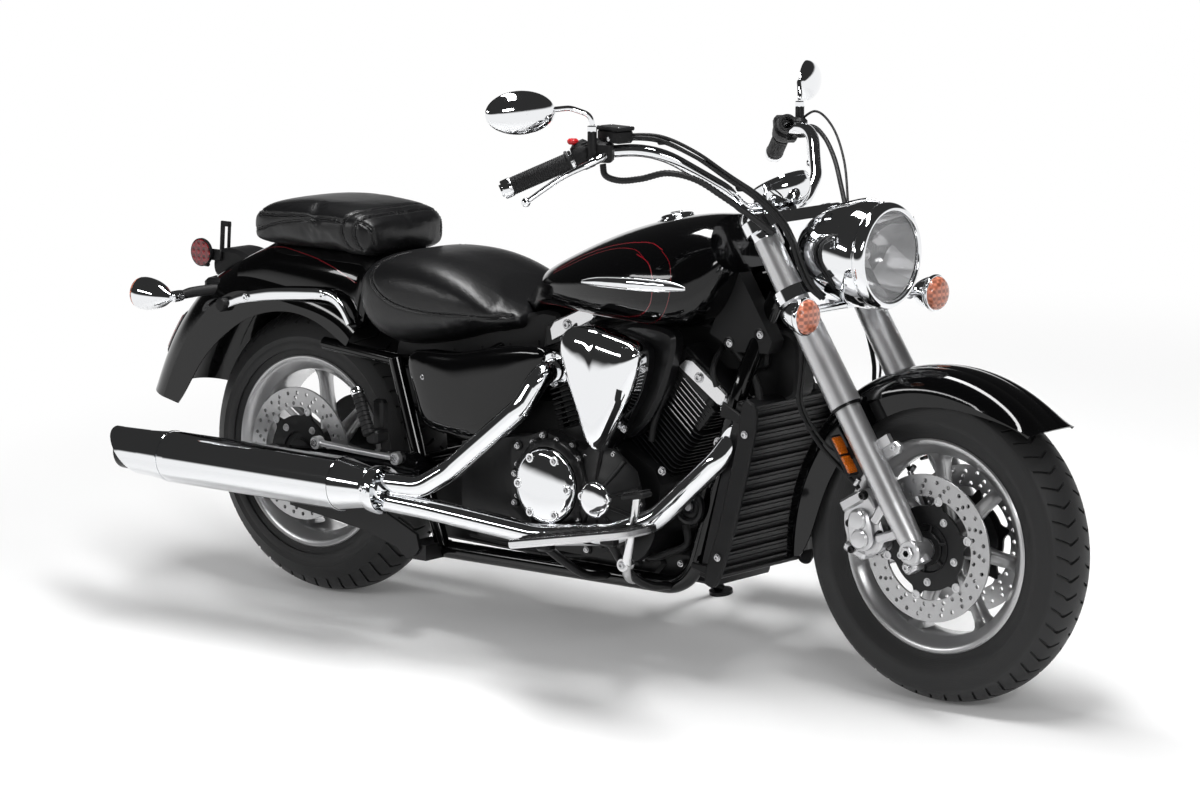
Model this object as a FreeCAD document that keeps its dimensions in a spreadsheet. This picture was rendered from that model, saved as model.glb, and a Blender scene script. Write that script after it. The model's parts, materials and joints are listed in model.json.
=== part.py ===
"""A 1300 cc class V-twin cruiser motorcycle, parked leaning on its side stand.

Every piece is drawn upright, with x forward, y to the left, z up, and the origin on the ground midway
between the axles. The parked lean is the placement that every sub-part gets at the end.
"""
import FreeCAD
import Part
import math
import os

import Sketcher
from FreeCAD import Placement, Rotation, Vector

SIZES = {
    # Layout
    "wheelbase": 1690,
    "rake_angle": 32.7,
    "trail": 145,
    "lean_angle": 9,
    "park_shift_x": 86,
    "park_shift_y": -183,
    "fit_clearance": 0.05,
    "part_gap": 0.3,
    "seat_gap": 0.6,
    # Wheels and tyres
    "crown_radius": 85,
    "bead_radius": 203,
    "flange_radius": 217,
    "rim_wall": 7,
    "front_tyre_radius": 320,
    "front_shoulder": 61,
    "front_wall": 64.5,
    "front_rim_width": 100,
    "rear_tyre_radius": 322,
    "rear_shoulder": 81,
    "rear_wall": 80,
    "rear_rim_width": 142,
    "spoke_count": 7,
    "spoke_root_width": 40,
    "spoke_tip_width": 25,
    "spoke_depth": 34,
    "hub_radius": 34,
    "hub_flange_radius": 78,
    "disc_radius": 149,
    "disc_thickness": 5,
    "disc_band": 48,
    "disc_window_depth": 16,
    "disc_window_angle": 19,
    "disc_window_count": 6,
    "disc_bore_radius": 50,
    "front_disc_offset": 69,
    "rear_disc_offset": 101,
    "pulley_radius": 104,
    "pulley_offset": 103,
    "belt_width": 18,
    "belt_thickness": 5,
    "drive_pulley_radius": 46,
    "drive_pulley_x": -250,
    "drive_pulley_height": 352,
    # Axles
    "axle_radius": 10,
    "axle_bore_radius": 6.5,
    "front_axle_half": 136,
    "rear_axle_half": 190,
    # Fork and steering
    "fork_half_spread": 110,
    "slider_radius": 27,
    "slider_foot": -28,
    "slider_top": 324,
    "cover_bottom_radius": 33,
    "cover_top_radius": 26,
    "cover_top": 728,
    "cap_radius": 21,
    "cap_top": 752,
    "lower_clamp_height": 560,
    "upper_clamp_height": 716,
    "clamp_thickness": 26,
    "stem_radius": 14,
    "head_tube_radius": 30,
    "head_bore_clearance": 0.1,
    "signal_spread": 219,
    "signal_lens_radius": 37,
    "headlight_radius": 98,
    "headlight_height": 883,
    "headlight_front": 701,
    "bar_radius": 12.7,
    "grip_radius": 18,
    "mirror_half_width": 92,
    "mirror_half_height": 44,
    # Fenders
    "fender_wall": 3,
    "front_fender_half": 78,
    "rear_fender_half": 124,
    # Tank and seats
    "tank_half_width": 190,
    "tank_top": 938,
    "rider_seat_half": 190,
    "passenger_seat_half": 148,
    # Frame
    "tube_radius": 19,
    "cradle_half": 120,
    "rail_height": 172,
    "upright_radius": 16,
    "upright_half": 133,
    "swingarm_pivot_x": -452,
    "swingarm_pivot_height": 338,
    "swingarm_pin_radius": 12,
    "swingarm_half": 165,
    "swingarm_arm_width": 28,
    # Engine
    "crank_x": 60,
    "crank_height": 345,
    "crankcase_half": 150,
    "front_bank_angle": 40,
    "rear_bank_angle": 20,
    "fin_pitch": 11,
    "fin_thickness": 3.2,
    "fin_count": 13,
    "bore_half": 72,
    "fin_half_along": 92,
    "fin_half_across": 118,
    "barrel_start": 128,
    "head_height": 62,
    "rocker_height": 46,
    # Exhaust
    "pipe_radius": 24,
    "muffler_radius": 58,
    "muffler_y": -265,
    "muffler_height": 311,
    "muffler_rear": -1248,
    "muffler_front": -440,
    # Stand
    "stand_pivot_x": -70,
    "stand_pivot_y": 178,
    "stand_reach_forward": 80,
    "stand_reach_out": 150,
    "stand_leg_radius": 11,
    "stand_foot_radius": 26,
}


class Size:
    """A number together with the spreadsheet expression that gives it."""

    def __init__(self, value, text):
        self.value = float(value)
        self.text = text

    @staticmethod
    def of(other):
        return other if isinstance(other, Size) else Size(other, repr(other))

    def _join(self, other, value, sign, flipped=False):
        left, right = (Size.of(other), self) if flipped else (self, Size.of(other))
        return Size(value(left.value, right.value), f"({left.text} {sign} {right.text})")

    def __add__(self, other):
        return self._join(other, lambda a, b: a + b, "+")

    def __radd__(self, other):
        return self._join(other, lambda a, b: a + b, "+", True)

    def __sub__(self, other):
        return self._join(other, lambda a, b: a - b, "-")

    def __rsub__(self, other):
        return self._join(other, lambda a, b: a - b, "-", True)

    def __mul__(self, other):
        return self._join(other, lambda a, b: a * b, "*")

    def __rmul__(self, other):
        return self._join(other, lambda a, b: a * b, "*", True)

    def __truediv__(self, other):
        return self._join(other, lambda a, b: a / b, "/")

    def __neg__(self):
        return Size(-self.value, f"(-{self.text})")

    def sin(self):
        return Size(math.sin(math.radians(self.value)), f"sin({self.text})")

    def cos(self):
        return Size(math.cos(math.radians(self.value)), f"cos({self.text})")

    def __float__(self):
        return self.value


class Sheet:
    """The spreadsheet of driving sizes, read by attribute."""

    def __init__(self, doc, sizes):
        self.cells = doc.addObject("Spreadsheet::Sheet", "Sizes")
        for row, (alias, value) in enumerate(sizes.items(), start=1):
            self.cells.set(f"A{row}", alias)
            self.cells.set(f"B{row}", str(value))
            self.cells.setAlias(f"B{row}", alias)
        doc.recompute()

    def __getattr__(self, alias):
        return Size(self.cells.get(alias), f"Sizes.{alias}")


doc = FreeCAD.newDocument("Cruiser")
s = Sheet(doc, SIZES)
sub_parts = {}


def val(number):
    """The plain number behind a size."""
    return float(number)


def vec(x, y, z):
    """A vector from sizes or numbers."""
    return Vector(val(x), val(y), val(z))


def bind(thing, prop, size):
    """Tie a property to the spreadsheet, or set it where the size is a plain number."""
    if isinstance(size, Size):
        thing.setExpression(prop, size.text)
    else:
        setattr(thing, prop, size)


def put(thing, x, y, z, rotation=None):
    """Place an object, its position tied to the spreadsheet."""
    thing.Placement = Placement(vec(x, y, z), rotation or Rotation())
    for axis, size in zip("xyz", (x, y, z)):
        if isinstance(size, Size):
            thing.setExpression(f"Placement.Base.{axis}", size.text)
    return thing


REAR = -s.wheelbase / 2
FRONT = s.wheelbase / 2
LIFT = s.crown_radius * (1 - s.lean_angle.cos())
FORK_OFFSET = s.front_tyre_radius * s.rake_angle.sin() - s.trail * s.rake_angle.cos()
PARKED = Placement(vec(s.park_shift_x, s.park_shift_y, LIFT), Rotation(Vector(1, 0, 0), -val(s.lean_angle)))
ACROSS = Rotation(Vector(1, 0, 0), 90)
ALONG = Rotation(Vector(0, 1, 0), 90)
RAKED = Rotation(Vector(0, 1, 0), -val(s.rake_angle))


def keep(name, thing):
    """Register a finished sub-part, still upright, under its own name."""
    thing.Label = name + " upright"
    sub_parts[name] = thing
    return thing


def named(name):
    """A finished sub-part by name."""
    return sub_parts[name]


def fork_point(along, forward=0, left=0):
    """A point in the frame of the fork legs: up the leg from the axle, forward of it and to the left."""
    rake = math.radians(val(s.rake_angle))
    up = Vector(-math.sin(rake), 0, math.cos(rake))
    fore = Vector(math.cos(rake), 0, math.sin(rake))
    axle = vec(FRONT, 0, s.front_tyre_radius)
    return axle + up * val(along) + fore * val(forward) + Vector(0, val(left), 0)


def plane_of(body, role):
    """One of the origin planes or axes of a body."""
    return next(item for item in body.Origin.OriginFeatures if item.Role == role)


def new_body(name):
    """An empty body."""
    return doc.addObject("PartDesign::Body", name)


def fix_point(sketch, geo, pos, point):
    """Dimension one point of a sketch from its origin."""
    for kind, size in zip(("DistanceX", "DistanceY"), point):
        index = sketch.addConstraint(Sketcher.Constraint(kind, -1, 1, geo, pos, val(size)))
        if isinstance(size, Size):
            sketch.setExpression(f"Constraints[{index}]", size.text)


def outline(body, role, points, name="Outline"):
    """A closed sketch on an origin plane.

    A point is (x, y) at the end of a straight line, or (x, y, mid_x, mid_y) at the end of an arc that
    passes through the middle point. The first point closes the outline.
    """
    sketch = body.newObject("Sketcher::SketchObject", name)
    sketch.AttachmentSupport = (plane_of(body, role), "")
    sketch.MapMode = "FlatFace"
    flat = [Vector(val(p[0]), val(p[1]), 0) for p in points]
    ends = []
    for i, point in enumerate(points[1:] + points[:1], start=1):
        start, stop = flat[i - 1], flat[i % len(points)]
        if len(point) == 2:
            geo = sketch.addGeometry(Part.LineSegment(start, stop))
            ends.append((geo, 1, 2))
        else:
            middle = Vector(val(point[2]), val(point[3]), 0)
            geo = sketch.addGeometry(Part.Arc(start, middle, stop))
            forward = sketch.Geometry[geo].StartPoint.distanceToPoint(start) < 0.01
            ends.append((geo, 1, 2) if forward else (geo, 2, 1))
            mark = sketch.addGeometry(Part.Point(middle), True)
            sketch.addConstraint(Sketcher.Constraint("PointOnObject", mark, 1, geo))
            fix_point(sketch, mark, 1, point[2:])
    for i, (geo, start, stop) in enumerate(ends):
        after, after_start, _ = ends[(i + 1) % len(ends)]
        sketch.addConstraint(Sketcher.Constraint("Coincident", geo, stop, after, after_start))
    for (geo, start, _), point in zip(ends, points):
        fix_point(sketch, geo, start, point[:2])
    return sketch


def circle(body, role, radius, x=0, y=0, name="Circle"):
    """A sketch of one circle on an origin plane."""
    sketch = body.newObject("Sketcher::SketchObject", name)
    sketch.AttachmentSupport = (plane_of(body, role), "")
    sketch.MapMode = "FlatFace"
    geo = sketch.addGeometry(Part.Circle(Vector(val(x), val(y), 0), Vector(0, 0, 1), val(radius)))
    fix_point(sketch, geo, 3, (x, y))
    index = sketch.addConstraint(Sketcher.Constraint("Radius", geo, val(radius)))
    if isinstance(radius, Size):
        sketch.setExpression(f"Constraints[{index}]", radius.text)
    return sketch


def revolve(body, points, name="Revolution"):
    """Turn an outline of (radius, height) points about the local Z axis of a body."""
    feature = body.newObject("PartDesign::Revolution", name)
    feature.Profile = outline(body, "XZ_Plane", points, name + "Outline")
    feature.ReferenceAxis = (plane_of(body, "Z_Axis"), [""])
    feature.Angle = 360
    body.Tip = feature
    return feature


def turned(name, points, x, y, z, rotation=None):
    """A revolved body at a place."""
    body = new_body(name)
    revolve(body, points)
    return put(body, x, y, z, rotation)


def pad(body, sketch, length, name="Pad", midplane=False, reversed_=False):
    """A pad of a sketch."""
    feature = body.newObject("PartDesign::Pad", name)
    feature.Profile = sketch
    bind(feature, "Length", length)
    if midplane:
        feature.SideType = "Symmetric"
    feature.Reversed = reversed_
    body.Tip = feature
    return feature


def slot_through(body, sketch, name="Pocket"):
    """A pocket that cuts right through a body both ways."""
    feature = body.newObject("PartDesign::Pocket", name)
    feature.Profile = sketch
    feature.Type = "ThroughAll"
    feature.SideType = "Symmetric"
    body.Tip = feature
    return feature


def polar(body, feature, count, name="Around"):
    """A full circle of copies of a feature about the local Z axis."""
    pattern = body.newObject("PartDesign::PolarPattern", name)
    pattern.Originals = [feature]
    pattern.Axis = (plane_of(body, "Z_Axis"), [""])
    pattern.Angle = 360
    bind(pattern, "Occurrences", count)
    body.Tip = pattern
    return pattern


def cylinder(radius, length, x, y, z, rotation=None, name="Cylinder"):
    """A cylinder from its base centre along local Z."""
    thing = doc.addObject("Part::Cylinder", name)
    bind(thing, "Radius", radius)
    bind(thing, "Height", length)
    return put(thing, x, y, z, rotation)


def box(length, width, height, x, y, z, rotation=None, name="Box"):
    """A box from its lowest corner."""
    thing = doc.addObject("Part::Box", name)
    for prop, size in zip(("Length", "Width", "Height"), (length, width, height)):
        bind(thing, prop, size)
    return put(thing, x, y, z, rotation)


def fuse(*things):
    """One solid from several."""
    thing = doc.addObject("Part::MultiFuse", "Fuse")
    thing.Shapes = list(things)
    thing.Refine = False
    return thing


def cut(base, *tools):
    """A piece less others."""
    for tool in tools:
        thing = doc.addObject("Part::Cut", "Cut")
        thing.Base = base
        thing.Tool = tool
        base = thing
    return base


def mirrored(thing):
    """The same piece on the other side of the bike."""
    mirror = doc.addObject("Part::Mirroring", "Mirror")
    mirror.Source = thing
    mirror.Normal = Vector(0, 1, 0)
    return mirror


def group(*things):
    """Like pieces that share one sub-part."""
    thing = doc.addObject("Part::Compound", "Group")
    thing.Links = list(things)
    return thing


def pair(thing):
    """A piece and its mirror image as one sub-part."""
    return group(thing, mirrored(thing))


def shaped(name, shape):
    """A sub-part whose form only code can give."""
    thing = doc.addObject("Part::Feature", name)
    thing.Shape = shape
    return thing


def bent_path(points, bends):
    """A wire of straight runs joined by tangent arcs, from its corner points and bend radii."""
    corners = [Vector(*(val(c) for c in p)) for p in points]
    edges = []
    start = corners[0]
    for before, corner, after, radius in zip(corners, corners[1:], corners[2:], bends):
        into = (corner - before).normalize()
        out = (after - corner).normalize()
        turn = into.getAngle(out)
        reach = radius * math.tan(turn / 2)
        if reach > min((corner - before).Length, (after - corner).Length):
            raise ValueError(f"bend {radius} is too large at {tuple(corner)}")
        enter, leave = corner - into * reach, corner + out * reach
        bisector = (out - into).normalize()
        centre = corner + bisector * (radius / math.cos(turn / 2))
        middle = centre - bisector * radius
        edges.append(Part.LineSegment(start, enter).toShape())
        edges.append(Part.Arc(enter, middle, leave).toShape())
        start = leave
    edges.append(Part.LineSegment(start, corners[-1]).toShape())
    return Part.Wire(edges)


def tube(name, points, radius, bend=60):
    """A round bar or tube swept along a bent path. The bend is one radius or one for each corner."""
    corners = max(len(points) - 2, 0)
    bends = list(bend) if isinstance(bend, (list, tuple)) else [bend] * corners
    path = shaped(name + "Path", bent_path(points, bends))
    first, second = (Vector(*(val(c) for c in p)) for p in points[:2])
    section = doc.addObject("Part::Circle", name + "Section")
    bind(section, "Radius", radius)
    section.Placement = Placement(first, Rotation(Vector(0, 0, 1), second - first))
    sweep = doc.addObject("Part::Sweep", name)
    sweep.Sections = [section]
    sweep.Spine = (path, [])
    sweep.Solid = True
    sweep.Frenet = False
    return sweep


def closed_curve(points):
    """A smooth closed curve through points."""
    curve = Part.BSplineCurve()
    curve.interpolate(points, PeriodicFlag=True)
    return Part.Wire(curve.toShape())


def loft(name, wires, ruled=False):
    """A solid through closed sections."""
    sections = [shaped(f"{name}Section", wire) for wire in wires]
    thing = doc.addObject("Part::Loft", name)
    thing.Sections = sections
    thing.Solid = True
    thing.Ruled = ruled
    return thing


def tyre(name, radius, shoulder, wall, rim_width, axle_x):
    """A tyre: crown arc, side walls and beads, solid inside because nothing shows there."""
    bead = rim_width / 2 - 5
    crown_drop = s.crown_radius - Size(
        math.sqrt(val(s.crown_radius) ** 2 - val(shoulder) ** 2),
        f"sqrt(Sizes.crown_radius ^ 2 - {shoulder.text} ^ 2)")
    high, low = radius - crown_drop, s.flange_radius + 2
    middle = (high + low) / 2
    points = [(s.bead_radius, -bead), (low, -bead), (high, -shoulder, middle, -wall),
              (high, shoulder, radius, 0), (low, bead, middle, wall), (s.bead_radius, bead)]
    return keep(name, turned(name, points, axle_x, 0, radius, ACROSS))


def wheel(name, axle_x, axle_z, rim_width, hub_width, phase):
    """A cast wheel: dropped-centre rim, hub with disc flanges, and straight spokes."""
    body = new_body(name)
    edge = rim_width / 2
    well = s.bead_radius - 14
    inner = well - s.rim_wall
    revolve(body, [
        (s.flange_radius, -edge), (s.flange_radius, -edge + 5), (s.bead_radius, -edge + 5),
        (s.bead_radius, -edge + 18), (well, -edge + 28), (well, edge - 28), (s.bead_radius, edge - 18),
        (s.bead_radius, edge - 5), (s.flange_radius, edge - 5), (s.flange_radius, edge),
        (s.bead_radius - 7, edge - 4), (s.bead_radius - 7, edge - 16), (inner, edge - 26),
        (inner, -edge + 26), (s.bead_radius - 7, -edge + 16), (s.bead_radius - 7, -edge + 4),
    ], "Rim")
    face = hub_width / 2
    bore = s.axle_radius + s.fit_clearance
    revolve(body, [
        (bore, -face - 8), (s.hub_radius, -face - 8), (s.hub_radius, -face), (s.hub_flange_radius, -face),
        (s.hub_flange_radius, -face + 8), (s.hub_radius + 10, -face + 16),
        (s.hub_radius + 10, face - 16), (s.hub_flange_radius, face - 8), (s.hub_flange_radius, face),
        (s.hub_radius, face), (s.hub_radius, face + 8), (bore, face + 8),
    ], "Hub")
    root, tip = s.spoke_root_width / 2, s.spoke_tip_width / 2
    start, end = s.hub_radius + 4, inner + 3
    blade = outline(body, "XY_Plane", [(start, -root), (end, -tip), (end, tip), (start, root)], "SpokeOutline")
    spoke = pad(body, blade, s.spoke_depth, "Spoke", midplane=True)
    polar(body, spoke, s.spoke_count, "Spokes")
    turn = ACROSS.multiply(Rotation(Vector(0, 0, 1), phase))
    return keep(name, put(body, axle_x, 0, axle_z, turn))


def disc(name, axle_x, axle_z, offset, phase):
    """A brake disc: the ring, its carrier and the windows between them."""
    body = new_body(name)
    half = s.disc_thickness / 2
    revolve(body, [(s.disc_bore_radius, -half), (s.disc_radius, -half), (s.disc_radius, half),
                   (s.disc_bore_radius, half)], "Ring")
    outer = s.disc_radius - s.disc_band
    inner = outer - s.disc_window_depth
    sine, cosine = s.disc_window_angle.sin(), s.disc_window_angle.cos()
    window = outline(body, "XY_Plane", [
        (inner * cosine, -(inner * sine)), (outer * cosine, -(outer * sine)),
        (outer * cosine, outer * sine, outer, 0), (inner * cosine, inner * sine)], "WindowOutline")
    first = slot_through(body, window, "Window")
    polar(body, first, s.disc_window_count, "Windows")
    turn = ACROSS.multiply(Rotation(Vector(0, 0, 1), phase))
    return put(body, axle_x, offset, axle_z, turn)


def front_wheel():
    """Front tyre, wheel and twin discs."""
    tyre("front_tyre", s.front_tyre_radius, s.front_shoulder, s.front_wall, s.front_rim_width, FRONT)
    hub = 2 * s.front_disc_offset - s.disc_thickness
    wheel("front_wheel", FRONT, s.front_tyre_radius, s.front_rim_width, hub, 95.5)
    keep("front_discs", group(disc("DiscRight", FRONT, s.front_tyre_radius, -s.front_disc_offset, 45),
                              disc("DiscLeft", FRONT, s.front_tyre_radius, s.front_disc_offset, 75)))


def rear_wheel():
    """Rear tyre, wheel, single disc on the right and belt pulley on the left."""
    tyre("rear_tyre", s.rear_tyre_radius, s.rear_shoulder, s.rear_wall, s.rear_rim_width, REAR)
    hub = 2 * s.rear_disc_offset - s.disc_thickness
    wheel("rear_wheel", REAR, s.rear_tyre_radius, s.rear_rim_width, hub, 96)
    keep("rear_disc", disc("DiscRear", REAR, s.rear_tyre_radius, -s.rear_disc_offset, 15))
    body = new_body("rear_pulley")
    inner_face = hub / 2
    outer_face = s.pulley_offset + s.belt_width / 2 + 3
    groove_low, groove_high = s.pulley_offset - s.belt_width / 2 - 1, s.pulley_offset + s.belt_width / 2 + 1
    revolve(body, [
        (s.hub_radius + 0.3, inner_face), (s.hub_flange_radius, inner_face),
        (s.pulley_radius - 10, groove_low - 2), (s.pulley_radius + 5, groove_low - 2),
        (s.pulley_radius + 5, groove_low), (s.pulley_radius, groove_low), (s.pulley_radius, groove_high),
        (s.pulley_radius + 5, groove_high), (s.pulley_radius + 5, outer_face),
        (s.pulley_radius - 14, outer_face), (s.pulley_radius - 20, inner_face + 8),
        (s.hub_radius + 0.3, inner_face + 8),
    ], "Pulley")
    put(body, REAR, 0, s.rear_tyre_radius, Rotation(Vector(1, 0, 0), -90))
    keep("rear_pulley", body)


def steering():
    """Fork, clamps, lamps, bars and controls, all of which turn with the steering."""
    axle_z = s.front_tyre_radius
    spread = s.fork_half_spread
    slider = new_body("FrontSlider")
    revolve(slider, [
        (0, s.slider_foot), (s.slider_radius - 7, s.slider_foot), (s.slider_radius - 5, s.slider_foot + 24),
        (s.slider_radius - 2, s.slider_foot + 60), (s.slider_radius, s.slider_foot + 130),
        (s.slider_radius, s.slider_top), (0, s.slider_top),
    ], "Leg")
    put(slider, FRONT, -spread, axle_z, RAKED)
    lug = box(56, 12, 20, 0, 0, 0, name="FenderLug")
    lug.Placement = Placement(fork_point(212, 0, -val(spread) + 4), RAKED)
    axle_hole = cylinder(s.axle_radius, 80, FRONT, -spread + 40, axle_z, ACROSS, "AxleHole")
    right_slider = cut(fuse(slider, lug), axle_hole)
    sliders = pair(right_slider)
    keep("fork_sliders", sliders)
    cover = new_body("ForkCover")
    revolve(cover, [
        (0, s.slider_top), (s.cover_bottom_radius, s.slider_top),
        (s.cover_bottom_radius - 2, s.slider_top + 170), (s.cover_bottom_radius - 3.5, s.slider_top + 204),
        (s.cover_top_radius, s.cover_top), (s.cap_radius, s.cover_top + 3), (s.cap_radius, s.cap_top - 4),
        (s.cap_radius - 4, s.cap_top), (0, s.cap_top),
    ], "Cover")
    put(cover, FRONT, -spread, axle_z, RAKED)
    covers = pair(cover)
    keep("fork_covers", covers)
    reach = s.cover_bottom_radius + 5
    back = FORK_OFFSET + 12

    def clamp(name, height):
        plate = new_body(name)
        shape = outline(plate, "XY_Plane", [
            (reach, -spread, 0, -spread - reach), (reach, spread), (-reach, spread, 0, spread + reach),
            (-back, 24), (-back, -24, -back - 14, 0), (-reach, -spread)], name + "Outline")
        pad(plate, shape, s.clamp_thickness)
        plate.Placement = Placement(fork_point(val(height)), RAKED)
        return plate

    stem_length = s.upper_clamp_height - s.lower_clamp_height + s.clamp_thickness
    stem = cylinder(s.stem_radius, stem_length, 0, 0, 0, name="Stem")
    stem.Placement = Placement(fork_point(val(s.lower_clamp_height), -val(FORK_OFFSET)), RAKED)
    clamps = fuse(clamp("LowerClamp", s.lower_clamp_height), clamp("UpperClamp", s.upper_clamp_height), stem)
    keep("triple_clamps", cut(clamps, covers))
    front_axle()
    lamps_and_bars()


def front_axle():
    """The hollow front axle with its collars between hub and fork feet."""
    body = new_body("front_axle")
    hub_end = s.front_disc_offset - s.disc_thickness / 2 + 8 + s.part_gap
    collar = s.axle_radius + 7
    end = s.front_axle_half
    foot = s.fork_half_spread - s.slider_radius
    revolve(body, [
        (s.axle_bore_radius, -end), (s.axle_radius, -end), (s.axle_radius, -foot), (collar, -foot),
        (collar, -hub_end), (s.axle_radius, -hub_end), (s.axle_radius, hub_end), (collar, hub_end),
        (collar, foot), (s.axle_radius, foot), (s.axle_radius, end), (s.axle_bore_radius, end),
    ], "Axle")
    put(body, FRONT, 0, s.front_tyre_radius, ACROSS)
    keep("front_axle", body)


def lamps_and_bars():
    """Headlight, signals, instrument pod, handlebar and what it carries."""
    back = 222
    shell = turned("HeadlightShell", [
        (0, 0), (6, 0), (96, 110, 64, 32), (110, 166), (104, 216, 109, 192), (s.headlight_radius, back),
        (s.headlight_radius - 8, back), (s.headlight_radius - 10, back - 12), (0, back - 12),
    ], s.headlight_front - back, 0, s.headlight_height, ALONG)
    keep("headlight_shell", cut(shell, named("triple_clamps"), named("fork_covers")))
    lens = turned("HeadlightLens", [
        (0, 0), (s.headlight_radius - 11, 0), (s.headlight_radius - 11, 7), (6, 20, 60, 16), (0, 20),
    ], s.headlight_front - 12, 0, s.headlight_height, ALONG)
    keep("headlight_lens", lens)
    lens_r = s.signal_lens_radius
    housing = turned("SignalHousing", [(0, 0), (3, 0), (lens_r - 2, 52, lens_r - 15, 22), (lens_r, 60),
                                       (0, 60)], 588, -s.signal_spread, 782, ALONG)
    bar = cylinder(9, 2 * s.signal_spread, 606, s.signal_spread, 782, ACROSS, "SignalBar")
    mount = box(56, 70, 14, 560, -35, 775, name="SignalMount")
    signal_bar = fuse(housing, mirrored(housing), bar, mount)
    keep("signal_bar", cut(signal_bar, named("triple_clamps"), named("headlight_shell"), named("fork_covers")))
    lens = turned("SignalLens", [(0, 0), (lens_r, 0), (lens_r, 10), (4, 22, lens_r * 0.66, 18), (0, 22)],
                  648, -s.signal_spread, 782, ALONG)
    keep("front_signal_lenses", pair(lens))
    grip_in, grip_out = Vector(154, -350, 1066), Vector(57, -445, 1008)
    along = (grip_out - grip_in).normalize()
    right = [(398, -40, 960), (404, -100, 962), (396, -150, 1008), (300, -262, 1094), grip_in - along * 40]
    left = [(x, -y, z) for x, y, z in (tuple(p) for p in right)]
    ends = tuple(grip_out + along * 4)
    route = [ends, tuple(right[4]), right[3], right[2], right[1], left[1], left[2], left[3], left[4],
             (ends[0], -ends[1], ends[2])]
    handlebar = tube("Handlebar", route, s.bar_radius, [90, 160, 70, 60, 60, 70, 160, 90])
    riser = cylinder(16, 40, 0, 0, 0, name="Riser")
    riser.Placement = Placement(fork_point(val(s.upper_clamp_height + s.clamp_thickness), -30, -45), RAKED)
    bars = fuse(handlebar, riser, mirrored(riser))
    keep("handlebar", bars)
    turn = Rotation(Vector(0, 0, 1), along)
    grip = cylinder(s.grip_radius, (grip_out - grip_in).Length, 0, 0, 0, name="Grip")
    grip.Placement = Placement(grip_in, turn)
    right_grip = cut(grip, bars)
    keep("grips", pair(right_grip))
    switch = cylinder(23, 44, 0, 0, 0, name="Switch")
    switch.Placement = Placement(grip_in - along * 45, turn)
    perch = cylinder(19, 26, 0, 0, 0, name="Perch")
    perch.Placement = Placement(grip_in - along * 71.5, turn)
    arm = box(46, 24, 16, 0, 0, 0, name="PerchArm")
    arm.Placement = Placement(grip_in - along * 71.5, turn.multiply(Rotation(Vector(0, 0, 1), -20)))
    boss = cylinder(9, 72, 205, -342, 1060, name="MirrorBoss")
    housing = cut(fuse(switch, perch, arm, boss), bars)
    reservoir = box(66, 44, 32, 200, -326, 1104, name="Reservoir")
    post = box(40, 26, 40, 212, -318, 1070, name="ReservoirPost")
    right_housing = cut(fuse(housing, reservoir, post), bars)
    keep("switch_housings", group(right_housing, mirrored(housing)))
    lever = tube("Lever", [(214, -318, 1083), (232, -350, 1070), (180, -405, 1043), (140, -467, 994)], 6.5,
                 [20, 60])
    keep("levers", cut(pair(lever), named("switch_housings"), bars))
    stem = tube("MirrorStem", [(205, -342, 1132), (205, -342, 1160), (176, -376, 1176), (142, -440, 1172)],
                5.5, [25, 40])
    head = doc.addObject("Part::Ellipsoid", "MirrorHead")
    head.Radius1 = 30
    bind(head, "Radius2", s.mirror_half_width - 16)
    bind(head, "Radius3", s.mirror_half_height)
    face_turn = Rotation(Vector(0, 0, 1), 65).multiply(Rotation(Vector(1, 0, 0), 90))
    head.Placement = Placement(Vector(125, -469, 1170), face_turn)
    keeper = box(260, 160, 60, 0, 0, 0, name="MirrorFace")
    keeper.Placement = Placement(Vector(125, -469, 1170), face_turn).multiply(
        Placement(Vector(-130, -80, -60), Rotation()))
    keep("mirrors", pair(fuse(stem, cut(head, keeper))))
    pod = turned("Pod", [(0, 0), (26, 0), (62, 40, 50, 14), (62, 52), (56, 58), (0, 58)], 440, 0, 958,
                 Rotation(Vector(0, 1, 0), -28))
    keep("instrument_pod", cut(pod, bars, named("triple_clamps"), named("fork_covers")))


def fender_section(station, half, axle_x, tyre_radius, wall=s.fender_wall):
    """A closed U section of a fender on the plane that holds the wheel axis at an angle.

    A station is the angle, then how far crown and edge stand out from the tyre.
    """
    angle, crown, edge = station[0], station[1] + val(tyre_radius), station[2] + val(tyre_radius)
    wall = val(wall)
    centre = vec(axle_x, 0, tyre_radius)
    out = Vector(math.cos(math.radians(angle)), 0, math.sin(math.radians(angle)))
    side = Vector(0, 1, 0)

    def at(radius, across):
        return centre + out * radius + side * across

    half = val(half)
    shoulder = max(crown - half * 0.62, edge + 6)
    rise = crown - shoulder
    turn_radius, turn_across = shoulder + rise * 0.7, half * 0.76
    brow, brow_across = crown - rise * 0.06, half * 0.3
    edges = [
        Part.LineSegment(at(edge, -half), at(shoulder, -half)),
        Part.Arc(at(shoulder, -half), at(turn_radius, -turn_across), at(brow, -brow_across)),
        Part.Arc(at(brow, -brow_across), at(crown, 0), at(brow, brow_across)),
        Part.Arc(at(brow, brow_across), at(turn_radius, turn_across), at(shoulder, half)),
        Part.LineSegment(at(shoulder, half), at(edge, half)),
        Part.LineSegment(at(edge, half), at(edge, half - wall)),
        Part.LineSegment(at(edge, half - wall), at(shoulder, half - wall)),
        Part.Arc(at(shoulder, half - wall), at(turn_radius - wall, turn_across - wall / 2),
                 at(brow - wall, brow_across)),
        Part.Arc(at(brow - wall, brow_across), at(crown - wall, 0), at(brow - wall, -brow_across)),
        Part.Arc(at(brow - wall, -brow_across), at(turn_radius - wall, -turn_across + wall / 2),
                 at(shoulder, -half + wall)),
        Part.LineSegment(at(shoulder, -half + wall), at(edge, -half + wall)),
        Part.LineSegment(at(edge, -half + wall), at(edge, -half)),
    ]
    return Part.Wire([edge.toShape() for edge in edges])


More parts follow.
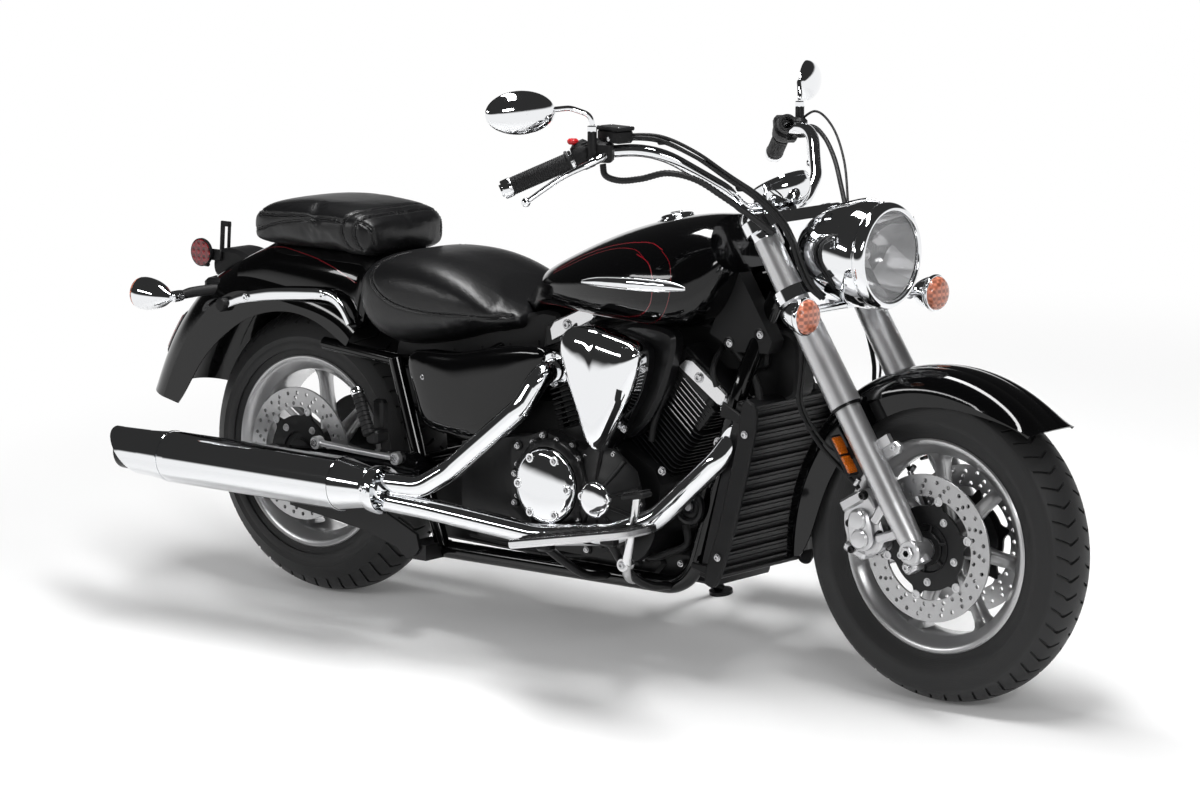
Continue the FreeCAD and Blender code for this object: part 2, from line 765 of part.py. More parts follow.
FRONT_FENDER = [(46, 36, 24), (60, 38, -4), (78, 39, -28), (98, 39, -40), (120, 39, -52), (145, 40, -58),
                (170, 46, -50), (190, 60, -2)]
REAR_FENDER = [(58, 80, -16), (75, 88, -10), (94, 96, -2), (106, 120, 0), (116, 146, 2), (128, 155, 4),
               (142, 158, 12), (156, 163, 24), (168, 175, 50)]


def fenders():
    """Front and rear fenders, deep U sections lofted round each wheel."""
    wires = [fender_section(station, s.front_fender_half, FRONT, s.front_tyre_radius)
             for station in FRONT_FENDER]
    tab = box(40, 14, 60, 0, 0, 0, name="FenderTab")
    tab.Placement = Placement(fork_point(275, -20, -90), RAKED)
    keep("front_fender", cut(fuse(loft("FrontFender", wires), tab, mirrored(tab)), named("fork_sliders"),
                             named("fork_covers")))
    wires = [fender_section(station, s.rear_fender_half, REAR, s.rear_tyre_radius) for station in REAR_FENDER]
    keep("rear_fender", loft("RearFender", wires))


def body_section(x, half, top, bottom, belly=0.6, crown=0.07, corner=(0.84, 0.27)):
    """A smooth closed section across the bike at x, for tanks and seats."""
    rise = top - bottom
    right = [(0, top), (0.5 * half, top - crown * rise), (corner[0] * half, top - corner[1] * rise),
             (half, bottom + 0.38 * rise), (0.9 * half, bottom + 0.12 * rise), (belly * half, bottom)]
    points = [Vector(x, -y, z) for y, z in right]
    points.append(Vector(x, 0, bottom))
    points += [Vector(x, y, z) for y, z in reversed(right[1:])]
    return closed_curve(points)


SPINE_ROUTE = [(430, 0, 818), (200, 0, 762), (-150, 0, 700), (-330, 0, 590)]


def steering_room():
    """The space behind the steering axis that clamps, legs and covers sweep at full lock."""
    sweep = s.fork_half_spread + s.cover_bottom_radius + 16
    room = cylinder(sweep, 420, 0, 0, 0, name="SteeringSweep")
    room.Placement = Placement(fork_point(val(s.lower_clamp_height) - 60, -val(FORK_OFFSET)), RAKED)
    behind = box(400, 400, 600, 0, 0, 0, name="SteeringBehind")
    behind.Placement = Placement(
        fork_point(val(s.lower_clamp_height) - 100, -val(FORK_OFFSET) - 68 - 400, -200), RAKED)
    return cut(room, behind)


def tank_and_seats():
    """Fuel tank over its tunnel, rider seat and passenger seat."""
    half, top = val(s.tank_half_width), val(s.tank_top)
    stations = [
        (-238, 0.18 * half, top - 220, top - 236), (-150, 0.52 * half, top - 138, top - 226),
        (-30, 0.80 * half, top - 81, top - 222), (100, 0.96 * half, top - 33, top - 226),
        (220, half, top - 6, top - 230), (310, 0.90 * half, top, top - 206),
        (360, 0.70 * half, top - 16, top - 144), (384, 0.42 * half, top - 40, top - 92),
    ]
    tank = loft("Tank", [body_section(*station) for station in stations])
    tunnel = new_body("Tunnel")
    shape = outline(tunnel, "XZ_Plane", [(-420, 520), (450, 560), (450, 856), (200, 797), (-150, 735),
                                         (-330, 620)], "TunnelOutline")
    pad(tunnel, shape, 68, midplane=True)
    keep("fuel_tank", cut(tank, tunnel, steering_room()))
    half = val(s.rider_seat_half)
    stations = [
        (-612, 0.62 * half, 700, 656), (-560, 0.88 * half, 782, 618), (-500, 0.98 * half, 802, 600),
        (-410, half, 792, 604), (-320, 0.94 * half, 750, 626), (-240, 0.80 * half, 702, 644),
        (-165, 0.56 * half, 696, 660),
    ]
    keep("rider_seat", cut(loft("RiderSeat", [body_section(*station) for station in stations]),
                           named("rear_fender"), tank, tunnel, named("frame_spine")))
    half = val(s.passenger_seat_half)
    stations = [
        (-982, 0.80 * half, 838, 756), (-958, 0.92 * half, 870, 744), (-884, 0.99 * half, 887, 735),
        (-750, half, 888, 735), (-658, 0.98 * half, 882, 752), (-612, 0.92 * half, 868, 772),
        (-588, 0.80 * half, 846, 790),
    ]
    seat = loft("PassengerSeat", [body_section(*station, belly=0.84, crown=0.03, corner=(0.9, 0.17))
                                  for station in stations])
    under = loft("SeatRoom", [
        fender_section((angle, crown + val(s.seat_gap), edge), s.rear_fender_half + s.seat_gap, REAR,
                       s.rear_tyre_radius, s.fender_wall * 10) for angle, crown, edge in REAR_FENDER])
    keep("passenger_seat", cut(seat, under, named("rider_seat")))


def frame():
    """The double cradle frame, its spine and head tube, and the swingarm."""
    side = s.cradle_half
    rail = s.rail_height
    right = [(432, -26, 786), (398, -104, 600), (286, -side, rail), (-420, -side, rail - 6)]
    cradle = tube("Cradle", right, s.tube_radius, [200, 90])
    keep("frame_cradles", group(cradle, fuse(mirrored(cradle), stand_mount())))
    clearance = s.part_gap
    low = s.lower_clamp_height + s.clamp_thickness + clearance
    length = s.upper_clamp_height - s.lower_clamp_height - s.clamp_thickness - 2 * clearance
    head = cylinder(s.head_tube_radius, length, 0, 0, 0, name="HeadTube")
    head.Placement = Placement(fork_point(val(low), -val(FORK_OFFSET)), RAKED)
    bore = cylinder(s.stem_radius + s.head_bore_clearance, length, 0, 0, 0, name="HeadBore")
    bore.Placement = head.Placement
    spine = tube("Spine", SPINE_ROUTE, 25, [300, 200])
    rail_right = tube("SeatRail", [(-180, -20, 676), (-300, -96, 592), (-540, -108.5, 562),
                                   (-760, -108.5, 580)], 14, [90, 200])
    arm_x, arm_z = s.swingarm_pivot_x, s.swingarm_pivot_height
    out = -s.upright_half
    upright = tube("Upright", [(-392, out, 176), (arm_x, out, arm_z), (-526, out, 572)], s.upright_radius,
                   [300])
    boss = cylinder(30, 2 * s.upright_radius, arm_x, out + s.upright_radius, arm_z, ACROSS, "PivotBoss")
    cross = cylinder(14, 2 * s.upright_half, -524, s.upright_half, 560, ACROSS, "CrossTube")
    pin = cylinder(s.swingarm_pin_radius, 2 * s.swingarm_half, arm_x, s.swingarm_half, arm_z, ACROSS,
                   "PivotPin")
    whole = fuse(head, spine, rail_right, mirrored(rail_right), cross, upright, boss, mirrored(upright),
                 mirrored(boss))
    keep("frame_spine", cut(whole, bore, pin, named("frame_cradles"), named("rear_fender")))
    arm = new_body("ArmRight")
    shape = outline(arm, "XZ_Plane", [
        (REAR - 34, s.rear_tyre_radius - 26), (REAR + 30, s.rear_tyre_radius - 30), (arm_x - 10, arm_z - 40),
        (arm_x + 34, arm_z, arm_x + 24, arm_z - 28), (arm_x - 10, arm_z + 40, arm_x + 24, arm_z + 28),
        (REAR + 30, s.rear_tyre_radius + 28), (REAR - 34, s.rear_tyre_radius + 26)], "ArmOutline")
    pad(arm, shape, s.swingarm_arm_width, midplane=True)
    put(arm, 0, -s.swingarm_half, 0)
    tie = cylinder(14, 2 * s.swingarm_half, arm_x - 48, s.swingarm_half, arm_z + 6, ACROSS, "ArmTie")
    axle_hole = cylinder(s.axle_radius, 2 * s.rear_axle_half + 20, REAR, s.rear_axle_half + 10,
                         s.rear_tyre_radius, ACROSS, "RearAxleHole")
    keep("swingarm", cut(fuse(arm, mirrored(arm), tie, pin), axle_hole))
    body = new_body("rear_axle")
    hub_end = s.rear_disc_offset - s.disc_thickness / 2 + 8 + s.part_gap
    collar = s.axle_radius + 8
    foot = s.swingarm_half - s.swingarm_arm_width / 2
    end = s.rear_axle_half
    revolve(body, [
        (s.axle_bore_radius, -end), (s.axle_radius, -end), (s.axle_radius, -foot), (collar, -foot),
        (collar, -hub_end), (s.axle_radius, -hub_end), (s.axle_radius, hub_end), (collar, hub_end),
        (collar, foot), (s.axle_radius, foot), (s.axle_radius, end), (s.axle_bore_radius, end),
    ], "Axle")
    put(body, REAR, 0, s.rear_tyre_radius, ACROSS)
    keep("rear_axle", body)


def cylinder_bank(name, tilt):
    """A finned cylinder with its head, leaning from the crankshaft by an angle from upright."""
    body = new_body(name)
    start = s.barrel_start
    side = s.fin_half_across - 20
    core = outline(body, "XY_Plane", [(-s.bore_half, -side), (s.bore_half, -side), (s.bore_half, side),
                                      (-s.bore_half, side)], "CoreOutline")
    core.AttachmentOffset = Placement(vec(0, 0, start), Rotation())
    core.setExpression("AttachmentOffset.Base.z", start.text)
    pad(body, core, s.fin_pitch * s.fin_count + s.head_height, "Core")
    along, across = s.fin_half_along, s.fin_half_across
    fin_sketch = outline(body, "XY_Plane", [
        (-along + 16, -across, -along + 5, -across + 5), (along - 16, -across),
        (along, -across + 16, along - 5, -across + 5), (along, across - 16),
        (along - 16, across, along - 5, across - 5), (-along + 16, across),
        (-along, across - 16, -along + 5, across - 5), (-along, -across + 16)], "FinOutline")
    fin_sketch.AttachmentOffset = Placement(vec(0, 0, start + 4), Rotation())
    fin_sketch.setExpression("AttachmentOffset.Base.z", (start + 4).text)
    fin = pad(body, fin_sketch, s.fin_thickness, "Fin")
    stack = body.newObject("PartDesign::LinearPattern", "Fins")
    stack.Originals = [fin]
    stack.Direction = (plane_of(body, "Z_Axis"), [""])
    bind(stack, "Length", s.fin_pitch * (s.fin_count - 1))
    bind(stack, "Occurrences", s.fin_count)
    body.Tip = stack
    reach, side = s.bore_half + 10, across - 6
    head = outline(body, "XY_Plane", [(-reach, -side), (reach, -side), (reach, side), (-reach, side)],
                   "HeadOutline")
    head_low = start + s.fin_pitch * s.fin_count
    head.AttachmentOffset = Placement(vec(0, 0, head_low), Rotation())
    head.setExpression("AttachmentOffset.Base.z", head_low.text)
    pad(body, head, s.head_height, "Head")
    put(body, s.crank_x, 0, s.crank_height, Rotation(Vector(0, 1, 0), tilt))
    return body


def rocker_cover(name, tilt):
    """The domed cover on top of a cylinder head."""
    body = new_body(name)
    low = s.barrel_start + s.fin_pitch * s.fin_count + s.head_height
    along, across = s.bore_half + 4, s.fin_half_across
    shape = outline(body, "XY_Plane", [
        (-along + 20, -across, -along + 6, -across + 6), (along - 20, -across),
        (along, -across + 20, along - 6, -across + 6),
        (along, across - 20), (along - 20, across, along - 6, across - 6), (-along + 20, across),
        (-along, across - 20, -along + 6, across - 6), (-along, -across + 20)], "CoverOutline")
    shape.AttachmentOffset = Placement(vec(0, 0, low), Rotation())
    shape.setExpression("AttachmentOffset.Base.z", low.text)
    feature = pad(body, shape, s.rocker_height)
    feature.TaperAngle = -18
    put(body, s.crank_x, 0, s.crank_height, Rotation(Vector(0, 1, 0), tilt))
    return body


def engine():
    """Crankcase, two finned cylinders, covers and air cleaner."""
    front = cylinder_bank("FrontBank", val(s.front_bank_angle))
    rear = cylinder_bank("RearBank", -val(s.rear_bank_angle))
    case = new_body("Crankcase")
    cx, cz = s.crank_x, s.crank_height
    shape = outline(case, "XZ_Plane", [
        (cx - 380, cz - 90), (cx - 330, cz - 130), (cx + 40, cz - 135),
        (cx + 150, cz - 70, cx + 118, cz - 118), (cx + 168, cz + 40), (cx + 150, cz + 70),
        (cx - 20, cz + 150), (cx - 150, cz + 110), (cx - 380, cz + 70)], "CaseOutline")
    pad(case, shape, 2 * s.crankcase_half, midplane=True)
    half = s.crankcase_half
    side_case = new_body("SideCase")
    shape = outline(side_case, "XZ_Plane", [
        (-150, 300), (-60, 232), (60, 226), (150, 262, 112, 236), (176, 340, 172, 300), (150, 400, 170, 375),
        (60, 440), (-60, 470), (-150, 440)], "SideOutline")
    pad(side_case, shape, 34)
    put(side_case, 0, -half, 0)
    bay_low = s.pulley_offset - s.belt_width / 2 - 4
    bay = box(240, 100, 400, s.drive_pulley_x - 140, bay_low, 180, name="BeltBay")
    drum = turned("DrivePulley", [(0, 0), (s.drive_pulley_radius + 6, 0), (s.drive_pulley_radius + 6, 3),
                                  (s.drive_pulley_radius, 3), (s.drive_pulley_radius, s.belt_width + 8),
                                  (0, s.belt_width + 8)],
                  s.drive_pulley_x, bay_low, s.drive_pulley_height, Rotation(Vector(1, 0, 0), -90))
    keep("crankcase", cut(fuse(cut(case, bay), side_case, drum), named("frame_cradles"), named("frame_spine")))
    keep("front_cylinder", cut(front, named("crankcase")))
    keep("rear_cylinder", cut(rear, named("crankcase"), named("front_cylinder")))
    rear_cover = cut(rocker_cover("RearRocker", -val(s.rear_bank_angle)), named("frame_spine"),
                     named("fuel_tank"))
    keep("rocker_covers", group(rocker_cover("FrontRocker", val(s.front_bank_angle)), rear_cover))
    clutch = turned("ClutchCover", [(0, 34), (96, 34), (96, 58), (80, 66), (78, 76), (66, 86, 74, 83),
                                    (5, 90, 34, 89), (0, 90)], -25, -half, 363, ACROSS)
    small = turned("SmallCover", [(0, 34), (38, 34), (38, 50), (30, 60), (0, 64)], 122, -half, 350, ACROSS)
    keep("right_engine_covers", group(clutch, small))
    generator = turned("GeneratorCover", [(0, 0), (98, 0), (98, 30), (86, 52, 95, 44), (5, 62, 50, 60), (0, 62)],
                       60, half, 358, Rotation(Vector(1, 0, 0), -90))
    cover_low = s.pulley_offset + s.belt_width / 2 + 4
    drive = turned("DriveCover", [(0, 0), (70, 0), (70, 30), (60, 40), (0, 42)],
                   s.drive_pulley_x, cover_low, s.drive_pulley_height, Rotation(Vector(1, 0, 0), -90))
    keep("left_engine_covers", group(generator, drive))
    air = new_body("AirCover")
    shape = outline(air, "XZ_Plane", [
        (78, 470), (140, 470, 112, 448), (236, 640), (222, 700, 246, 682), (60, 716, 140, 726),
        (22, 672, 24, 706)], "AirOutline")
    pad(air, shape, 52)
    put(air, 0, -s.fin_half_across - 64, 0)
    stalk = box(60, 110, 60, 100, -s.fin_half_across - 66, 560, name="Intake")
    keep("air_cleaner_cover", cut(fuse(air, stalk), named("front_cylinder"), named("rear_cylinder"),
                                  named("rocker_covers"), named("fuel_tank")))


def cooling_and_horn():
    """Radiator with slats between the down tubes, its side shrouds, and the horn."""
    lean = Rotation(Vector(0, 1, 0), 14.6)
    core = box(26, 300, 380, 0, 0, 0, name="RadiatorCore")
    core.Placement = Placement(Vector(330, -150, 210), lean)
    slats = []
    for row in range(11):
        slat = box(10, 296, 4, 0, 0, 0, name="Slat")
        slat.Placement = Placement(Vector(330, -150, 210), lean).multiply(
            Placement(Vector(24, 2, 20 + row * 33), Rotation()))
        slats.append(slat)
    tubes = (named("frame_cradles"),)
    keep("radiator", cut(fuse(core, *slats), *tubes))
    shroud = new_body("Shroud")
    shape = outline(shroud, "XZ_Plane", [(-50, -6), (46, -6), (62, 60), (62, 340), (40, 396), (-44, 396)],
                    "ShroudOutline")
    pad(shroud, shape, 12)
    shroud.Placement = Placement(Vector(330, -150, 210), lean)
    keep("radiator_shrouds", cut(pair(shroud), *tubes))
    horn = turned("Horn", [(0, 0), (20, 0), (35, 9), (35, 16), (30, 19), (4, 14, 14, 18), (0, 14)],
                  306, -139.3, 350, Rotation(Vector(1, 0, 0), 90))
    keep("horn", cut(horn, named("radiator_shrouds"), *tubes))


def exhaust():
    """Two header pipes into one muffler on the right, with its bracket."""
    side = s.muffler_y
    long = s.muffler_front - s.muffler_rear
    r = s.muffler_radius
    body = new_body("Muffler")
    revolve(body, [
        (0, 12), (r - 8, 12), (r - 6, 100), (r, 190), (r, long - 120), (r - 14, long - 40), (r - 30, long - 8),
        (r - 34, long), (0, long)], "Shell")
    revolve(body, [(r - 11, 12.5), (r - 11, -60), (r - 8, -60), (r - 8, 12.5)], "Lip")
    put(body, s.muffler_rear, side, s.muffler_height, ALONG)
    slash = box(200, 160, 300, 0, 0, 0, name="Slash")
    slash.Placement = Placement(
        Vector(val(s.muffler_rear), val(side) - 80, val(s.muffler_height) + 37),
        Rotation(Vector(0, 1, 0), -40)).multiply(Placement(Vector(-200, 0, -150), Rotation()))
    outlet = cylinder(s.muffler_radius - 14, 130, s.muffler_rear - 60, side, s.muffler_height, ALONG, "Outlet")
    keep("muffler", cut(body, slash, outlet))
    pipe = s.pipe_radius
    rear = tube("RearPipe", [(-70, -98, 600), (-58, -196, 590), (-90, -222, 520), (-270, -240, 372),
                             (-340, -256, 328), (-470, -262, 326)], pipe, [40, 55, 160, 70])
    rear = cut(rear, named("muffler"), named("rear_cylinder"), named("air_cleaner_cover"))
    front = tube("FrontPipe", [(345, -60, 566), (424, -118, 532), (392, -166, 460), (256, -198, 324),
                               (150, -214, 282), (-40, -226, 258), (-330, -250, 282), (-470, -262, 290)], pipe,
                 [40, 50, 120, 100, 200, 300])
    front = cut(front, named("muffler"), named("front_cylinder"), rear, named("right_engine_covers"),
                named("crankcase"), named("radiator"), named("radiator_shrouds"), named("frame_cradles"),
                named("rocker_covers"), named("horn"))
    keep("exhaust_pipes", group(rear, front))
    bracket = new_body("MufflerBracket")
    shape = outline(bracket, "XZ_Plane", [(-790, 226), (-560, 196), (-470, 172), (-406, 176, -420, 160),
                                          (-414, 206), (-520, 250), (-560, 262), (-790, 250)], "BracketOutline")
    pad(bracket, shape, 8)
    put(bracket, 0, -186, 0)
    boss = box(60, 84, 34, -452, -188, 150, name="BracketBoss")
    keep("muffler_bracket", cut(fuse(bracket, boss), named("muffler"), named("frame_cradles"),
                                named("swingarm"), named("exhaust_pipes"), named("frame_spine")))


def covers_and_controls():
    """Side covers, floorboards, pedals, pegs, rails, lamps at the rear and small fittings."""
    side_cover = new_body("SideCover")
    shape = outline(side_cover, "XZ_Plane", [(-470, 590), (-420, 432), (-262, 420), (-140, 520), (-66, 640),
                                             (-180, 640), (-330, 610)], "CoverOutline")
    pad(side_cover, shape, 40)
    put(side_cover, 0, -118, 0)
    keep("side_covers", cut(pair(side_cover), named("rear_cylinder"), named("left_engine_covers"),
                            named("rider_seat"), named("crankcase"), named("frame_spine"),
                            named("rocker_covers"), named("frame_cradles"), named("exhaust_pipes")))
    neck = new_body("NeckCover")
    shape = outline(neck, "XZ_Plane", [(300, 700), (372, 668), (452, 672), (478, 742), (404, 862), (372, 862)],
                    "NeckOutline")
    pad(neck, shape, 40)
    put(neck, 0, -42, 0)
    keep("neck_covers", cut(pair(neck), steering_room(), named("fuel_tank"), named("frame_spine"),
                            named("triple_clamps"), named("frame_cradles"), named("rocker_covers")))
    tilt = Rotation(Vector(0, 1, 0), -11)
    board = box(330, 108, 22, 0, 0, 0, name="Board")
    board.Placement = Placement(Vector(10, -388, 256), tilt)
    rail = s.rail_height
    struts = [tube("BoardStrut", [(x, -125, rail), (x, -225, 198), (x, -330, 250 + 0.19 * x)], 9, [90])
              for x in (70, 240)]
    boards = pair(fuse(board, *struts))
    keep("floorboards", cut(boards, named("frame_cradles"),
                            named("exhaust_pipes"), named("crankcase"), named("left_engine_covers")))
    pedal = tube("BrakePedal", [(176, -125, 176), (200, -230, 196), (330, -318, 262), (322, -328, 392)], 8,
                 [70, 70])
    pad_plate = box(54, 34, 12, 300, -346, 390, name="PedalPad")
    pedal = cut(fuse(pedal, pad_plate), named("floorboards"), named("exhaust_pipes"), named("frame_cradles"))
    shifter = tube("Shifter", [(210, 150, 300), (216, 240, 300), (330, 320, 370), (350, 340, 392)], 7, [40, 40])
    shifter = cut(shifter, named("floorboards"), named("crankcase"), named("left_engine_covers"))
    keep("foot_controls", group(pedal, shifter))
    peg = tube("Peg", [(-600, -158, 512), (-560, -188, 440), (-546, -196, 410)], 14, [60])
    hanger = box(70, 50, 60, -612, -172, 500, name="PegHanger")
    keep("passenger_pegs", pair(cut(fuse(peg, hanger), named("frame_cradles"), named("rear_fender"),
                                    named("rider_seat"), named("side_covers"))))
    rail = tube("FenderRail", [(-1030, -128, 650), (-916, -131, 684), (-722, -131, 700), (-676, -128, 660)], 9,
                [120, 40])
    keep("fender_rails", pair(cut(rail, named("rear_fender"), named("passenger_seat"))))
    lamp = box(64, 70, 74, -1336, -35, 520, name="TailLamp")
    keep("tail_lamp", cut(lamp, named("rear_fender")))
    post = box(12, 44, 150, -1150, -22, 664, Rotation(Vector(0, 1, 0), -22), name="PlatePost")
    stay_bar = cylinder(9, 2 * 200, -1190, 200, 660, ACROSS, "SignalStay")
    base = box(90, 60, 24, -1215, -30, 648, name="StayBase")
    housing = turned("RearSignal", [(0, 0), (30, 14), (35, 60), (35, 74), (0, 74)], -1180, -200, 656,
                     Rotation(Vector(0, 1, 0), -90))
    rear_stay = fuse(stay_bar, base, post, housing, mirrored(housing))
    keep("rear_signals", cut(rear_stay, named("rear_fender"), named("passenger_seat")))
    caliper = box(90, 60, 80, -748, -144, 196, name="RearCaliper")
    disc_room = cylinder(s.disc_radius + 5, s.disc_thickness + 10, REAR, -s.rear_disc_offset + 7.5,
                         s.rear_tyre_radius, ACROSS, "RearDiscRoom")
    hanger = box(40, 34, 70, -726, -176, 242, name="RearCaliperHanger")
    caliper = cut(fuse(caliper, hanger), disc_room, named("swingarm"), named("muffler_bracket"))
    rod = tube("TorqueRod", [(-720, -182, 372), (-600, -182, 366), (-476, -182, 364)], 7, [2000])
    rod = cut(rod, named("swingarm"), named("frame_cradles"), named("passenger_pegs"))
    keep("rear_brake", group(caliper, rod))
    belt_loop()
    calipers_and_reflectors()


def belt_loop():
    """The drive belt, one loop round both pulleys, held clear of the rear one."""
    big = val(s.pulley_radius) + val(s.part_gap)
    small = val(s.drive_pulley_radius)
    thick = val(s.belt_thickness)
    rear = vec(REAR, 0, s.rear_tyre_radius)
    front = vec(s.drive_pulley_x, 0, s.drive_pulley_height)
    gap = front - rear
    heading = math.atan2(gap.z, gap.x)

    def around(extra):
        def spot(centre, radius, angle):
            return centre + Vector(math.cos(angle), 0, math.sin(angle)) * (radius + extra)
        top_angle = heading + math.acos((big - small) / gap.Length)
        low_angle = heading - math.acos((big - small) / gap.Length)
        a, b = spot(rear, big, top_angle), spot(front, small, top_angle)
        c, d = spot(front, small, low_angle), spot(rear, big, low_angle)
        nose = spot(front, small, heading)
        tail = spot(rear, big, heading + math.pi)
        return Part.Wire([Part.LineSegment(a, b).toShape(), Part.Arc(b, nose, c).toShape(),
                          Part.LineSegment(c, d).toShape(), Part.Arc(d, tail, a).toShape()])

    face = Part.Face(around(thick)).cut(Part.Face(around(0)))
    low = val(s.pulley_offset) - val(s.belt_width) / 2
    loop = face.extrude(Vector(0, val(s.belt_width), 0)).Solids[0]
    loop.translate(Vector(0, low, 0))
    keep("drive_belt", shaped("DriveBelt", loop))


def calipers_and_reflectors():
    """Front calipers on the fork feet and the reflectors above them."""
    caliper = new_body("FrontCaliper")
    shape = outline(caliper, "XZ_Plane", [
        (-78, 36), (-76, 96), (-86, 160), (-126, 172), (-150, 150), (-146, 96), (-132, 54), (-100, 30)],
        "CaliperOutline")
    pad(caliper, shape, 46)
    caliper.Placement = Placement(fork_point(0, 0, -60), RAKED)
    slot = cylinder(s.disc_radius + 5, s.disc_thickness + 10, FRONT, -s.front_disc_offset + 7.5,
                    s.front_tyre_radius, ACROSS, "CaliperSlot")
    lugs = []
    for height in (58, 138):
        lug = box(64, 14, 18, 0, 0, 0, name="CaliperLug")
        lug.Placement = Placement(fork_point(height, -84, -val(s.fork_half_spread) + 2), RAKED)
        lugs.append(lug)
    keep("front_calipers", pair(cut(fuse(caliper, *lugs), slot, named("fork_sliders"))))
    reflector = box(8, 30, 84, 0, 0, 0, name="Reflector")
    reflector.Placement = Placement(fork_point(196, -52, -124), RAKED)
    tab = box(30, 8, 30, 0, 0, 0, name="ReflectorTab")
    tab.Placement = Placement(fork_point(225, -46, -114), RAKED)
    keep("fork_reflectors", pair(cut(fuse(reflector, tab), named("fork_sliders"))))


class Stand:
    """The lines of the side stand: its pivot, pivot axis, leg and the ground that it meets."""

    def __init__(self):
        lean = math.radians(val(s.lean_angle))
        foot_y = val(s.stand_pivot_y + s.stand_reach_out)
        self.ground = (foot_y * math.sin(lean) - val(LIFT)) / math.cos(lean)
        self.pivot = vec(s.stand_pivot_x, s.stand_pivot_y, s.rail_height + 4)
        self.leg = Vector(val(s.stand_reach_forward), val(s.stand_reach_out), self.ground + 10 - self.pivot.z)
        self.axis = self.leg.cross(Vector(-0.98, 0.15, 0.1)).normalize()
        self.turn = Rotation(Vector(0, 0, 1), self.axis)
        self.sole = Vector(self.pivot.x + self.leg.x, foot_y, self.ground)
        self.up = Vector(0, -math.sin(lean), math.cos(lean))

    def across(self, thing, start):
        """Place a thing along the pivot axis, from a distance before the pivot."""
        thing.Placement = Placement(self.pivot + self.axis * start, self.turn)
        return thing


def stand_mount():
    """The lug and pin that carry the side stand, one solid with the left cradle."""
    stand = Stand()
    pin = stand.across(cylinder(6, 46, 0, 0, 0, name="StandPin"), -23.3)
    cap = stand.across(cylinder(13, 8, 0, 0, 0, name="StandCap"), 13.3)
    lug = stand.across(box(56, 60, 10, 0, 0, 0, name="StandLug"), -23.3)
    lug.Placement = lug.Placement.multiply(Placement(Vector(-28, -44, 0), Rotation()))
    return fuse(pin, lug, cap)


def side_stand():
    """The stand leg with its eye and foot."""
    stand = Stand()
    leg = tube("StandLeg", [tuple(stand.pivot), tuple(stand.pivot + stand.leg)], s.stand_leg_radius)
    eye = stand.across(cylinder(17, 26, 0, 0, 0, name="StandEye"), -13)
    foot = cylinder(s.stand_foot_radius, 8, 0, 0, 0, name="StandFoot")
    foot.Placement = Placement(stand.sole, Rotation(Vector(0, 0, 1), stand.up))
    hole = stand.across(cylinder(6 + s.fit_clearance, 60, 0, 0, 0, name="StandHole"), -30)
    keep("side_stand", cut(fuse(leg, eye, foot), hole))


def save():
    """Park every sub-part, check it and write it out."""
    parked = []
    for name, upright in sub_parts.items():
        part = group(upright)
        part.Label = name
        part.Placement = PARKED
        parked.append(part)
    doc.recompute()
    failed = [(o.Name, [i.Label for i in o.OutList], o.getStatusString()) for o in doc.Objects
              if "Invalid" in o.State or "Error" in o.State]
    broken = [p.Label for p in parked if p.Shape.isNull() or not p.Shape.isValid() or not p.Shape.Solids]
    if failed or broken:
        raise RuntimeError(f"failed objects {failed}, broken sub-parts {broken}")
    os.makedirs("parts", exist_ok=True)
    for part in parked:
        part.Shape.exportStep(f"parts/{part.Label}.step")
    bounds = Part.makeCompound([part.Shape for part in parked]).BoundBox
    FreeCAD.Console.PrintMessage(f"bounds {bounds}\n")


front_wheel()
rear_wheel()
steering()
fenders()
frame()
tank_and_seats()
engine()
cooling_and_horn()
exhaust()
covers_and_controls()
side_stand()
save()
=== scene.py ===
"""The looks of a cruiser motorcycle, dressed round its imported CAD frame.

Shapes are written in millimetres of the upright machine: x forward, y to its left, z up, from the ground
under the middle of the wheelbase. PARKED leans them over onto the side stand and turns them into metres.
"""
from __future__ import annotations

import json
import logging
import math
from dataclasses import dataclass
from enum import Enum
from typing import Sequence

import bmesh
import bpy
from mathutils import Matrix, Vector
from mathutils.bvhtree import BVHTree
from mathutils.kdtree import KDTree

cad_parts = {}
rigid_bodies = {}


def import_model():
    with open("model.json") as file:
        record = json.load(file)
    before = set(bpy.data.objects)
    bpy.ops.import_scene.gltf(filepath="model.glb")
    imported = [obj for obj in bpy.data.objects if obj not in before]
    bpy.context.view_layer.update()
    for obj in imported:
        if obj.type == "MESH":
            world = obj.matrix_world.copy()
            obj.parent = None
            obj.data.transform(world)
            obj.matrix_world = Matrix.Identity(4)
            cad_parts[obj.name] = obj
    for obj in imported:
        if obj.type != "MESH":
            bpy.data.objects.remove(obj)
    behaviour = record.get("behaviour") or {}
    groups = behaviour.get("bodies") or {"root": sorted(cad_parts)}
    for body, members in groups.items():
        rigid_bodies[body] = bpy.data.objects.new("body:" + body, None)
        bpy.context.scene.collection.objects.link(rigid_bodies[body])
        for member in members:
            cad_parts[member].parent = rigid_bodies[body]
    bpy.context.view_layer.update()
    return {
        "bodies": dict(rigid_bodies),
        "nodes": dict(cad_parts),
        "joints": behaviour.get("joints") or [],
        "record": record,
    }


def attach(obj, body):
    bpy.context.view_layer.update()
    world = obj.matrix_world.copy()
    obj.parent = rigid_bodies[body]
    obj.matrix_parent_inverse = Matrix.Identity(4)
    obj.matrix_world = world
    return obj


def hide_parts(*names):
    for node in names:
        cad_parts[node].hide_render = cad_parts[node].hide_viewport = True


LOG = logging.getLogger("cruiser")
Point = tuple[float, float, float]
Flat = tuple[float, float]

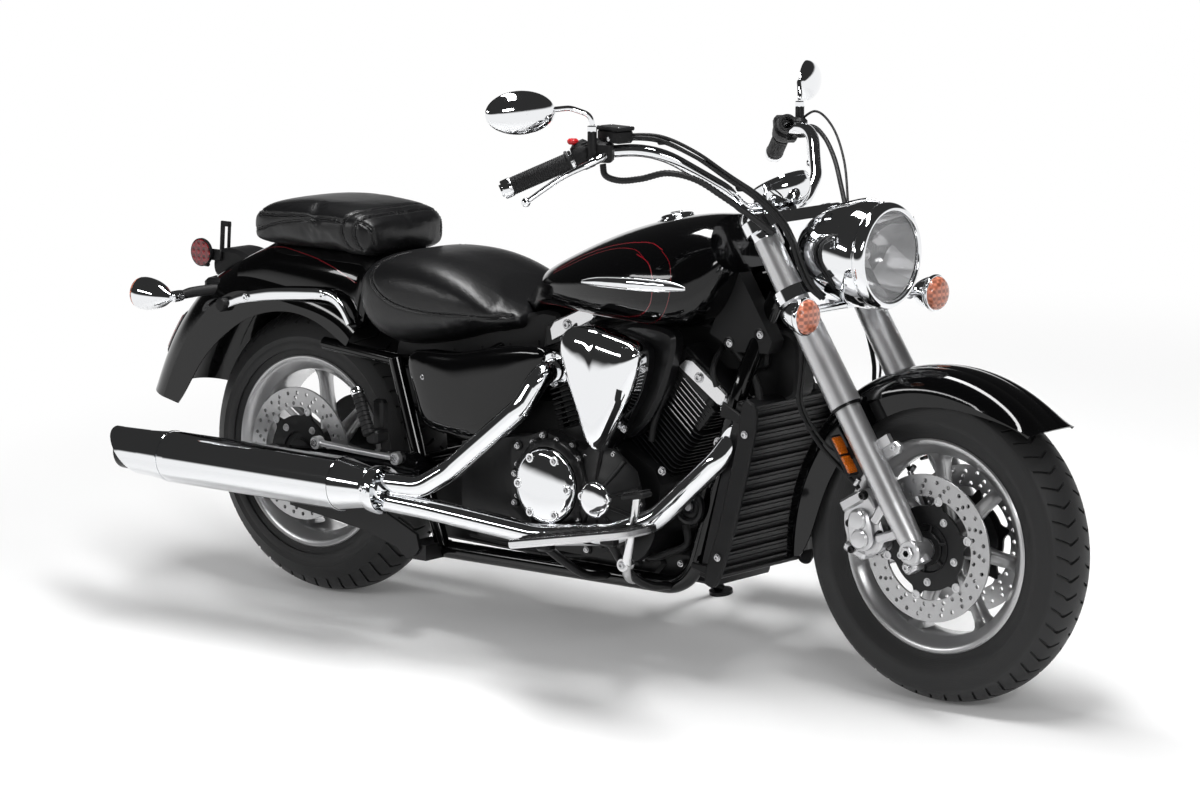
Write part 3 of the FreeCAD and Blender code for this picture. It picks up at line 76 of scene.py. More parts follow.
# Corners nearer than MERGE metres become one. LEAN is the parked machine's lean to its left, PARK_SHIFT moves
# it over the frame's origin, CROWN_RADIUS is the tyres' tread seen along the machine, RAKE is the fork's.
MERGE = 0.00002
LEAN = math.radians(9)
CROWN_RADIUS = 85
PARK_SHIFT = (86, -183)
RAKE = math.radians(32.7)
FRONT_AXLE = Vector((845, 0, 320))
REAR_AXLE = Vector((-845, 0, 322))


def parked_matrix() -> Matrix:
    """Give the matrix from millimetres of the upright machine to metres of the parked one.

    Returns:
        The transform from upright millimetres to parked metres.
    """
    lift = CROWN_RADIUS * (1 - math.cos(LEAN))
    metres = Matrix.Diagonal((0.001, 0.001, 0.001, 1))
    return metres @ Matrix.Translation((*PARK_SHIFT, lift)) @ Matrix.Rotation(-LEAN, 4, "X")


PARKED = parked_matrix()


def fork_matrix() -> Matrix:
    """Give the matrix from fork space (forward, left, up the leg from the axle) to the upright machine."""
    return Matrix.Translation(FRONT_AXLE) @ Matrix.Rotation(-RAKE, 4, "Y")


FORK = fork_matrix()
ACROSS = Matrix.Rotation(math.radians(90), 4, "X")
ALONG = Matrix.Rotation(math.radians(90), 4, "Y")


def moved(x: float, y: float, z: float, turn: Matrix | None = None) -> Matrix:
    """Give a placement at a point, with an optional turn before it."""
    shift = Matrix.Translation((x, y, z))
    return shift @ turn if turn else shift


def turned(axis: str, degrees: float) -> Matrix:
    """Give a turn about one axis."""
    return Matrix.Rotation(math.radians(degrees), 4, axis)


def facing(direction: Vector) -> Matrix:
    """Give the turn that points local Z along a direction."""
    return Vector(direction).to_track_quat("Z", "Y").to_matrix().to_4x4()


def heading(line: Sequence[Vector], at: int) -> Vector:
    """Give the direction of a line at one of its points."""
    return (line[min(at + 1, len(line) - 1)] - line[max(at - 1, 0)]).normalized()


def rounded(share: float, power: float) -> float:
    """Raise a share of -1 to 1 to a power and keep its sign."""
    return math.copysign(abs(share) ** power, share)


def linked(name: str, data: bpy.types.ID) -> bpy.types.Object:
    """Put new data into the scene.

    Args:
        name: The object's name.
        data: Its mesh, curve, camera or lamp.

    Returns:
        The object.
    """
    thing = bpy.data.objects.new(name, data)
    bpy.context.scene.collection.objects.link(thing)
    return thing


def meshed(name: str, mesh: bmesh.types.BMesh) -> bpy.types.Mesh:
    """Turn faces in the making into mesh data and free them.

    Args:
        name: The mesh's name.
        mesh: The faces.

    Returns:
        The mesh.
    """
    data = bpy.data.meshes.new(name)
    mesh.to_mesh(data)
    mesh.free()
    return data


def smooth_path(points: Sequence[Point], steps: int = 8) -> list[Vector]:
    """Run a centripetal spline through points.

    Args:
        points: The points to pass through.
        steps: How many parts each span is cut into.

    Returns:
        The points of the smooth line.
    """
    p = [Vector(q) for q in points]
    if len(p) < 3:
        return p
    ends = [p[0] * 2 - p[1], *p, p[-1] * 2 - p[-2]]
    line = []
    for i in range(1, len(ends) - 2):
        a, b, c, d = ends[i - 1:i + 3]
        t1 = max((b - a).length, 1e-6) ** 0.5
        t2 = t1 + max((c - b).length, 1e-6) ** 0.5
        t3 = t2 + max((d - c).length, 1e-6) ** 0.5
        for k in range(steps):
            t = t1 + (t2 - t1) * k / steps
            ab = a.lerp(b, t / t1)
            bc = b.lerp(c, (t - t1) / (t2 - t1))
            cd = c.lerp(d, (t - t2) / (t3 - t2))
            line.append(ab.lerp(bc, t / t2).lerp(bc.lerp(cd, (t - t1) / (t3 - t1)), (t - t1) / (t2 - t1)))
    return [*line, p[-1]]


def smooth_outline(points: Sequence[Flat], steps: int = 6) -> list[Flat]:
    """Run a closed smooth line through points of a flat outline.

    Args:
        points: The corners to pass through.
        steps: How many parts each span is cut into.

    Returns:
        The closed smooth outline.
    """
    count = len(points)
    looped = [(*points[(i - 2) % count], 0) for i in range(count + 4)]
    line = smooth_path(looped, steps)[2 * steps:(count + 2) * steps]
    return [(q.x, q.y) for q in line]


def bent(points: Sequence[Flat], steps: int = 5) -> list[Flat]:
    """Smooth an open profile of (radius, height) pairs."""
    return [(q.x, q.y) for q in smooth_path([(r, h, 0) for r, h in points], steps)]


class Sock:
    """A shader socket that Python's operators work on."""

    def __init__(self, graph: Graph, out: bpy.types.NodeSocket) -> None:
        """Wrap an output of a node of a graph."""
        self.graph = graph
        self.out = out

    def _math(self, operation: str, *values: Sock | float) -> Sock:
        """Add a Math node."""
        return self.graph.node("ShaderNodeMath", dict(operation=operation), *values)

    def __add__(self, other: Sock | float) -> Sock:
        """Add."""
        return self._math("ADD", self, other)

    __radd__ = __add__

    def __sub__(self, other: Sock | float) -> Sock:
        """Take away."""
        return self._math("SUBTRACT", self, other)

    def __rsub__(self, other: Sock | float) -> Sock:
        """Take this from a number."""
        return self._math("SUBTRACT", other, self)

    def __mul__(self, other: Sock | float) -> Sock:
        """Multiply."""
        return self._math("MULTIPLY", self, other)

    __rmul__ = __mul__

    def sin(self) -> Sock:
        """Give the sine."""
        return self._math("SINE", self)

    def root(self) -> Sock:
        """Give the square root."""
        return self._math("SQRT", self)

    def high(self, other: Sock | float) -> Sock:
        """Give the larger of two."""
        return self._math("MAXIMUM", self, other)

    def step(self, low: float, top: float) -> Sock:
        """Rise smoothly from 0 at low to 1 at top."""
        return self.graph.node("ShaderNodeMapRange", dict(interpolation_type="SMOOTHSTEP"), self, low, top,
                               0, 1)


class Graph:
    """A material's node tree with one Principled shader."""

    def __init__(self, name: str) -> None:
        """Start an empty material.

        Args:
            name: The material's name.
        """
        self.material = bpy.data.materials.new(name)
        self.material.use_nodes = True
        self.tree = self.material.node_tree
        self.shader = self.tree.nodes["Principled BSDF"]
        self.output = self.tree.nodes["Material Output"]

    def node(self, kind: str, settings: dict[str, object], *values: object, out: int | str = 0,
             **named: object) -> Sock:
        """Add a node.

        Args:
            kind: The node's type.
            settings: Its own settings, set before its sockets.
            values: Values or links of its sockets, in order.
            out: Which output is wanted.
            named: Values or links by socket name, with underscores for spaces.

        Returns:
            The output, wrapped.
        """
        made = self.tree.nodes.new(kind)
        for key, value in settings.items():
            setattr(made, key, value)
        pairs = [*zip(made.inputs, values),
                 *((made.inputs[k.replace("_", " ")], v) for k, v in named.items())]
        for socket, value in pairs:
            self.feed(socket, value)
        return Sock(self, made.outputs[out])

    def feed(self, socket: bpy.types.NodeSocket, value: object) -> None:
        """Set a socket to a value or link it.

        Args:
            socket: The input.
            value: A socket, number, colour or None.
        """
        if isinstance(value, Sock):
            self.tree.links.new(value.out, socket)
        elif value is not None:
            if isinstance(value, tuple) and len(value) == 3 and socket.type == "RGBA":
                value = (*value, 1)
            socket.default_value = value

    def place(self, origin: Point = (0.0, 0.0, 0.0)) -> Sock:
        """Give positions in millimetres of the upright machine, from an origin.

        Args:
            origin: The point of the upright machine that becomes zero.

        Returns:
            A vector of local millimetres.
        """
        space = self.node("ShaderNodeTexCoord", {}, out="Object")
        scaled = self.node("ShaderNodeVectorMath", dict(operation="SCALE"), space, Scale=1000)
        centre = PARKED @ Vector(origin) * 1000
        local = self.node("ShaderNodeVectorMath", dict(operation="SUBTRACT"), scaled, tuple(centre))
        return self.node("ShaderNodeMapping", {}, local, Rotation=(LEAN, 0, 0))

    def axes(self, vector: Sock) -> tuple[Sock, Sock, Sock]:
        """Split a vector."""
        split = self.node("ShaderNodeSeparateXYZ", {}, vector).out.node
        return tuple(Sock(self, out) for out in split.outputs)

    def noise(self, vector: Sock, size: float, detail: float = 3.0, rough: float = 0.5) -> Sock:
        """Give noise whose grains are about size millimetres wide."""
        return self.node("ShaderNodeTexNoise", {}, Vector=vector, Scale=1 / size, Detail=detail,
                         Roughness=rough)

    def mix(self, amount: Sock | float, low: object, high: object) -> Sock:
        """Mix two colours.

        Args:
            amount: 0 gives low, 1 gives high.
            low: One colour.
            high: The other colour.

        Returns:
            The mixed colour.
        """
        made = self.tree.nodes.new("ShaderNodeMix")
        made.data_type = "RGBA"
        for index, value in ((0, amount), (6, low), (7, high)):
            self.feed(made.inputs[index], value)
        return Sock(self, made.outputs[2])

    def bump(self, height: Sock, depth: float, under: Sock | None = None) -> Sock:
        """Give a normal from a height of 0 to 1 that is depth millimetres deep."""
        return self.node("ShaderNodeBump", {}, Strength=1, Distance=depth * 0.001, Height=height,
                         Normal=under)

    def set(self, **named: object) -> None:
        """Set sockets of the Principled shader by name, with underscores for spaces."""
        for key, value in named.items():
            self.feed(self.shader.inputs[key.replace("_", " ")], value)


@dataclass(frozen=True)
class Finish:
    """A surface finish: colour with a slow variation, roughness that varies, and a fine grain."""

    name: str
    color: Point
    metallic: float = 0.0
    roughness: float = 0.5
    mottle: float = 0.0
    mottle_size: float = 60.0
    rough_spread: float = 0.06
    grain: float = 0.0
    grain_size: float = 1.0
    coat: float = 0.0
    specular: float = 0.5

    def build(self, graph: Graph) -> None:
        """Add the finish's nodes.

        Args:
            graph: The material's nodes.
        """
        here = graph.place()
        slow = graph.noise(here, self.mottle_size)
        dim = tuple(c * (1 - self.mottle) for c in self.color)
        lit = tuple(min(1, c * (1 + self.mottle)) for c in self.color)
        graph.set(Base_Color=graph.mix(slow, dim, lit), Metallic=self.metallic,
                  Specular_IOR_Level=self.specular, Roughness=slow * (2 * self.rough_spread)
                  + (self.roughness - self.rough_spread), Coat_Weight=self.coat, Coat_Roughness=0.02)
        if self.grain:
            graph.set(Normal=graph.bump(graph.noise(here, self.grain_size, 2), self.grain))

    def material(self) -> bpy.types.Material:
        """Give the Blender material, made once.

        Returns:
            The material, made on the first call.
        """
        found = bpy.data.materials.get(self.name)
        if found:
            return found
        graph = Graph(self.name)
        self.build(graph)
        return graph.material


@dataclass(frozen=True)
class Leather(Finish):
    """Smooth seat leather with a fine pebble grain."""

    def build(self, graph: Graph) -> None:
        """Add the grain under the plain finish.

        Args:
            graph: The material's nodes.
        """
        super().build(graph)
        here = graph.place()
        cells = graph.node("ShaderNodeTexVoronoi", dict(feature="SMOOTH_F1"), Vector=here, Scale=1 / 2.6)
        creases = graph.noise(here, 26, 6, 0.6)
        first = graph.bump(cells, 0.22)
        graph.set(Normal=graph.bump(creases, 0.9, first))


@dataclass(frozen=True)
class TyreRubber(Finish):
    """Tyre rubber, a little darker on its walls than on its tread."""

    axle: Point = (0.0, 0.0, 0.0)
    wall_radius: float = 290.0

    def build(self, graph: Graph) -> None:
        """Tell the walls from the tread by radius, with fine rings on the walls.

        Args:
            graph: The material's nodes.
        """
        here = graph.place(self.axle)
        x, _, z = graph.axes(here)
        radius = (x * x + z * z).root()
        tread = radius.step(self.wall_radius - 6, self.wall_radius + 6)
        slow = graph.noise(here, self.mottle_size)
        wall = tuple(c * 0.75 for c in self.color)
        base = graph.mix(tread, wall, self.color)
        graph.set(Base_Color=graph.mix(slow * 0.3, base, wall), Roughness=slow * 0.14 + 0.44,
                  Specular_IOR_Level=self.specular)
        rings = (radius * 1.9).sin() * 0.5 + 0.5
        grain = graph.noise(here, 0.8, 2)
        graph.set(Normal=graph.bump(rings * (1 - tread) * 0.6 + grain * 0.5, 0.25))


@dataclass(frozen=True)
class Turned(Finish):
    """Metal turned or ground about an axle, with fine rings in its polish."""

    axle: Point = (0.0, 0.0, 0.0)

    def build(self, graph: Graph) -> None:
        """Add the rings to the plain finish.

        Args:
            graph: The material's nodes.
        """
        super().build(graph)
        here = graph.place(self.axle)
        x, _, z = graph.axes(here)
        radius = (x * x + z * z).root()
        rings = graph.node("ShaderNodeTexNoise", dict(noise_dimensions="1D"), W=radius * 2.2, Scale=1,
                           Detail=2)
        graph.set(Normal=graph.bump(rings, 0.05), Roughness=rings * 0.16 + (self.roughness - 0.08))


@dataclass(frozen=True)
class Clear(Finish):
    """Thin clear lens: a faint white veil over what lies behind, whose pale tone is a painted sheen standing
    for the glass's reflection.
    """

    # veil is the alpha of the white layer, a painted sheen on the glass.
    veil: float = 0.10

    def build(self, graph: Graph) -> None:
        """Let what lies behind show under a faint white veil, a painted sheen, with a faint unevenness in the
        veil and the gloss.

        Args:
            graph: The material's nodes.
        """
        slow = graph.noise(graph.place(), self.mottle_size)
        # The white base colour at low alpha is a painted sheen, not a tint of the glass.
        graph.set(Base_Color=self.color, Alpha=slow * 0.04 + self.veil,
                  Roughness=slow * 0.02 + self.roughness)


@dataclass(frozen=True)
class Glow(Finish):
    """A lens with a faint painted glow of its own colour and painted prism shade, used for reflectors and
    unlit coloured lamps.
    """

    cell: float = 4.0
    deep: float = 0.55

    def build(self, graph: Graph) -> None:
        """Add small prisms under a clear face: their light and dark are painted shade in the colour, and a
        faint emission is a painted glow.

        Args:
            graph: The material's nodes.
        """
        here = graph.place()
        x, y, z = graph.axes(here)
        turn = math.tau / self.cell
        prisms = (x * turn).sin() * (z * turn).sin() + (y * turn).sin() * (z * turn).sin()
        # Painted shade: the prisms' light and dark are mixed into the base colour.
        shade = prisms * 0.6 + 0.5
        dim = tuple(c * self.deep for c in self.color)
        # The emission is a painted glow; the lens is not lit.
        graph.set(Base_Color=graph.mix(shade, dim, self.color), Roughness=0.12, Coat_Weight=0.6,
                  Coat_Roughness=0.02, Emission_Color=self.color, Emission_Strength=0.04,
                  Normal=graph.bump(shade, 0.4))


@dataclass(frozen=True)
class Faceted(Finish):
    """A lamp reflector of tall facets, each a random shade from dark to its full colour: a painted reflection
    of how each facet catches the light.
    """

    facet: float = 17.0

    def build(self, graph: Graph) -> None:
        """Add the facets to the plain finish, with each facet's brightness painted into the colour.

        Args:
            graph: The material's nodes.
        """
        super().build(graph)
        here = graph.place()
        x, y, z = graph.axes(here)
        flat = graph.node("ShaderNodeCombineXYZ", {}, X=x * 0.15, Y=y, Z=z * 0.42)
        cells = graph.node("ShaderNodeTexVoronoi", dict(feature="F1"), Vector=flat, Scale=1 / self.facet,
                           out="Color")
        shade, tilt, _ = graph.axes(cells)
        # Painted reflection: each facet's random value darkens or keeps the base colour.
        dark = tuple(c * 0.12 for c in self.color)
        level = shade.step(0.15, 0.75)
        graph.set(Base_Color=graph.mix(level, dark, self.color), Normal=graph.bump(tilt, 1.6))


class Kind(Enum):
    """The finishes of the machine."""

    CHROME = Finish("chrome_plate", (0.86, 0.87, 0.885), 1, 0.045, 0.02, 300, 0.012)
    BLACK_PAINT = Finish("gloss_black_paint", (0.0015, 0.0015, 0.0017), 0, 0.1, 0.1, 200, 0.01, coat=0.5,
                         specular=0.15)
    BLACK_ENAMEL = Finish("satin_black_enamel", (0.005, 0.005, 0.0055), 0, 0.3, 0.2, 40, 0.06, 0.05, 1.2,
                          specular=0.25)
    BLACK_PLASTIC = Finish("matte_black_plastic", (0.006, 0.006, 0.0065), 0, 0.5, 0.2, 50, 0.05, 0.06, 0.7,
                           specular=0.25)
    CASTING = Finish("cast_black_metal", (0.006, 0.006, 0.0065), 0, 0.38, 0.25, 30, 0.07, 0.10, 0.9,
                     specular=0.3)
    SILVER = Finish("satin_silver_metal", (0.62, 0.62, 0.63), 0.9, 0.36, 0.05, 80, 0.04, 0.02, 0.5)
    WHEEL_SILVER = Finish("wheel_silver_paint", (0.50, 0.50, 0.505), 0.85, 0.32, 0.05, 80, 0.03, 0.02, 0.6,
                          0.6)
    STEEL = Finish("bare_steel", (0.55, 0.55, 0.56), 1, 0.25, 0.06, 30, 0.05)
    LEATHER = Leather("black_seat_leather", (0.0055, 0.0055, 0.006), 0, 0.34, 0.15, 90, 0.05, specular=0.42)
    THREAD = Finish("seat_thread", (0.03, 0.03, 0.031), 0, 0.6, 0.1, 10, 0.05, 0.05, 0.4)
    RUBBER = Finish("soft_black_rubber", (0.009, 0.009, 0.0095), 0, 0.55, 0.15, 20, 0.08, 0.05, 0.6,
                    specular=0.3)
    HOSE = Finish("ribbed_hose_rubber", (0.012, 0.012, 0.0125), 0, 0.45, 0.1, 20, 0.06, 0.03, 0.8,
                  specular=0.3)
    FRONT_TYRE = TyreRubber("front_tyre_rubber", (0.024, 0.024, 0.0245), specular=0.3, axle=tuple(FRONT_AXLE))
    REAR_TYRE = TyreRubber("rear_tyre_rubber", (0.024, 0.024, 0.0245), specular=0.3, axle=tuple(REAR_AXLE))
    FRONT_DISC = Turned("front_disc_steel", (0.46, 0.46, 0.465), 1, 0.32, axle=tuple(FRONT_AXLE))
    REAR_DISC = Turned("rear_disc_steel", (0.46, 0.46, 0.465), 1, 0.32, axle=tuple(REAR_AXLE))
    FINS = Finish("cooling_fins", (0.006, 0.006, 0.0065), 0, 0.45, 0, 30, 0, specular=0.3)
    # The reflector is only partly metallic, so its bright colour also shows as diffuse light: a painted
    # reflection standing for the chrome bowl's bright reflections.
    REFLECTOR = Faceted("lamp_reflector", (0.9, 0.9, 0.91), 0.7, 0.12, 0.02, 60, 0.04)
    MIRROR = Finish("mirror_glass", (0.82, 0.85, 0.88), 1, 0.02, 0.01, 100, 0.005)
    BRIGHT = Finish("polished_aluminium", (0.74, 0.74, 0.75), 1, 0.2, 0.05, 60, 0.05, 0.015, 0.6)
    GLASS = Clear("lamp_glass", (0.97, 0.98, 1), 0, 0.015)
    # These lenses get a faint painted glow and painted prism shade from the Glow finish.
    SIGNAL = Glow("signal_prisms", (0.75, 0.26, 0.16), 0, 0.15, cell=14, deep=0.35)
    AMBER = Glow("amber_reflector", (0.50, 0.11, 0.006), 0, 0.15, cell=8)
    RED = Glow("red_prisms", (0.26, 0.004, 0.010), 0, 0.15, cell=16, deep=0.2)
    RED_PLASTIC = Finish("red_switch_plastic", (0.55, 0.01, 0.015), 0, 0.35, 0.05, 20, 0.04)
    PINSTRIPE = Finish("dark_red_stripe", (0.16, 0.003, 0.008), 0, 0.2, 0.05, 60, 0.02, coat=1)

    def material(self) -> bpy.types.Material:
        """Give the finish's Blender material."""
        return self.value.material()


CAD_FINISHES: dict[Kind, str] = {
    Kind.FRONT_TYRE: "front_tyre",
    Kind.REAR_TYRE: "rear_tyre",
    Kind.WHEEL_SILVER: "front_wheel rear_wheel",
    Kind.FRONT_DISC: "front_discs",
    Kind.REAR_DISC: "rear_disc",
    Kind.CASTING: "rear_pulley crankcase rocker_covers radiator muffler_bracket",
    Kind.SILVER: "fork_sliders fork_covers front_calipers floorboards foot_controls rear_brake",
    Kind.CHROME: ("triple_clamps headlight_shell signal_bar handlebar levers mirrors instrument_pod "
                  "right_engine_covers left_engine_covers air_cleaner_cover muffler exhaust_pipes "
                  "fender_rails rear_signals"),
    Kind.STEEL: "front_axle rear_axle",
    Kind.GLASS: "headlight_lens",
    Kind.SIGNAL: "front_signal_lenses",
    Kind.RUBBER: "grips passenger_pegs drive_belt",
    Kind.BLACK_PLASTIC: "switch_housings radiator_shrouds neck_covers",
    Kind.BLACK_PAINT: "front_fender rear_fender frame_cradles frame_spine swingarm fuel_tank side_covers",
    Kind.AMBER: "fork_reflectors",
    Kind.BLACK_ENAMEL: "side_stand horn",
    Kind.LEATHER: "rider_seat passenger_seat",
    Kind.FINS: "front_cylinder rear_cylinder",
    Kind.RED: "tail_lamp",
}


class Form:
    """A piece in the making, in millimetres of the upright machine."""

    def __init__(self, name: str) -> None:
        """Start an empty piece.

        Args:
            name: The piece's name.
        """
        self.name = name
        self.mesh = bmesh.new()
        self.kinds: list[Kind] = []
        self.slot = 0

    def use(self, kind: Kind) -> Form:
        """Give the faces made from here on a finish.

        Args:
            kind: The finish.

        Returns:
            The piece itself.
        """
        if kind not in self.kinds:
            self.kinds.append(kind)
        self.slot = self.kinds.index(kind)
        return self

    def face(self, corners: Sequence[bmesh.types.BMVert]) -> None:
        """Add a face of distinct corners.

        Args:
            corners: The corners in order.
        """
        unique = list(dict.fromkeys(corners))
        if len(unique) > 2 and not self.mesh.faces.get(unique):
            self.mesh.faces.new(unique).material_index = self.slot

    def rings(self, rings: Sequence[Sequence[Vector]], loop: bool = False, caps: bool = True,
              wrap: bool = True, place: Matrix | None = None) -> Form:
        """Join rings of the same number of points into a skin.

        Args:
            rings: The rings in order.
            loop: Whether the last ring joins the first.
            caps: Whether the ends are closed.
            wrap: Whether each ring closes on itself.
            place: Where it goes.

        Returns:
            The piece itself.
        """
        put = place or Matrix.Identity(4)
        rows = [[self.mesh.verts.new(put @ Vector(q)) for q in ring] for ring in rings]
        spans = len(rows) if loop else len(rows) - 1
        for i in range(spans):
            a, b = rows[i], rows[(i + 1) % len(rows)]
            count = len(a)
            for k in range(count if wrap else count - 1):
                n = (k + 1) % count
                self.face([a[k], a[n], b[n], b[k]])
        if caps and not loop:
            self.face(list(reversed(rows[0])))
            self.face(rows[-1])
        return self

    def lathe(self, profile: Sequence[Flat], place: Matrix | None = None, steps: int = 48,
              loop: bool = False) -> Form:
        """Turn a profile of (radius, height) about local Z.

        Args:
            profile: Points of (radius, height).
            place: Where local zero and local Z go.
            steps: How many sides a turn has.
            loop: Whether the profile closes on itself.

        Returns:
            The piece itself.
        """
        put = place or Matrix.Identity(4)
        columns = []
        for radius, height in profile:
            if radius < 1e-4:
                columns.append([self.mesh.verts.new(put @ Vector((0, 0, height)))] * steps)
                continue
            angles = (math.tau * k / steps for k in range(steps))
            columns.append([self.mesh.verts.new(put @ Vector((radius * math.cos(a), radius * math.sin(a),
                                                              height))) for a in angles])
        spans = len(columns) if loop else len(columns) - 1
        for i in range(spans):
            a, b = columns[i], columns[(i + 1) % len(columns)]
            for k in range(steps):
                n = (k + 1) % steps
                self.face([a[k], a[n], b[n], b[k]])
        if not loop:
            for end in (columns[0], columns[-1]):
                self.face(end)
        return self

    def plate(self, outline: Sequence[Flat], low: float, high: float, place: Matrix | None = None,
              bevel: float = 0.0) -> Form:
        """Make a plate from a flat outline in local XY, between two heights, with eased edges.

        Args:
            outline: Its corners.
            low: The lower height.
            high: The upper height.
            place: Where local zero goes.
            bevel: The width of its slanted edge.

        Returns:
            The piece itself.
        """
        centre = Vector((sum(p[0] for p in outline), sum(p[1] for p in outline), 0)) / len(outline)

        def ring(height: float, inset: float) -> list[Vector]:
            """Give the outline at a height.

            Args:
                height: The height.
                inset: How far it is drawn in.

            Returns:
                The ring's points.
            """
            points = []
            for i, (x, y) in enumerate(outline):
                before, after = Vector(outline[i - 1]), Vector(outline[(i + 1) % len(outline)])
                run = (after - before).normalized()
                side = Vector((-run.y, run.x)) * inset
                if side.dot(Vector((x, y)) - centre.xy) > 0:
                    side = -side
                points.append(Vector((x + side.x, y + side.y, height)))
            return points

        if bevel:
            rows = [ring(low, bevel), ring(low + bevel, 0), ring(high - bevel, 0), ring(high, bevel)]
        else:
            rows = [ring(low, 0), ring(high, 0)]
        return self.rings(rows, place=place)

    def pipe(self, points: Sequence[Point | Vector], radius: float | Sequence[float], sides: int = 14,
             place: Matrix | None = None, steps: int = 8, raw: bool = False) -> Form:
        """Run a round section along a smooth line.

        Args:
            points: The points that the line passes through.
            radius: One radius, or one for each point.
            sides: How many sides the section has.
            place: Where it goes.
            steps: How many parts each span is cut into.
            raw: Whether the points are the line itself.

        Returns:
            The piece itself.
        """
        line = [Vector(q) for q in points] if raw else smooth_path(points, steps)
        spans = len(points) - 1
        rows = []
        frame: Vector | None = None
        for i, here in enumerate(line):
            run = heading(line, i)
            if frame is None:
                frame = run.orthogonal().normalized()
            frame = (frame - run * frame.dot(run)).normalized()
            other = run.cross(frame)
            if isinstance(radius, (int, float)):
                r = float(radius)
            else:
                t = i * spans / max(len(line) - 1, 1)
                k = min(int(t), spans - 1)
                r = radius[k] + (radius[k + 1] - radius[k]) * (t - k)
            angles = (math.tau * k / sides for k in range(sides))
            rows.append([here + frame * (r * math.cos(a)) + other * (r * math.sin(a)) for a in angles])
        return self.rings(rows, place=place)

    def brick(self, size: Point, place: Matrix | None = None, bevel: float = 1.0) -> Form:
        """Make a block with eased edges, centred on its place.

        Args:
            size: Its lengths.
            place: Where its middle goes.
            bevel: The width of its edges.

        Returns:
            The piece itself.
        """
        length, width, height = (d / 2 for d in size)
        outline = [(-length, -width), (length, -width), (length, width), (-length, width)]
        corners = []
        for i, (x, y) in enumerate(outline):
            before, after = Vector(outline[i - 1]), Vector(outline[(i + 1) % 4])
            here = Vector((x, y))
            corners += [tuple(here + (before - here).normalized() * bevel),
                        tuple(here + (after - here).normalized() * bevel)]
        return self.plate(corners, -height, height, place, bevel)

    def bolt(self, place: Matrix, head: float = 7.0, height: float = 5.0, washer: float = 1.5) -> Form:
        """Make a socket-head bolt on a washer, standing on its place along local Z.

        Args:
            place: Its seat, with local Z outward.
            head: Half the head's width.
            height: The head's height.
            washer: How far the washer reaches beyond the head.

        Returns:
            The piece itself.
        """
        self.lathe([(head * 1.35, 0), (head * 1.35, washer), (head * 1.05, washer + 0.3)], place, 20)
        socket = head * 0.5
        self.lathe([(head, washer), (head, height + washer - 0.8), (head - 0.8, height + washer),
                    (socket, height + washer), (socket, height + washer - head * 0.4),
                    (0, height + washer - head * 0.4)], place, 18)
        return self

    def mirror(self) -> Form:
        """Add the same piece on the other side of the machine.

        Returns:
            The piece itself.
        """
        copy = bmesh.ops.duplicate(self.mesh, geom=[*self.mesh.verts, *self.mesh.edges, *self.mesh.faces])
        fresh = [g for g in copy["geom"] if isinstance(g, bmesh.types.BMVert)]
        for vert in fresh:
            vert.co.y = -vert.co.y
        bmesh.ops.reverse_faces(self.mesh, faces=[g for g in copy["geom"]
                                                  if isinstance(g, bmesh.types.BMFace)])
        return self

    def done(self, body: str, slot: str, replaces: Sequence[str] = (), angle: float = 32.0,
             fresh_normals: bool = True) -> bpy.types.Object:
        """Turn the piece into a parked Blender object that rides on a body.

        Args:
            body: The body that carries it.
            slot: The record's material slot.
            replaces: CAD nodes that it stands for.
            angle: Edges sharper than this many degrees stay sharp.
            fresh_normals: Whether all faces are turned outwards.

        Returns:
            The object.
        """
        self.mesh.transform(PARKED)
        bmesh.ops.remove_doubles(self.mesh, verts=self.mesh.verts, dist=MERGE)
        if fresh_normals:
            bmesh.ops.recalc_face_normals(self.mesh, faces=self.mesh.faces)
        data = meshed(self.name, self.mesh)
        for kind in self.kinds:
            data.materials.append(kind.material())
        data.polygons.foreach_set("use_smooth", [True] * len(data.polygons))
        data.set_sharp_from_angle(angle=math.radians(angle))
        return carried(linked(self.name, data), body, slot, replaces)


def carried(thing: bpy.types.Object, body: str, slot: str, replaces: Sequence[str] = ()) -> bpy.types.Object:
    """Make a piece ride on a body and hide the nodes that it stands for.

    Args:
        thing: The object.
        body: The body that carries it.
        slot: The record's material slot; not used.
        replaces: The CAD nodes that it stands for.

    Returns:
        The object.
    """
    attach(thing, body)
    if replaces:
        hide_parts(*replaces)
    LOG.info("%s rides on %s, %d faces", thing.name, body, len(thing.data.polygons))
    return thing


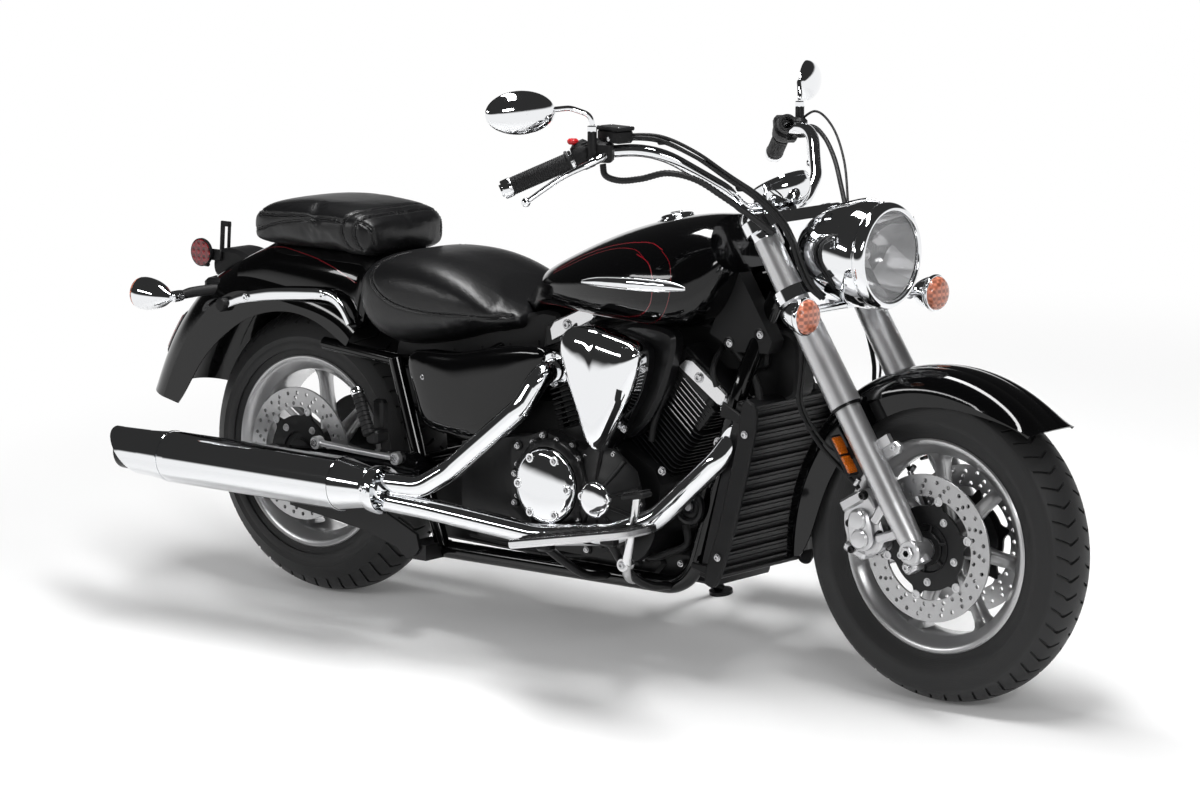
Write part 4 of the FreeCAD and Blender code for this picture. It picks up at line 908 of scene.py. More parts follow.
@dataclass
class Studio:
    """Camera, floor and soft lights."""

    azimuth: float = 39.924
    elevation: float = 9.405
    distance: float = 9071.3
    target: Point = (-60.8, 0.0, 512.6)
    focal_pixels: float = 4276.7
    image_width: float = 1200.0
    sensor: float = 36.0
    floor_radius: float = 60.0

    def camera(self) -> None:
        """Put the camera where the photograph was taken from."""
        az, el = math.radians(self.azimuth), math.radians(self.elevation)
        out = Vector((math.sin(az) * math.cos(el), -math.cos(az) * math.cos(el), math.sin(el)))
        right = Vector((math.cos(az), math.sin(az), 0))
        up = out.cross(right)
        turn = Matrix((right, up, out)).transposed()
        lean = PARKED.to_3x3() * 1000
        data = bpy.data.cameras.new("camera")
        data.sensor_width = self.sensor
        data.lens = self.focal_pixels * self.sensor / self.image_width
        data.clip_end = 200
        camera = linked("camera", data)
        place = (lean @ turn).to_4x4()
        place.translation = PARKED @ (Vector(self.target) + out * self.distance)
        camera.matrix_world = place
        bpy.context.scene.camera = camera

    def lamp(self, name: str, place: Point, aim: Point, size: Flat, power: float) -> None:
        """Add a soft rectangular lamp.

        Args:
            name: Its name.
            place: Where it hangs, in metres.
            aim: What it points at.
            size: Its two lengths.
            power: Its watts.
        """
        data = bpy.data.lights.new(name, "AREA")
        data.shape = "RECTANGLE"
        data.size, data.size_y = size
        data.energy = power
        lamp = linked(name, data)
        turn = (Vector(aim) - Vector(place)).to_track_quat("-Z", "Y")
        lamp.matrix_world = Matrix.Translation(place) @ turn.to_matrix().to_4x4()

    def world(self) -> None:
        """Fill the room: a white backdrop low down, a dim ceiling, and a plain fill light."""
        world = bpy.data.worlds.new("studio")
        bpy.context.scene.world = world
        world.use_nodes = True
        tree = world.node_tree
        back = tree.nodes["Background"]
        path = tree.nodes.new("ShaderNodeLightPath")
        space = tree.nodes.new("ShaderNodeTexCoord")
        split = tree.nodes.new("ShaderNodeSeparateXYZ")
        band = tree.nodes.new("ShaderNodeMapRange")
        band.interpolation_type = "SMOOTHSTEP"
        for index, value in ((1, 0.02), (2, 0.14), (3, 1), (4, 0.03)):
            band.inputs[index].default_value = value
        seen, seen_all = (tree.nodes.new("ShaderNodeMath") for _ in range(2))
        seen.operation = seen_all.operation = "MAXIMUM"
        pick = tree.nodes.new("ShaderNodeMix")
        pick.inputs[2].default_value = 0.3
        links = tree.links
        links.new(space.outputs["Generated"], split.inputs[0])
        links.new(split.outputs[2], band.inputs[0])
        links.new(path.outputs["Is Camera Ray"], seen.inputs[0])
        links.new(path.outputs["Is Glossy Ray"], seen.inputs[1])
        links.new(seen.outputs[0], seen_all.inputs[0])
        links.new(path.outputs["Is Transmission Ray"], seen_all.inputs[1])
        links.new(seen_all.outputs[0], pick.inputs[0])
        links.new(band.outputs[0], pick.inputs[3])
        links.new(pick.outputs[0], back.inputs["Strength"])
        back.inputs["Color"].default_value = (1, 1, 1, 1)

    def floor(self) -> None:
        """Lay a white floor that keeps the shadow near the machine."""
        graph = Graph("studio_floor")
        tree = graph.tree
        space = graph.node("ShaderNodeTexCoord", {}, out="Object")
        x, y, _ = graph.axes(space)
        far = (x * x + y * y).root().step(1.3, 2.6)
        path = graph.node("ShaderNodeLightPath", {})
        node = path.out.node
        rays = [Sock(graph, node.outputs[n])
                for n in ("Is Camera Ray", "Is Glossy Ray", "Is Transmission Ray")]
        seen = rays[0].high(rays[1]).high(rays[2])
        graph.set(Base_Color=(0.96, 0.96, 0.96), Roughness=0.9, Specular_IOR_Level=0)
        glow = tree.nodes.new("ShaderNodeEmission")
        glow.inputs["Strength"].default_value = 1
        mix = tree.nodes.new("ShaderNodeMixShader")
        graph.feed(mix.inputs[0], (far * 0.94 + 0.06) * seen)
        tree.links.new(graph.shader.outputs[0], mix.inputs[1])
        tree.links.new(glow.outputs[0], mix.inputs[2])
        tree.links.new(mix.outputs[0], graph.output.inputs[0])
        mesh = bmesh.new()
        bmesh.ops.create_circle(mesh, cap_ends=True, segments=64, radius=self.floor_radius)
        data = meshed("studio_floor", mesh)
        data.materials.append(graph.material)
        floor = linked("studio_floor", data)

    def build(self) -> None:
        """Set up everything round the machine."""
        bpy.context.scene.view_settings.view_transform = "Standard"
        self.camera()
        self.world()
        self.floor()
        self.lamp("overhead_softbox", (0.1, 0.2, 3.3), (0, 0, 0.4), (3.2, 0.5), 114)
        self.lamp("front_softbox", (4.2, -2.4, 2.6), (0.3, 0, 0.6), (1.6, 0.6), 42)
        self.lamp("side_softbox", (-2.6, -4.4, 2.9), (-0.2, 0, 0.6), (3, 0.45), 52)


def drilled(solid: Form, holes: Form) -> Form:
    """Cut the holes of one form out of another, exactly.

    Args:
        solid: The piece that is drilled.
        holes: The closed cutters, which are used up.

    Returns:
        The drilled piece.
    """
    objects = []
    for form in (solid, holes):
        bmesh.ops.recalc_face_normals(form.mesh, faces=form.mesh.faces)
        objects.append(linked("drill_stock", meshed("drill_stock", form.mesh)))
    cut = objects[0].modifiers.new("holes", "BOOLEAN")
    cut.operation = "DIFFERENCE"
    cut.solver = "EXACT"
    cut.object = objects[1]
    result = objects[0].evaluated_get(bpy.context.evaluated_depsgraph_get())
    solid.mesh = bmesh.new()
    solid.mesh.from_mesh(result.to_mesh())
    result.to_mesh_clear()
    for thing in objects:
        data = thing.data
        bpy.data.objects.remove(thing)
        bpy.data.meshes.remove(data)
    return solid


def ring_points(radius: float, count: int, phase: float = 0.0) -> list[Flat]:
    """Give points round a circle, from a phase in degrees."""
    angles = (math.radians(phase) + math.tau * k / count for k in range(count))
    return [(radius * math.cos(a), radius * math.sin(a)) for a in angles]


def lobed(radius: float, lobe: float, count: int, phase: float = 0.0, steps: int = 120,
          sharp: float = 8.0) -> list[Flat]:
    """Give a circle that swells to a lobe at even places.

    Args:
        radius: The mean radius.
        lobe: How far a lobe reaches out.
        count: How many lobes there are.
        phase: Degrees to the first lobe.
        steps: How many points there are.
        sharp: The power that makes the lobes narrow.

    Returns:
        The outline.
    """
    points = []
    for k in range(steps):
        a = math.tau * k / steps
        near = 0.5 + 0.5 * math.cos(count * (a - math.radians(phase)))
        r = radius + lobe * near ** sharp
        points.append((r * math.cos(a), r * math.sin(a)))
    return points


@dataclass
class Tyre:
    """A tyre with a rounded crown and two rows of short bent grooves."""

    node: str
    kind: Kind
    axle: Vector
    radius: float
    shoulder: float
    wall: float
    bead: float
    groove_out: float
    pitches: int = 54
    depth: float = 6.0
    groove_in: float = 9.0
    bend: float = 30.0

    def profile(self) -> list[Flat]:
        """Give (height across, radius) from the right bead to the left one.

        Returns:
            Points of (radius, height) round the section.
        """
        drop = CROWN_RADIUS - math.sqrt(CROWN_RADIUS ** 2 - self.shoulder ** 2)
        high, low = self.radius - drop, 219
        middle = (high + low) / 2
        side = [(-self.bead, 203), (-self.bead - 1, low - 3), (-(self.bead + self.wall) / 2, low + 12),
                (-self.wall + 1.2, middle - 10), (-self.wall - 0.6, middle - 6),
                (-self.wall - 0.6, middle + 3), (-self.wall + 0.4, middle + 7),
                (-self.wall * 0.985, high - 12), (-self.shoulder - 1.5, high - 3)]
        marks = [self.shoulder, self.groove_out + 3, self.groove_out, self.groove_out - 3, 48, 42, 36,
                 self.bend + 2, self.bend - 2, 24, 18, self.groove_in + 3, self.groove_in, 4]
        across = sorted({min(m, self.shoulder) for m in marks}, reverse=True)
        crown = [(-y, self.radius - CROWN_RADIUS + math.sqrt(CROWN_RADIUS ** 2 - y * y)) for y in across]
        half = side + crown
        return half + [(0, self.radius)] + [(-y, r) for y, r in reversed(half)]

    def slant(self, across: float) -> float:
        """Give how far round a groove has run, in pitches, at a place across the tread."""
        reach = abs(across)
        return 0.34 * (reach - self.bend) / 20 if reach > self.bend else 0.30 * (self.bend - reach) / 20

    def build(self) -> None:
        """Make the carcass with its grooves."""
        form = Form(f"{self.node}_tread").use(self.kind)
        profile = self.profile()
        cuts = ((0, 0), (0.015, 1), (0.15, 1), (0.165, 0), (0.36, 0), (0.57, 0), (0.79, 0))
        columns = []
        for k in range(self.pitches):
            for share, deep in cuts:
                ring = []
                for y, r in profile:
                    inside = self.groove_in < abs(y) < self.groove_out and r > self.radius - 40
                    shift = self.slant(y) if abs(y) <= self.shoulder and r > 235 else 0
                    fade = min(1, max(0, (CROWN_RADIUS - abs(y)) / 20))
                    half_pitch = 0.5 if y > 0 else 0
                    a = math.tau * (k + share + shift * fade + half_pitch) / self.pitches
                    out = r - self.depth * deep if inside else r
                    ring.append(self.axle + Vector((out * math.cos(a), y, out * math.sin(a))))
                columns.append(ring)
        form.rings(columns, loop=True, wrap=False)
        form.done(self.node.replace("tyre", "wheel"), "tyre_rubber", [self.node], 40)


@dataclass
class CastWheel:
    """A cast wheel: smooth rim, seven tapering spokes and a dark hub."""

    node: str
    axle: Vector
    half_rim: float
    half_hub: float
    phase: float
    spokes: int = 7
    flange: float = 217.0
    bead: float = 203.0

    def build(self) -> None:
        """Make rim, spokes and hub."""
        edge, bead = self.half_rim, self.bead
        place = moved(*self.axle, ACROSS)
        form = Form(f"{self.node}_casting").use(Kind.WHEEL_SILVER)
        outer = [(bead - 8, edge - 13), (bead - 3, edge - 4), (bead + 6, edge + 0.5),
                 (self.flange - 3, edge + 1), (self.flange, edge - 1.5), (self.flange - 2, edge - 4.5),
                 (bead + 1, edge - 6), (bead, edge - 18), (bead - 13, edge - 28)]
        inner = [(bead - 21, edge - 27), (bead - 18, edge - 20)]
        right = outer + [(bead - 13, 0)]
        under = [(bead - 21, 0)] + inner
        whole = right + [(r, -h) for r, h in reversed(outer)] + [(r, -h) for r, h in reversed(inner)] + under
        form.lathe(whole, place, 128, loop=True)
        for k in range(self.spokes):
            a = math.radians(self.phase) + math.tau * k / self.spokes
            out, side = Vector((math.cos(a), 0, math.sin(a))), Vector((-math.sin(a), 0, math.cos(a)))
            rings = []
            for r, wide, deep in ((40, 20, 19), (60, 18.5, 18), (90, 16, 16), (120, 14, 15), (150, 13, 15.5),
                                  (165, 14, 18), (176, 17, 23), (184, 24, 30)):
                ring = []
                for j in range(24):
                    t = math.tau * j / 24
                    c, n = math.cos(t), math.sin(t)
                    wx = rounded(c, 0.62) * wide
                    wy = rounded(n, 0.62) * deep
                    ring.append(self.axle + out * r + side * wx + Vector((0, wy, 0)))
                rings.append(ring)
            form.rings(rings)
        form.use(Kind.CASTING)
        face = self.half_hub
        barrel = [(10.2, face + 8), (33, face + 8), (34, face + 7), (34, face), (77, face), (78, face - 1.5),
                  (77, face - 8), (52, face - 16), (46, face - 26), (44, 0)]
        form.lathe(barrel + [(r, -h) for r, h in reversed(barrel[:-1])], place, 64, loop=True)
        form.use(Kind.STEEL).pipe([self.rim_point(150, edge - 30), self.rim_point(150, edge - 12)], 4, 12)
        form.done(self.node, "silver_metal", [self.node], 35)

    def rim_point(self, degrees: float, across: float) -> Vector:
        """Give a point under the rim, where the valve stands."""
        a = math.radians(degrees)
        return self.axle + Vector(((self.bead - 26) * math.cos(a), -across, (self.bead - 26) * math.sin(a)))


@dataclass
class Disc:
    """A drilled brake disc on a dark carrier, seen from the right."""

    name: str
    axle: Vector
    offset: float
    phase: float
    thickness: float = 5.0
    radius: float = 149.0

    def place(self) -> Matrix:
        """Give the disc's place, with local Z to the right."""
        return moved(self.axle.x, -self.offset, self.axle.z, ACROSS)

    def ring(self, kind: Kind) -> Form:
        """Make the drilled ring with its inner tabs.

        Args:
            kind: Its finish.

        Returns:
            The ring.
        """
        half = self.thickness / 2
        place = self.place()
        form = Form(f"{self.name}_ring").use(kind)
        inner = [(-x, y) for x, y in lobed(105, -8, 6, 180 - self.phase, 180, 14)]
        outer = ring_points(self.radius, 180)
        rows = []
        for outline, height, ease in ((outer, -half, 0.6), (outer, -half + 0.6, 0), (outer, half - 0.6, 0),
                                      (outer, half, 0.6), (inner, half, 0), (inner, -half, 0)):
            shrink = 1 - ease / self.radius
            start = 0 if outline is outer else min(range(180), key=lambda i: math.hypot(
                inner[i][0] / 105 - 1, inner[i][1] / 105))
            turn = 1 if outline is outer or inner[(start + 1) % 180][1] > 0 else -1
            rows.append([Vector((outline[(start + turn * i) % 180][0] * shrink,
                                 outline[(start + turn * i) % 180][1] * shrink, height)) for i in range(180)])
        form.rings(rows, loop=True, place=place)
        holes = Form("holes")
        for radius, count, turn in ((113, 30, 3), (136, 30, 9), (125, 15, 0)):
            for x, y in ring_points(radius, count, turn):
                holes.lathe([(4.4, -half - 2), (4.4, half + 2)], place @ moved(x, y, 0), 12)
        return drilled(form, holes)

    def carrier(self) -> Form:
        """Make the dark carrier, its bolts and the floating buttons.

        Returns:
            The carrier.
        """
        place = self.place()
        form = Form(f"{self.name}_carrier").use(Kind.CASTING)
        outline = lobed(86, 19, 6, self.phase, 180, 10)
        bore = ring_points(50, 180)
        rows = [[Vector((x * k, y * k, h)) for x, y in path] for path, h, k in (
            (outline, -2.8, 1), (outline, 2.4, 1), (outline, 3.2, 0.99), (bore, 3.2, 1), (bore, -2.8, 1))]
        form.rings(rows, loop=True, place=place)
        form.use(Kind.SILVER)
        for x, y in ring_points(100, 6, self.phase):
            form.lathe([(9.5, 2), (9.5, 4.4), (8.6, 5.2), (5.4, 5.2), (4.6, 3.6), (0, 3.6)],
                       place @ moved(x, y, 0), 20)
        for x, y in ring_points(68, 5, 55):
            form.bolt(place @ moved(x, y, 3), 6.2, 4.5, 0.8)
        return form


@dataclass
class Wheels:
    """Both wheels with tyres, brake discs and the belt pulley."""

    def hub_cup(self) -> None:
        """Fill the front hub's open end with its dark cup and thin arms."""
        form = Form("front_hub_cup").use(Kind.CASTING)
        place = moved(FRONT_AXLE.x, 0, FRONT_AXLE.z, ACROSS)
        form.lathe([(34.5, 67), (34.5, 69.5), (38, 69), (46, 69), (49, 74.5), (50, 74.5), (50, 67)],
                   place, 64, loop=True)
        for x, y in ring_points(1, 6, 20):
            arm = Vector((x, y, 0))
            form.pipe([arm * 34 + Vector((0, 0, 72)), arm * 49 + Vector((0, 0, 71))], [3.4, 2.4], 10, place)
        form.use(Kind.STEEL).lathe([(17, 75), (22, 75), (22, 77.5), (17, 77.5)], place, 40, loop=True)
        form.mirror().done("front_wheel", "black_metal", angle=35)

    def pulley(self) -> None:
        """Make the toothed belt pulley on the left."""
        form = Form("rear_pulley_rim").use(Kind.CASTING)
        place = moved(REAR_AXLE.x, 0, REAR_AXLE.z, turned("X", -90))
        form.lathe([(34.5, 98.8), (78, 98.8), (94, 91.5), (109, 91.5), (109, 93.2), (104, 93.2),
                    (104, 112.6), (109, 112.6), (109, 114.8), (92, 114.8), (88, 109), (60, 107.5),
                    (34.5, 107.5)], place, 96, loop=True)
        form.use(Kind.STEEL)
        for x, y in ring_points(68, 6, 30):
            form.bolt(place @ moved(x, y, 107.5), 6.5, 5, 1)
        form.done("rear_wheel", "black_metal", ["rear_pulley"], 35)

    def build(self) -> None:
        """Make everything that turns."""
        Tyre("front_tyre", Kind.FRONT_TYRE, FRONT_AXLE, 320, 61, 64.5, 45, 57).build()
        Tyre("rear_tyre", Kind.REAR_TYRE, REAR_AXLE, 322, 81, 80, 66, 68, pitches=50).build()
        CastWheel("front_wheel", FRONT_AXLE, 50, 66.5, 95.5).build()
        CastWheel("rear_wheel", REAR_AXLE, 71, 98.5, 96).build()
        self.hub_cup()
        self.pulley()
        front = Disc("front_disc", FRONT_AXLE, 69, 75)
        front.ring(Kind.FRONT_DISC).mirror().done("front_wheel", "disc_steel", ["front_discs"])
        front.carrier().mirror().done("front_wheel", "black_metal")
        rear = Disc("rear_disc", REAR_AXLE, 101, 15)
        rear.ring(Kind.REAR_DISC).done("rear_wheel", "disc_steel", ["rear_disc"])
        rear.carrier().done("rear_wheel", "black_metal")


@dataclass
class Fork:
    """What sits on the fork legs: feet, calipers, reflectors and brake hoses."""

    leg: float = 110.0

    def feet(self) -> None:
        """Make the axle clamps with their nuts and pinch bolts."""
        form = Form("fork_feet").use(Kind.SILVER)
        place = moved(FRONT_AXLE.x, 0, FRONT_AXLE.z, ACROSS)
        form.lathe([(10.4, 84.5), (23, 84.5), (25, 87), (25.5, 120), (25, 133), (22, 136), (10.4, 136)],
                   place, 40, loop=True)
        form.use(Kind.STEEL).lathe([(7, 136), (14, 136), (15, 138), (15, 143), (13, 145), (7, 145)], place, 6,
                                   loop=True)
        form.use(Kind.SILVER)
        foot = FORK @ moved(-20, -112, -22)
        form.brick((34, 34, 26), foot, 5)
        form.use(Kind.STEEL).bolt(FORK @ moved(-22, -129, -22, ACROSS), 7.5, 6, 2)
        form.mirror().done("steering", "silver_metal", angle=38)

    def collars(self) -> None:
        """Make the dark seals under the covers and the bright caps on top."""
        form = Form("fork_collars").use(Kind.BLACK_ENAMEL)
        place = FORK @ moved(0, -self.leg, 0)
        form.lathe([(27.2, 318), (30.5, 318), (31, 320), (31, 324), (27.2, 324)], place, 48, loop=True)
        form.use(Kind.CHROME)
        form.lathe([(26.5, 700), (27.6, 700), (28, 702), (28, 726), (27, 728.4), (22, 730), (21.4, 750),
                    (17, 753), (0, 753)], place, 48)
        form.mirror().done("steering", "chrome", angle=35)

    def calipers(self) -> None:
        """Make the two-piston calipers with dark bolts."""
        outline = [(706, 424), (728, 410), (748, 372), (760, 330), (748, 306), (716, 292), (684, 304),
                   (664, 336), (662, 380), (684, 412)]
        form = Form("front_caliper").use(Kind.SILVER)
        form.plate(smooth_outline(outline, 4), 76.5, 104, ACROSS, 4)
        form.plate(smooth_outline([(698, 388), (722, 384), (736, 352), (738, 318), (712, 302), (688, 312),
                                   (678, 346), (682, 376)], 4), 103, 116, ACROSS, 5)
        for x, z in ((706, 366), (712, 328)):
            form.lathe([(20, 112), (20, 119), (17, 123), (8, 124.5), (0, 124.5)], moved(x, 0, z, ACROSS), 32)
        form.plate(smooth_outline(outline, 4), 40, 61, ACROSS, 4)
        form.brick((60, 64, 26), moved(682, -77, 400, turned("Y", -30)), 5)
        form.brick((56, 64, 20), moved(690, -77, 300, turned("Y", 20)), 5)
        form.use(Kind.BLACK_ENAMEL)
        for x, z in ((712, 416), (680, 356), (686, 303), (752, 340)):
            form.bolt(moved(x, -103, z, ACROSS), 7.5, 9, 2)
        form.use(Kind.SILVER).brick((66, 12, 20), moved(760, -112, 392, turned("Y", -57.3)), 4)
        form.brick((60, 12, 20), moved(778, -112, 342, turned("Y", -20)), 4)
        form.use(Kind.STEEL).lathe([(4, 0), (5, 3), (5, 10), (3, 12), (0, 12)],
                                   moved(688, -90, 424, turned("Y", -30)), 16)
        form.mirror().done("steering", "silver_metal", ["front_calipers"], 36)

    def reflectors(self) -> None:
        """Make the two-field reflectors on their black backs."""
        place = FORK @ moved(-48, -125, 238)
        form = Form("fork_reflector").use(Kind.BLACK_PLASTIC).brick((9, 34, 90), place, 2)
        form.brick((24, 8, 26), FORK @ moved(-36, -112, 238), 2)
        form.use(Kind.AMBER)
        for up in (-21, 21):
            form.brick((8, 29, 38), place @ moved(3.4, -1.6, up), 2)
        form.mirror().done("steering", "orange_reflector", ["fork_reflectors"])

    def hoses(self) -> None:
        """Run the brake hoses down behind the legs to the calipers."""
        form = Form("brake_hoses").use(Kind.RUBBER)
        form.pipe([(556, -84, 760), (562, -108, 700), (566, -124, 640), (566, -128, 590), (588, -126, 545),
                   (622, -122, 502), (650, -108, 470), (676, -96, 440), (690, -92, 424)], 4.6, 12)
        form.pipe([(566, -92, 750), (574, -116, 690), (578, -130, 636), (576, -132, 596), (597, -130, 552),
                   (634, -124, 510), (656, -108, 492)], 2.6, 10)
        form.use(Kind.BLACK_PLASTIC)
        form.brick((24, 14, 8), moved(592, -124, 546, turned("Y", 40)), 2)
        form.use(Kind.STEEL).lathe([(5.6, 0), (6.2, 2), (6.2, 14), (5.6, 16)],
                                   moved(683, -94, 432, turned("Y", 35)), 12)
        form.mirror().done("steering", "black_plastic")

    def fender_bracket(self) -> None:
        """Make the cast brackets that hold the front fender."""
        form = Form("fender_bracket").use(Kind.SILVER)
        form.plate([(736, 470), (752, 486), (790, 508), (794, 524), (782, 532), (742, 520), (722, 505)], 84,
                   98, ACROSS, 3)
        form.use(Kind.STEEL).bolt(moved(778, -97, 519, ACROSS), 6, 4, 1.5)
        form.mirror().done("steering", "silver_metal", angle=35)

    def build(self) -> None:
        """Make everything on the legs."""
        self.feet()
        self.collars()
        self.calipers()
        self.reflectors()
        self.hoses()
        self.fender_bracket()


@dataclass
class FrontLamps:
    """Headlight and turn signals."""

    back: float = 479.0
    height: float = 883.0

    def headlight(self) -> None:
        """Make the chrome shell, its bezel, reflector bowl, bulb shield and ridge."""
        place = moved(self.back, 0, self.height, ALONG)
        form = Form("headlight_bowl").use(Kind.CHROME)
        form.lathe(bent([(0.1, 0), (22, 4), (44, 14), (64, 32), (84, 68), (97, 110), (105, 140), (109, 166),
                         (109, 182), (106.5, 196)], 3)
                   + [(104.5, 197.5), (104.5, 199.5), (98, 199.5), (97, 170), (88, 110), (60, 50), (0, 30)],
                   place, 96)
        form.lathe(bent([(104.5, 199), (108, 202), (107, 211), (102, 219), (96, 222), (92, 220),
                         (90.5, 214)], 3) + [(92, 205), (98, 199)], place, 96, loop=True)
        form.use(Kind.REFLECTOR)
        bowl = bent([(90.5, 214), (88, 200), (82, 178), (70, 152), (50, 132), (26, 122), (10, 120),
                     (1, 120)], 3)
        form.lathe(bowl + [(r, h - 3) for r, h in reversed(bowl)], place, 96, loop=True)
        form.use(Kind.SILVER).lathe([(13, 120), (13, 150), (11, 158), (4, 163), (0, 163)], place, 32)
        form.use(Kind.CHROME)
        form.pipe([(60, 0, 85), (110, 0, 97.5), (160, 0, 109), (198, 0, 107)], [2.5, 6, 5, 2.5], 12,
                  moved(self.back, 0, self.height))
        form.brick((10, 12, 18), place @ turned("Z", 128) @ moved(107, 0, 203), 2)
        form.use(Kind.STEEL).bolt(place @ turned("Z", 128) @ moved(111, 0, 203, turned("Y", 90)), 4, 3, 1)
        form.done("steering", "chrome", ["headlight_shell"], 35)
        glass = Form("headlight_glass").use(Kind.GLASS)
        dome = bent([(90.2, 213), (84, 218), (66, 223), (36, 226.6), (0.1, 228)], 4)
        glass.lathe(dome + [(r * 0.985, h - 2.2) for r, h in reversed(dome)], place, 96, loop=True)
        glass.done("steering", "clear_lens", ["headlight_lens"], 40)

    def signals(self) -> None:
        """Make bezels and domed lenses of the turn signals."""
        place = moved(588, -219, 782, ALONG)
        form = Form("signal_bezel").use(Kind.CHROME)
        form.lathe(bent([(33, 52), (36.5, 55), (38.5, 60), (38, 65), (36.2, 66)], 3) + [(34, 66), (34, 60)],
                   place, 64)
        form.lathe([(13, 6), (14, 8), (14, 14), (13, 16)], moved(606, -219, 782, ACROSS) @ moved(0, 0, -36),
                   32)
        form.mirror().done("steering", "chrome")
        lens = Form("signal_lens").use(Kind.SIGNAL)
        lens.lathe([(0.1, 61), (34.6, 61), (35, 66)]
                   + bent([(35, 66), (33.5, 71), (28, 77), (16, 81), (0.1, 82)], 3), place, 64)
        lens.mirror().done("steering", "signal_lens", ["front_signal_lenses"])

    def build(self) -> None:
        """Make the lamps."""
        self.headlight()
        self.signals()


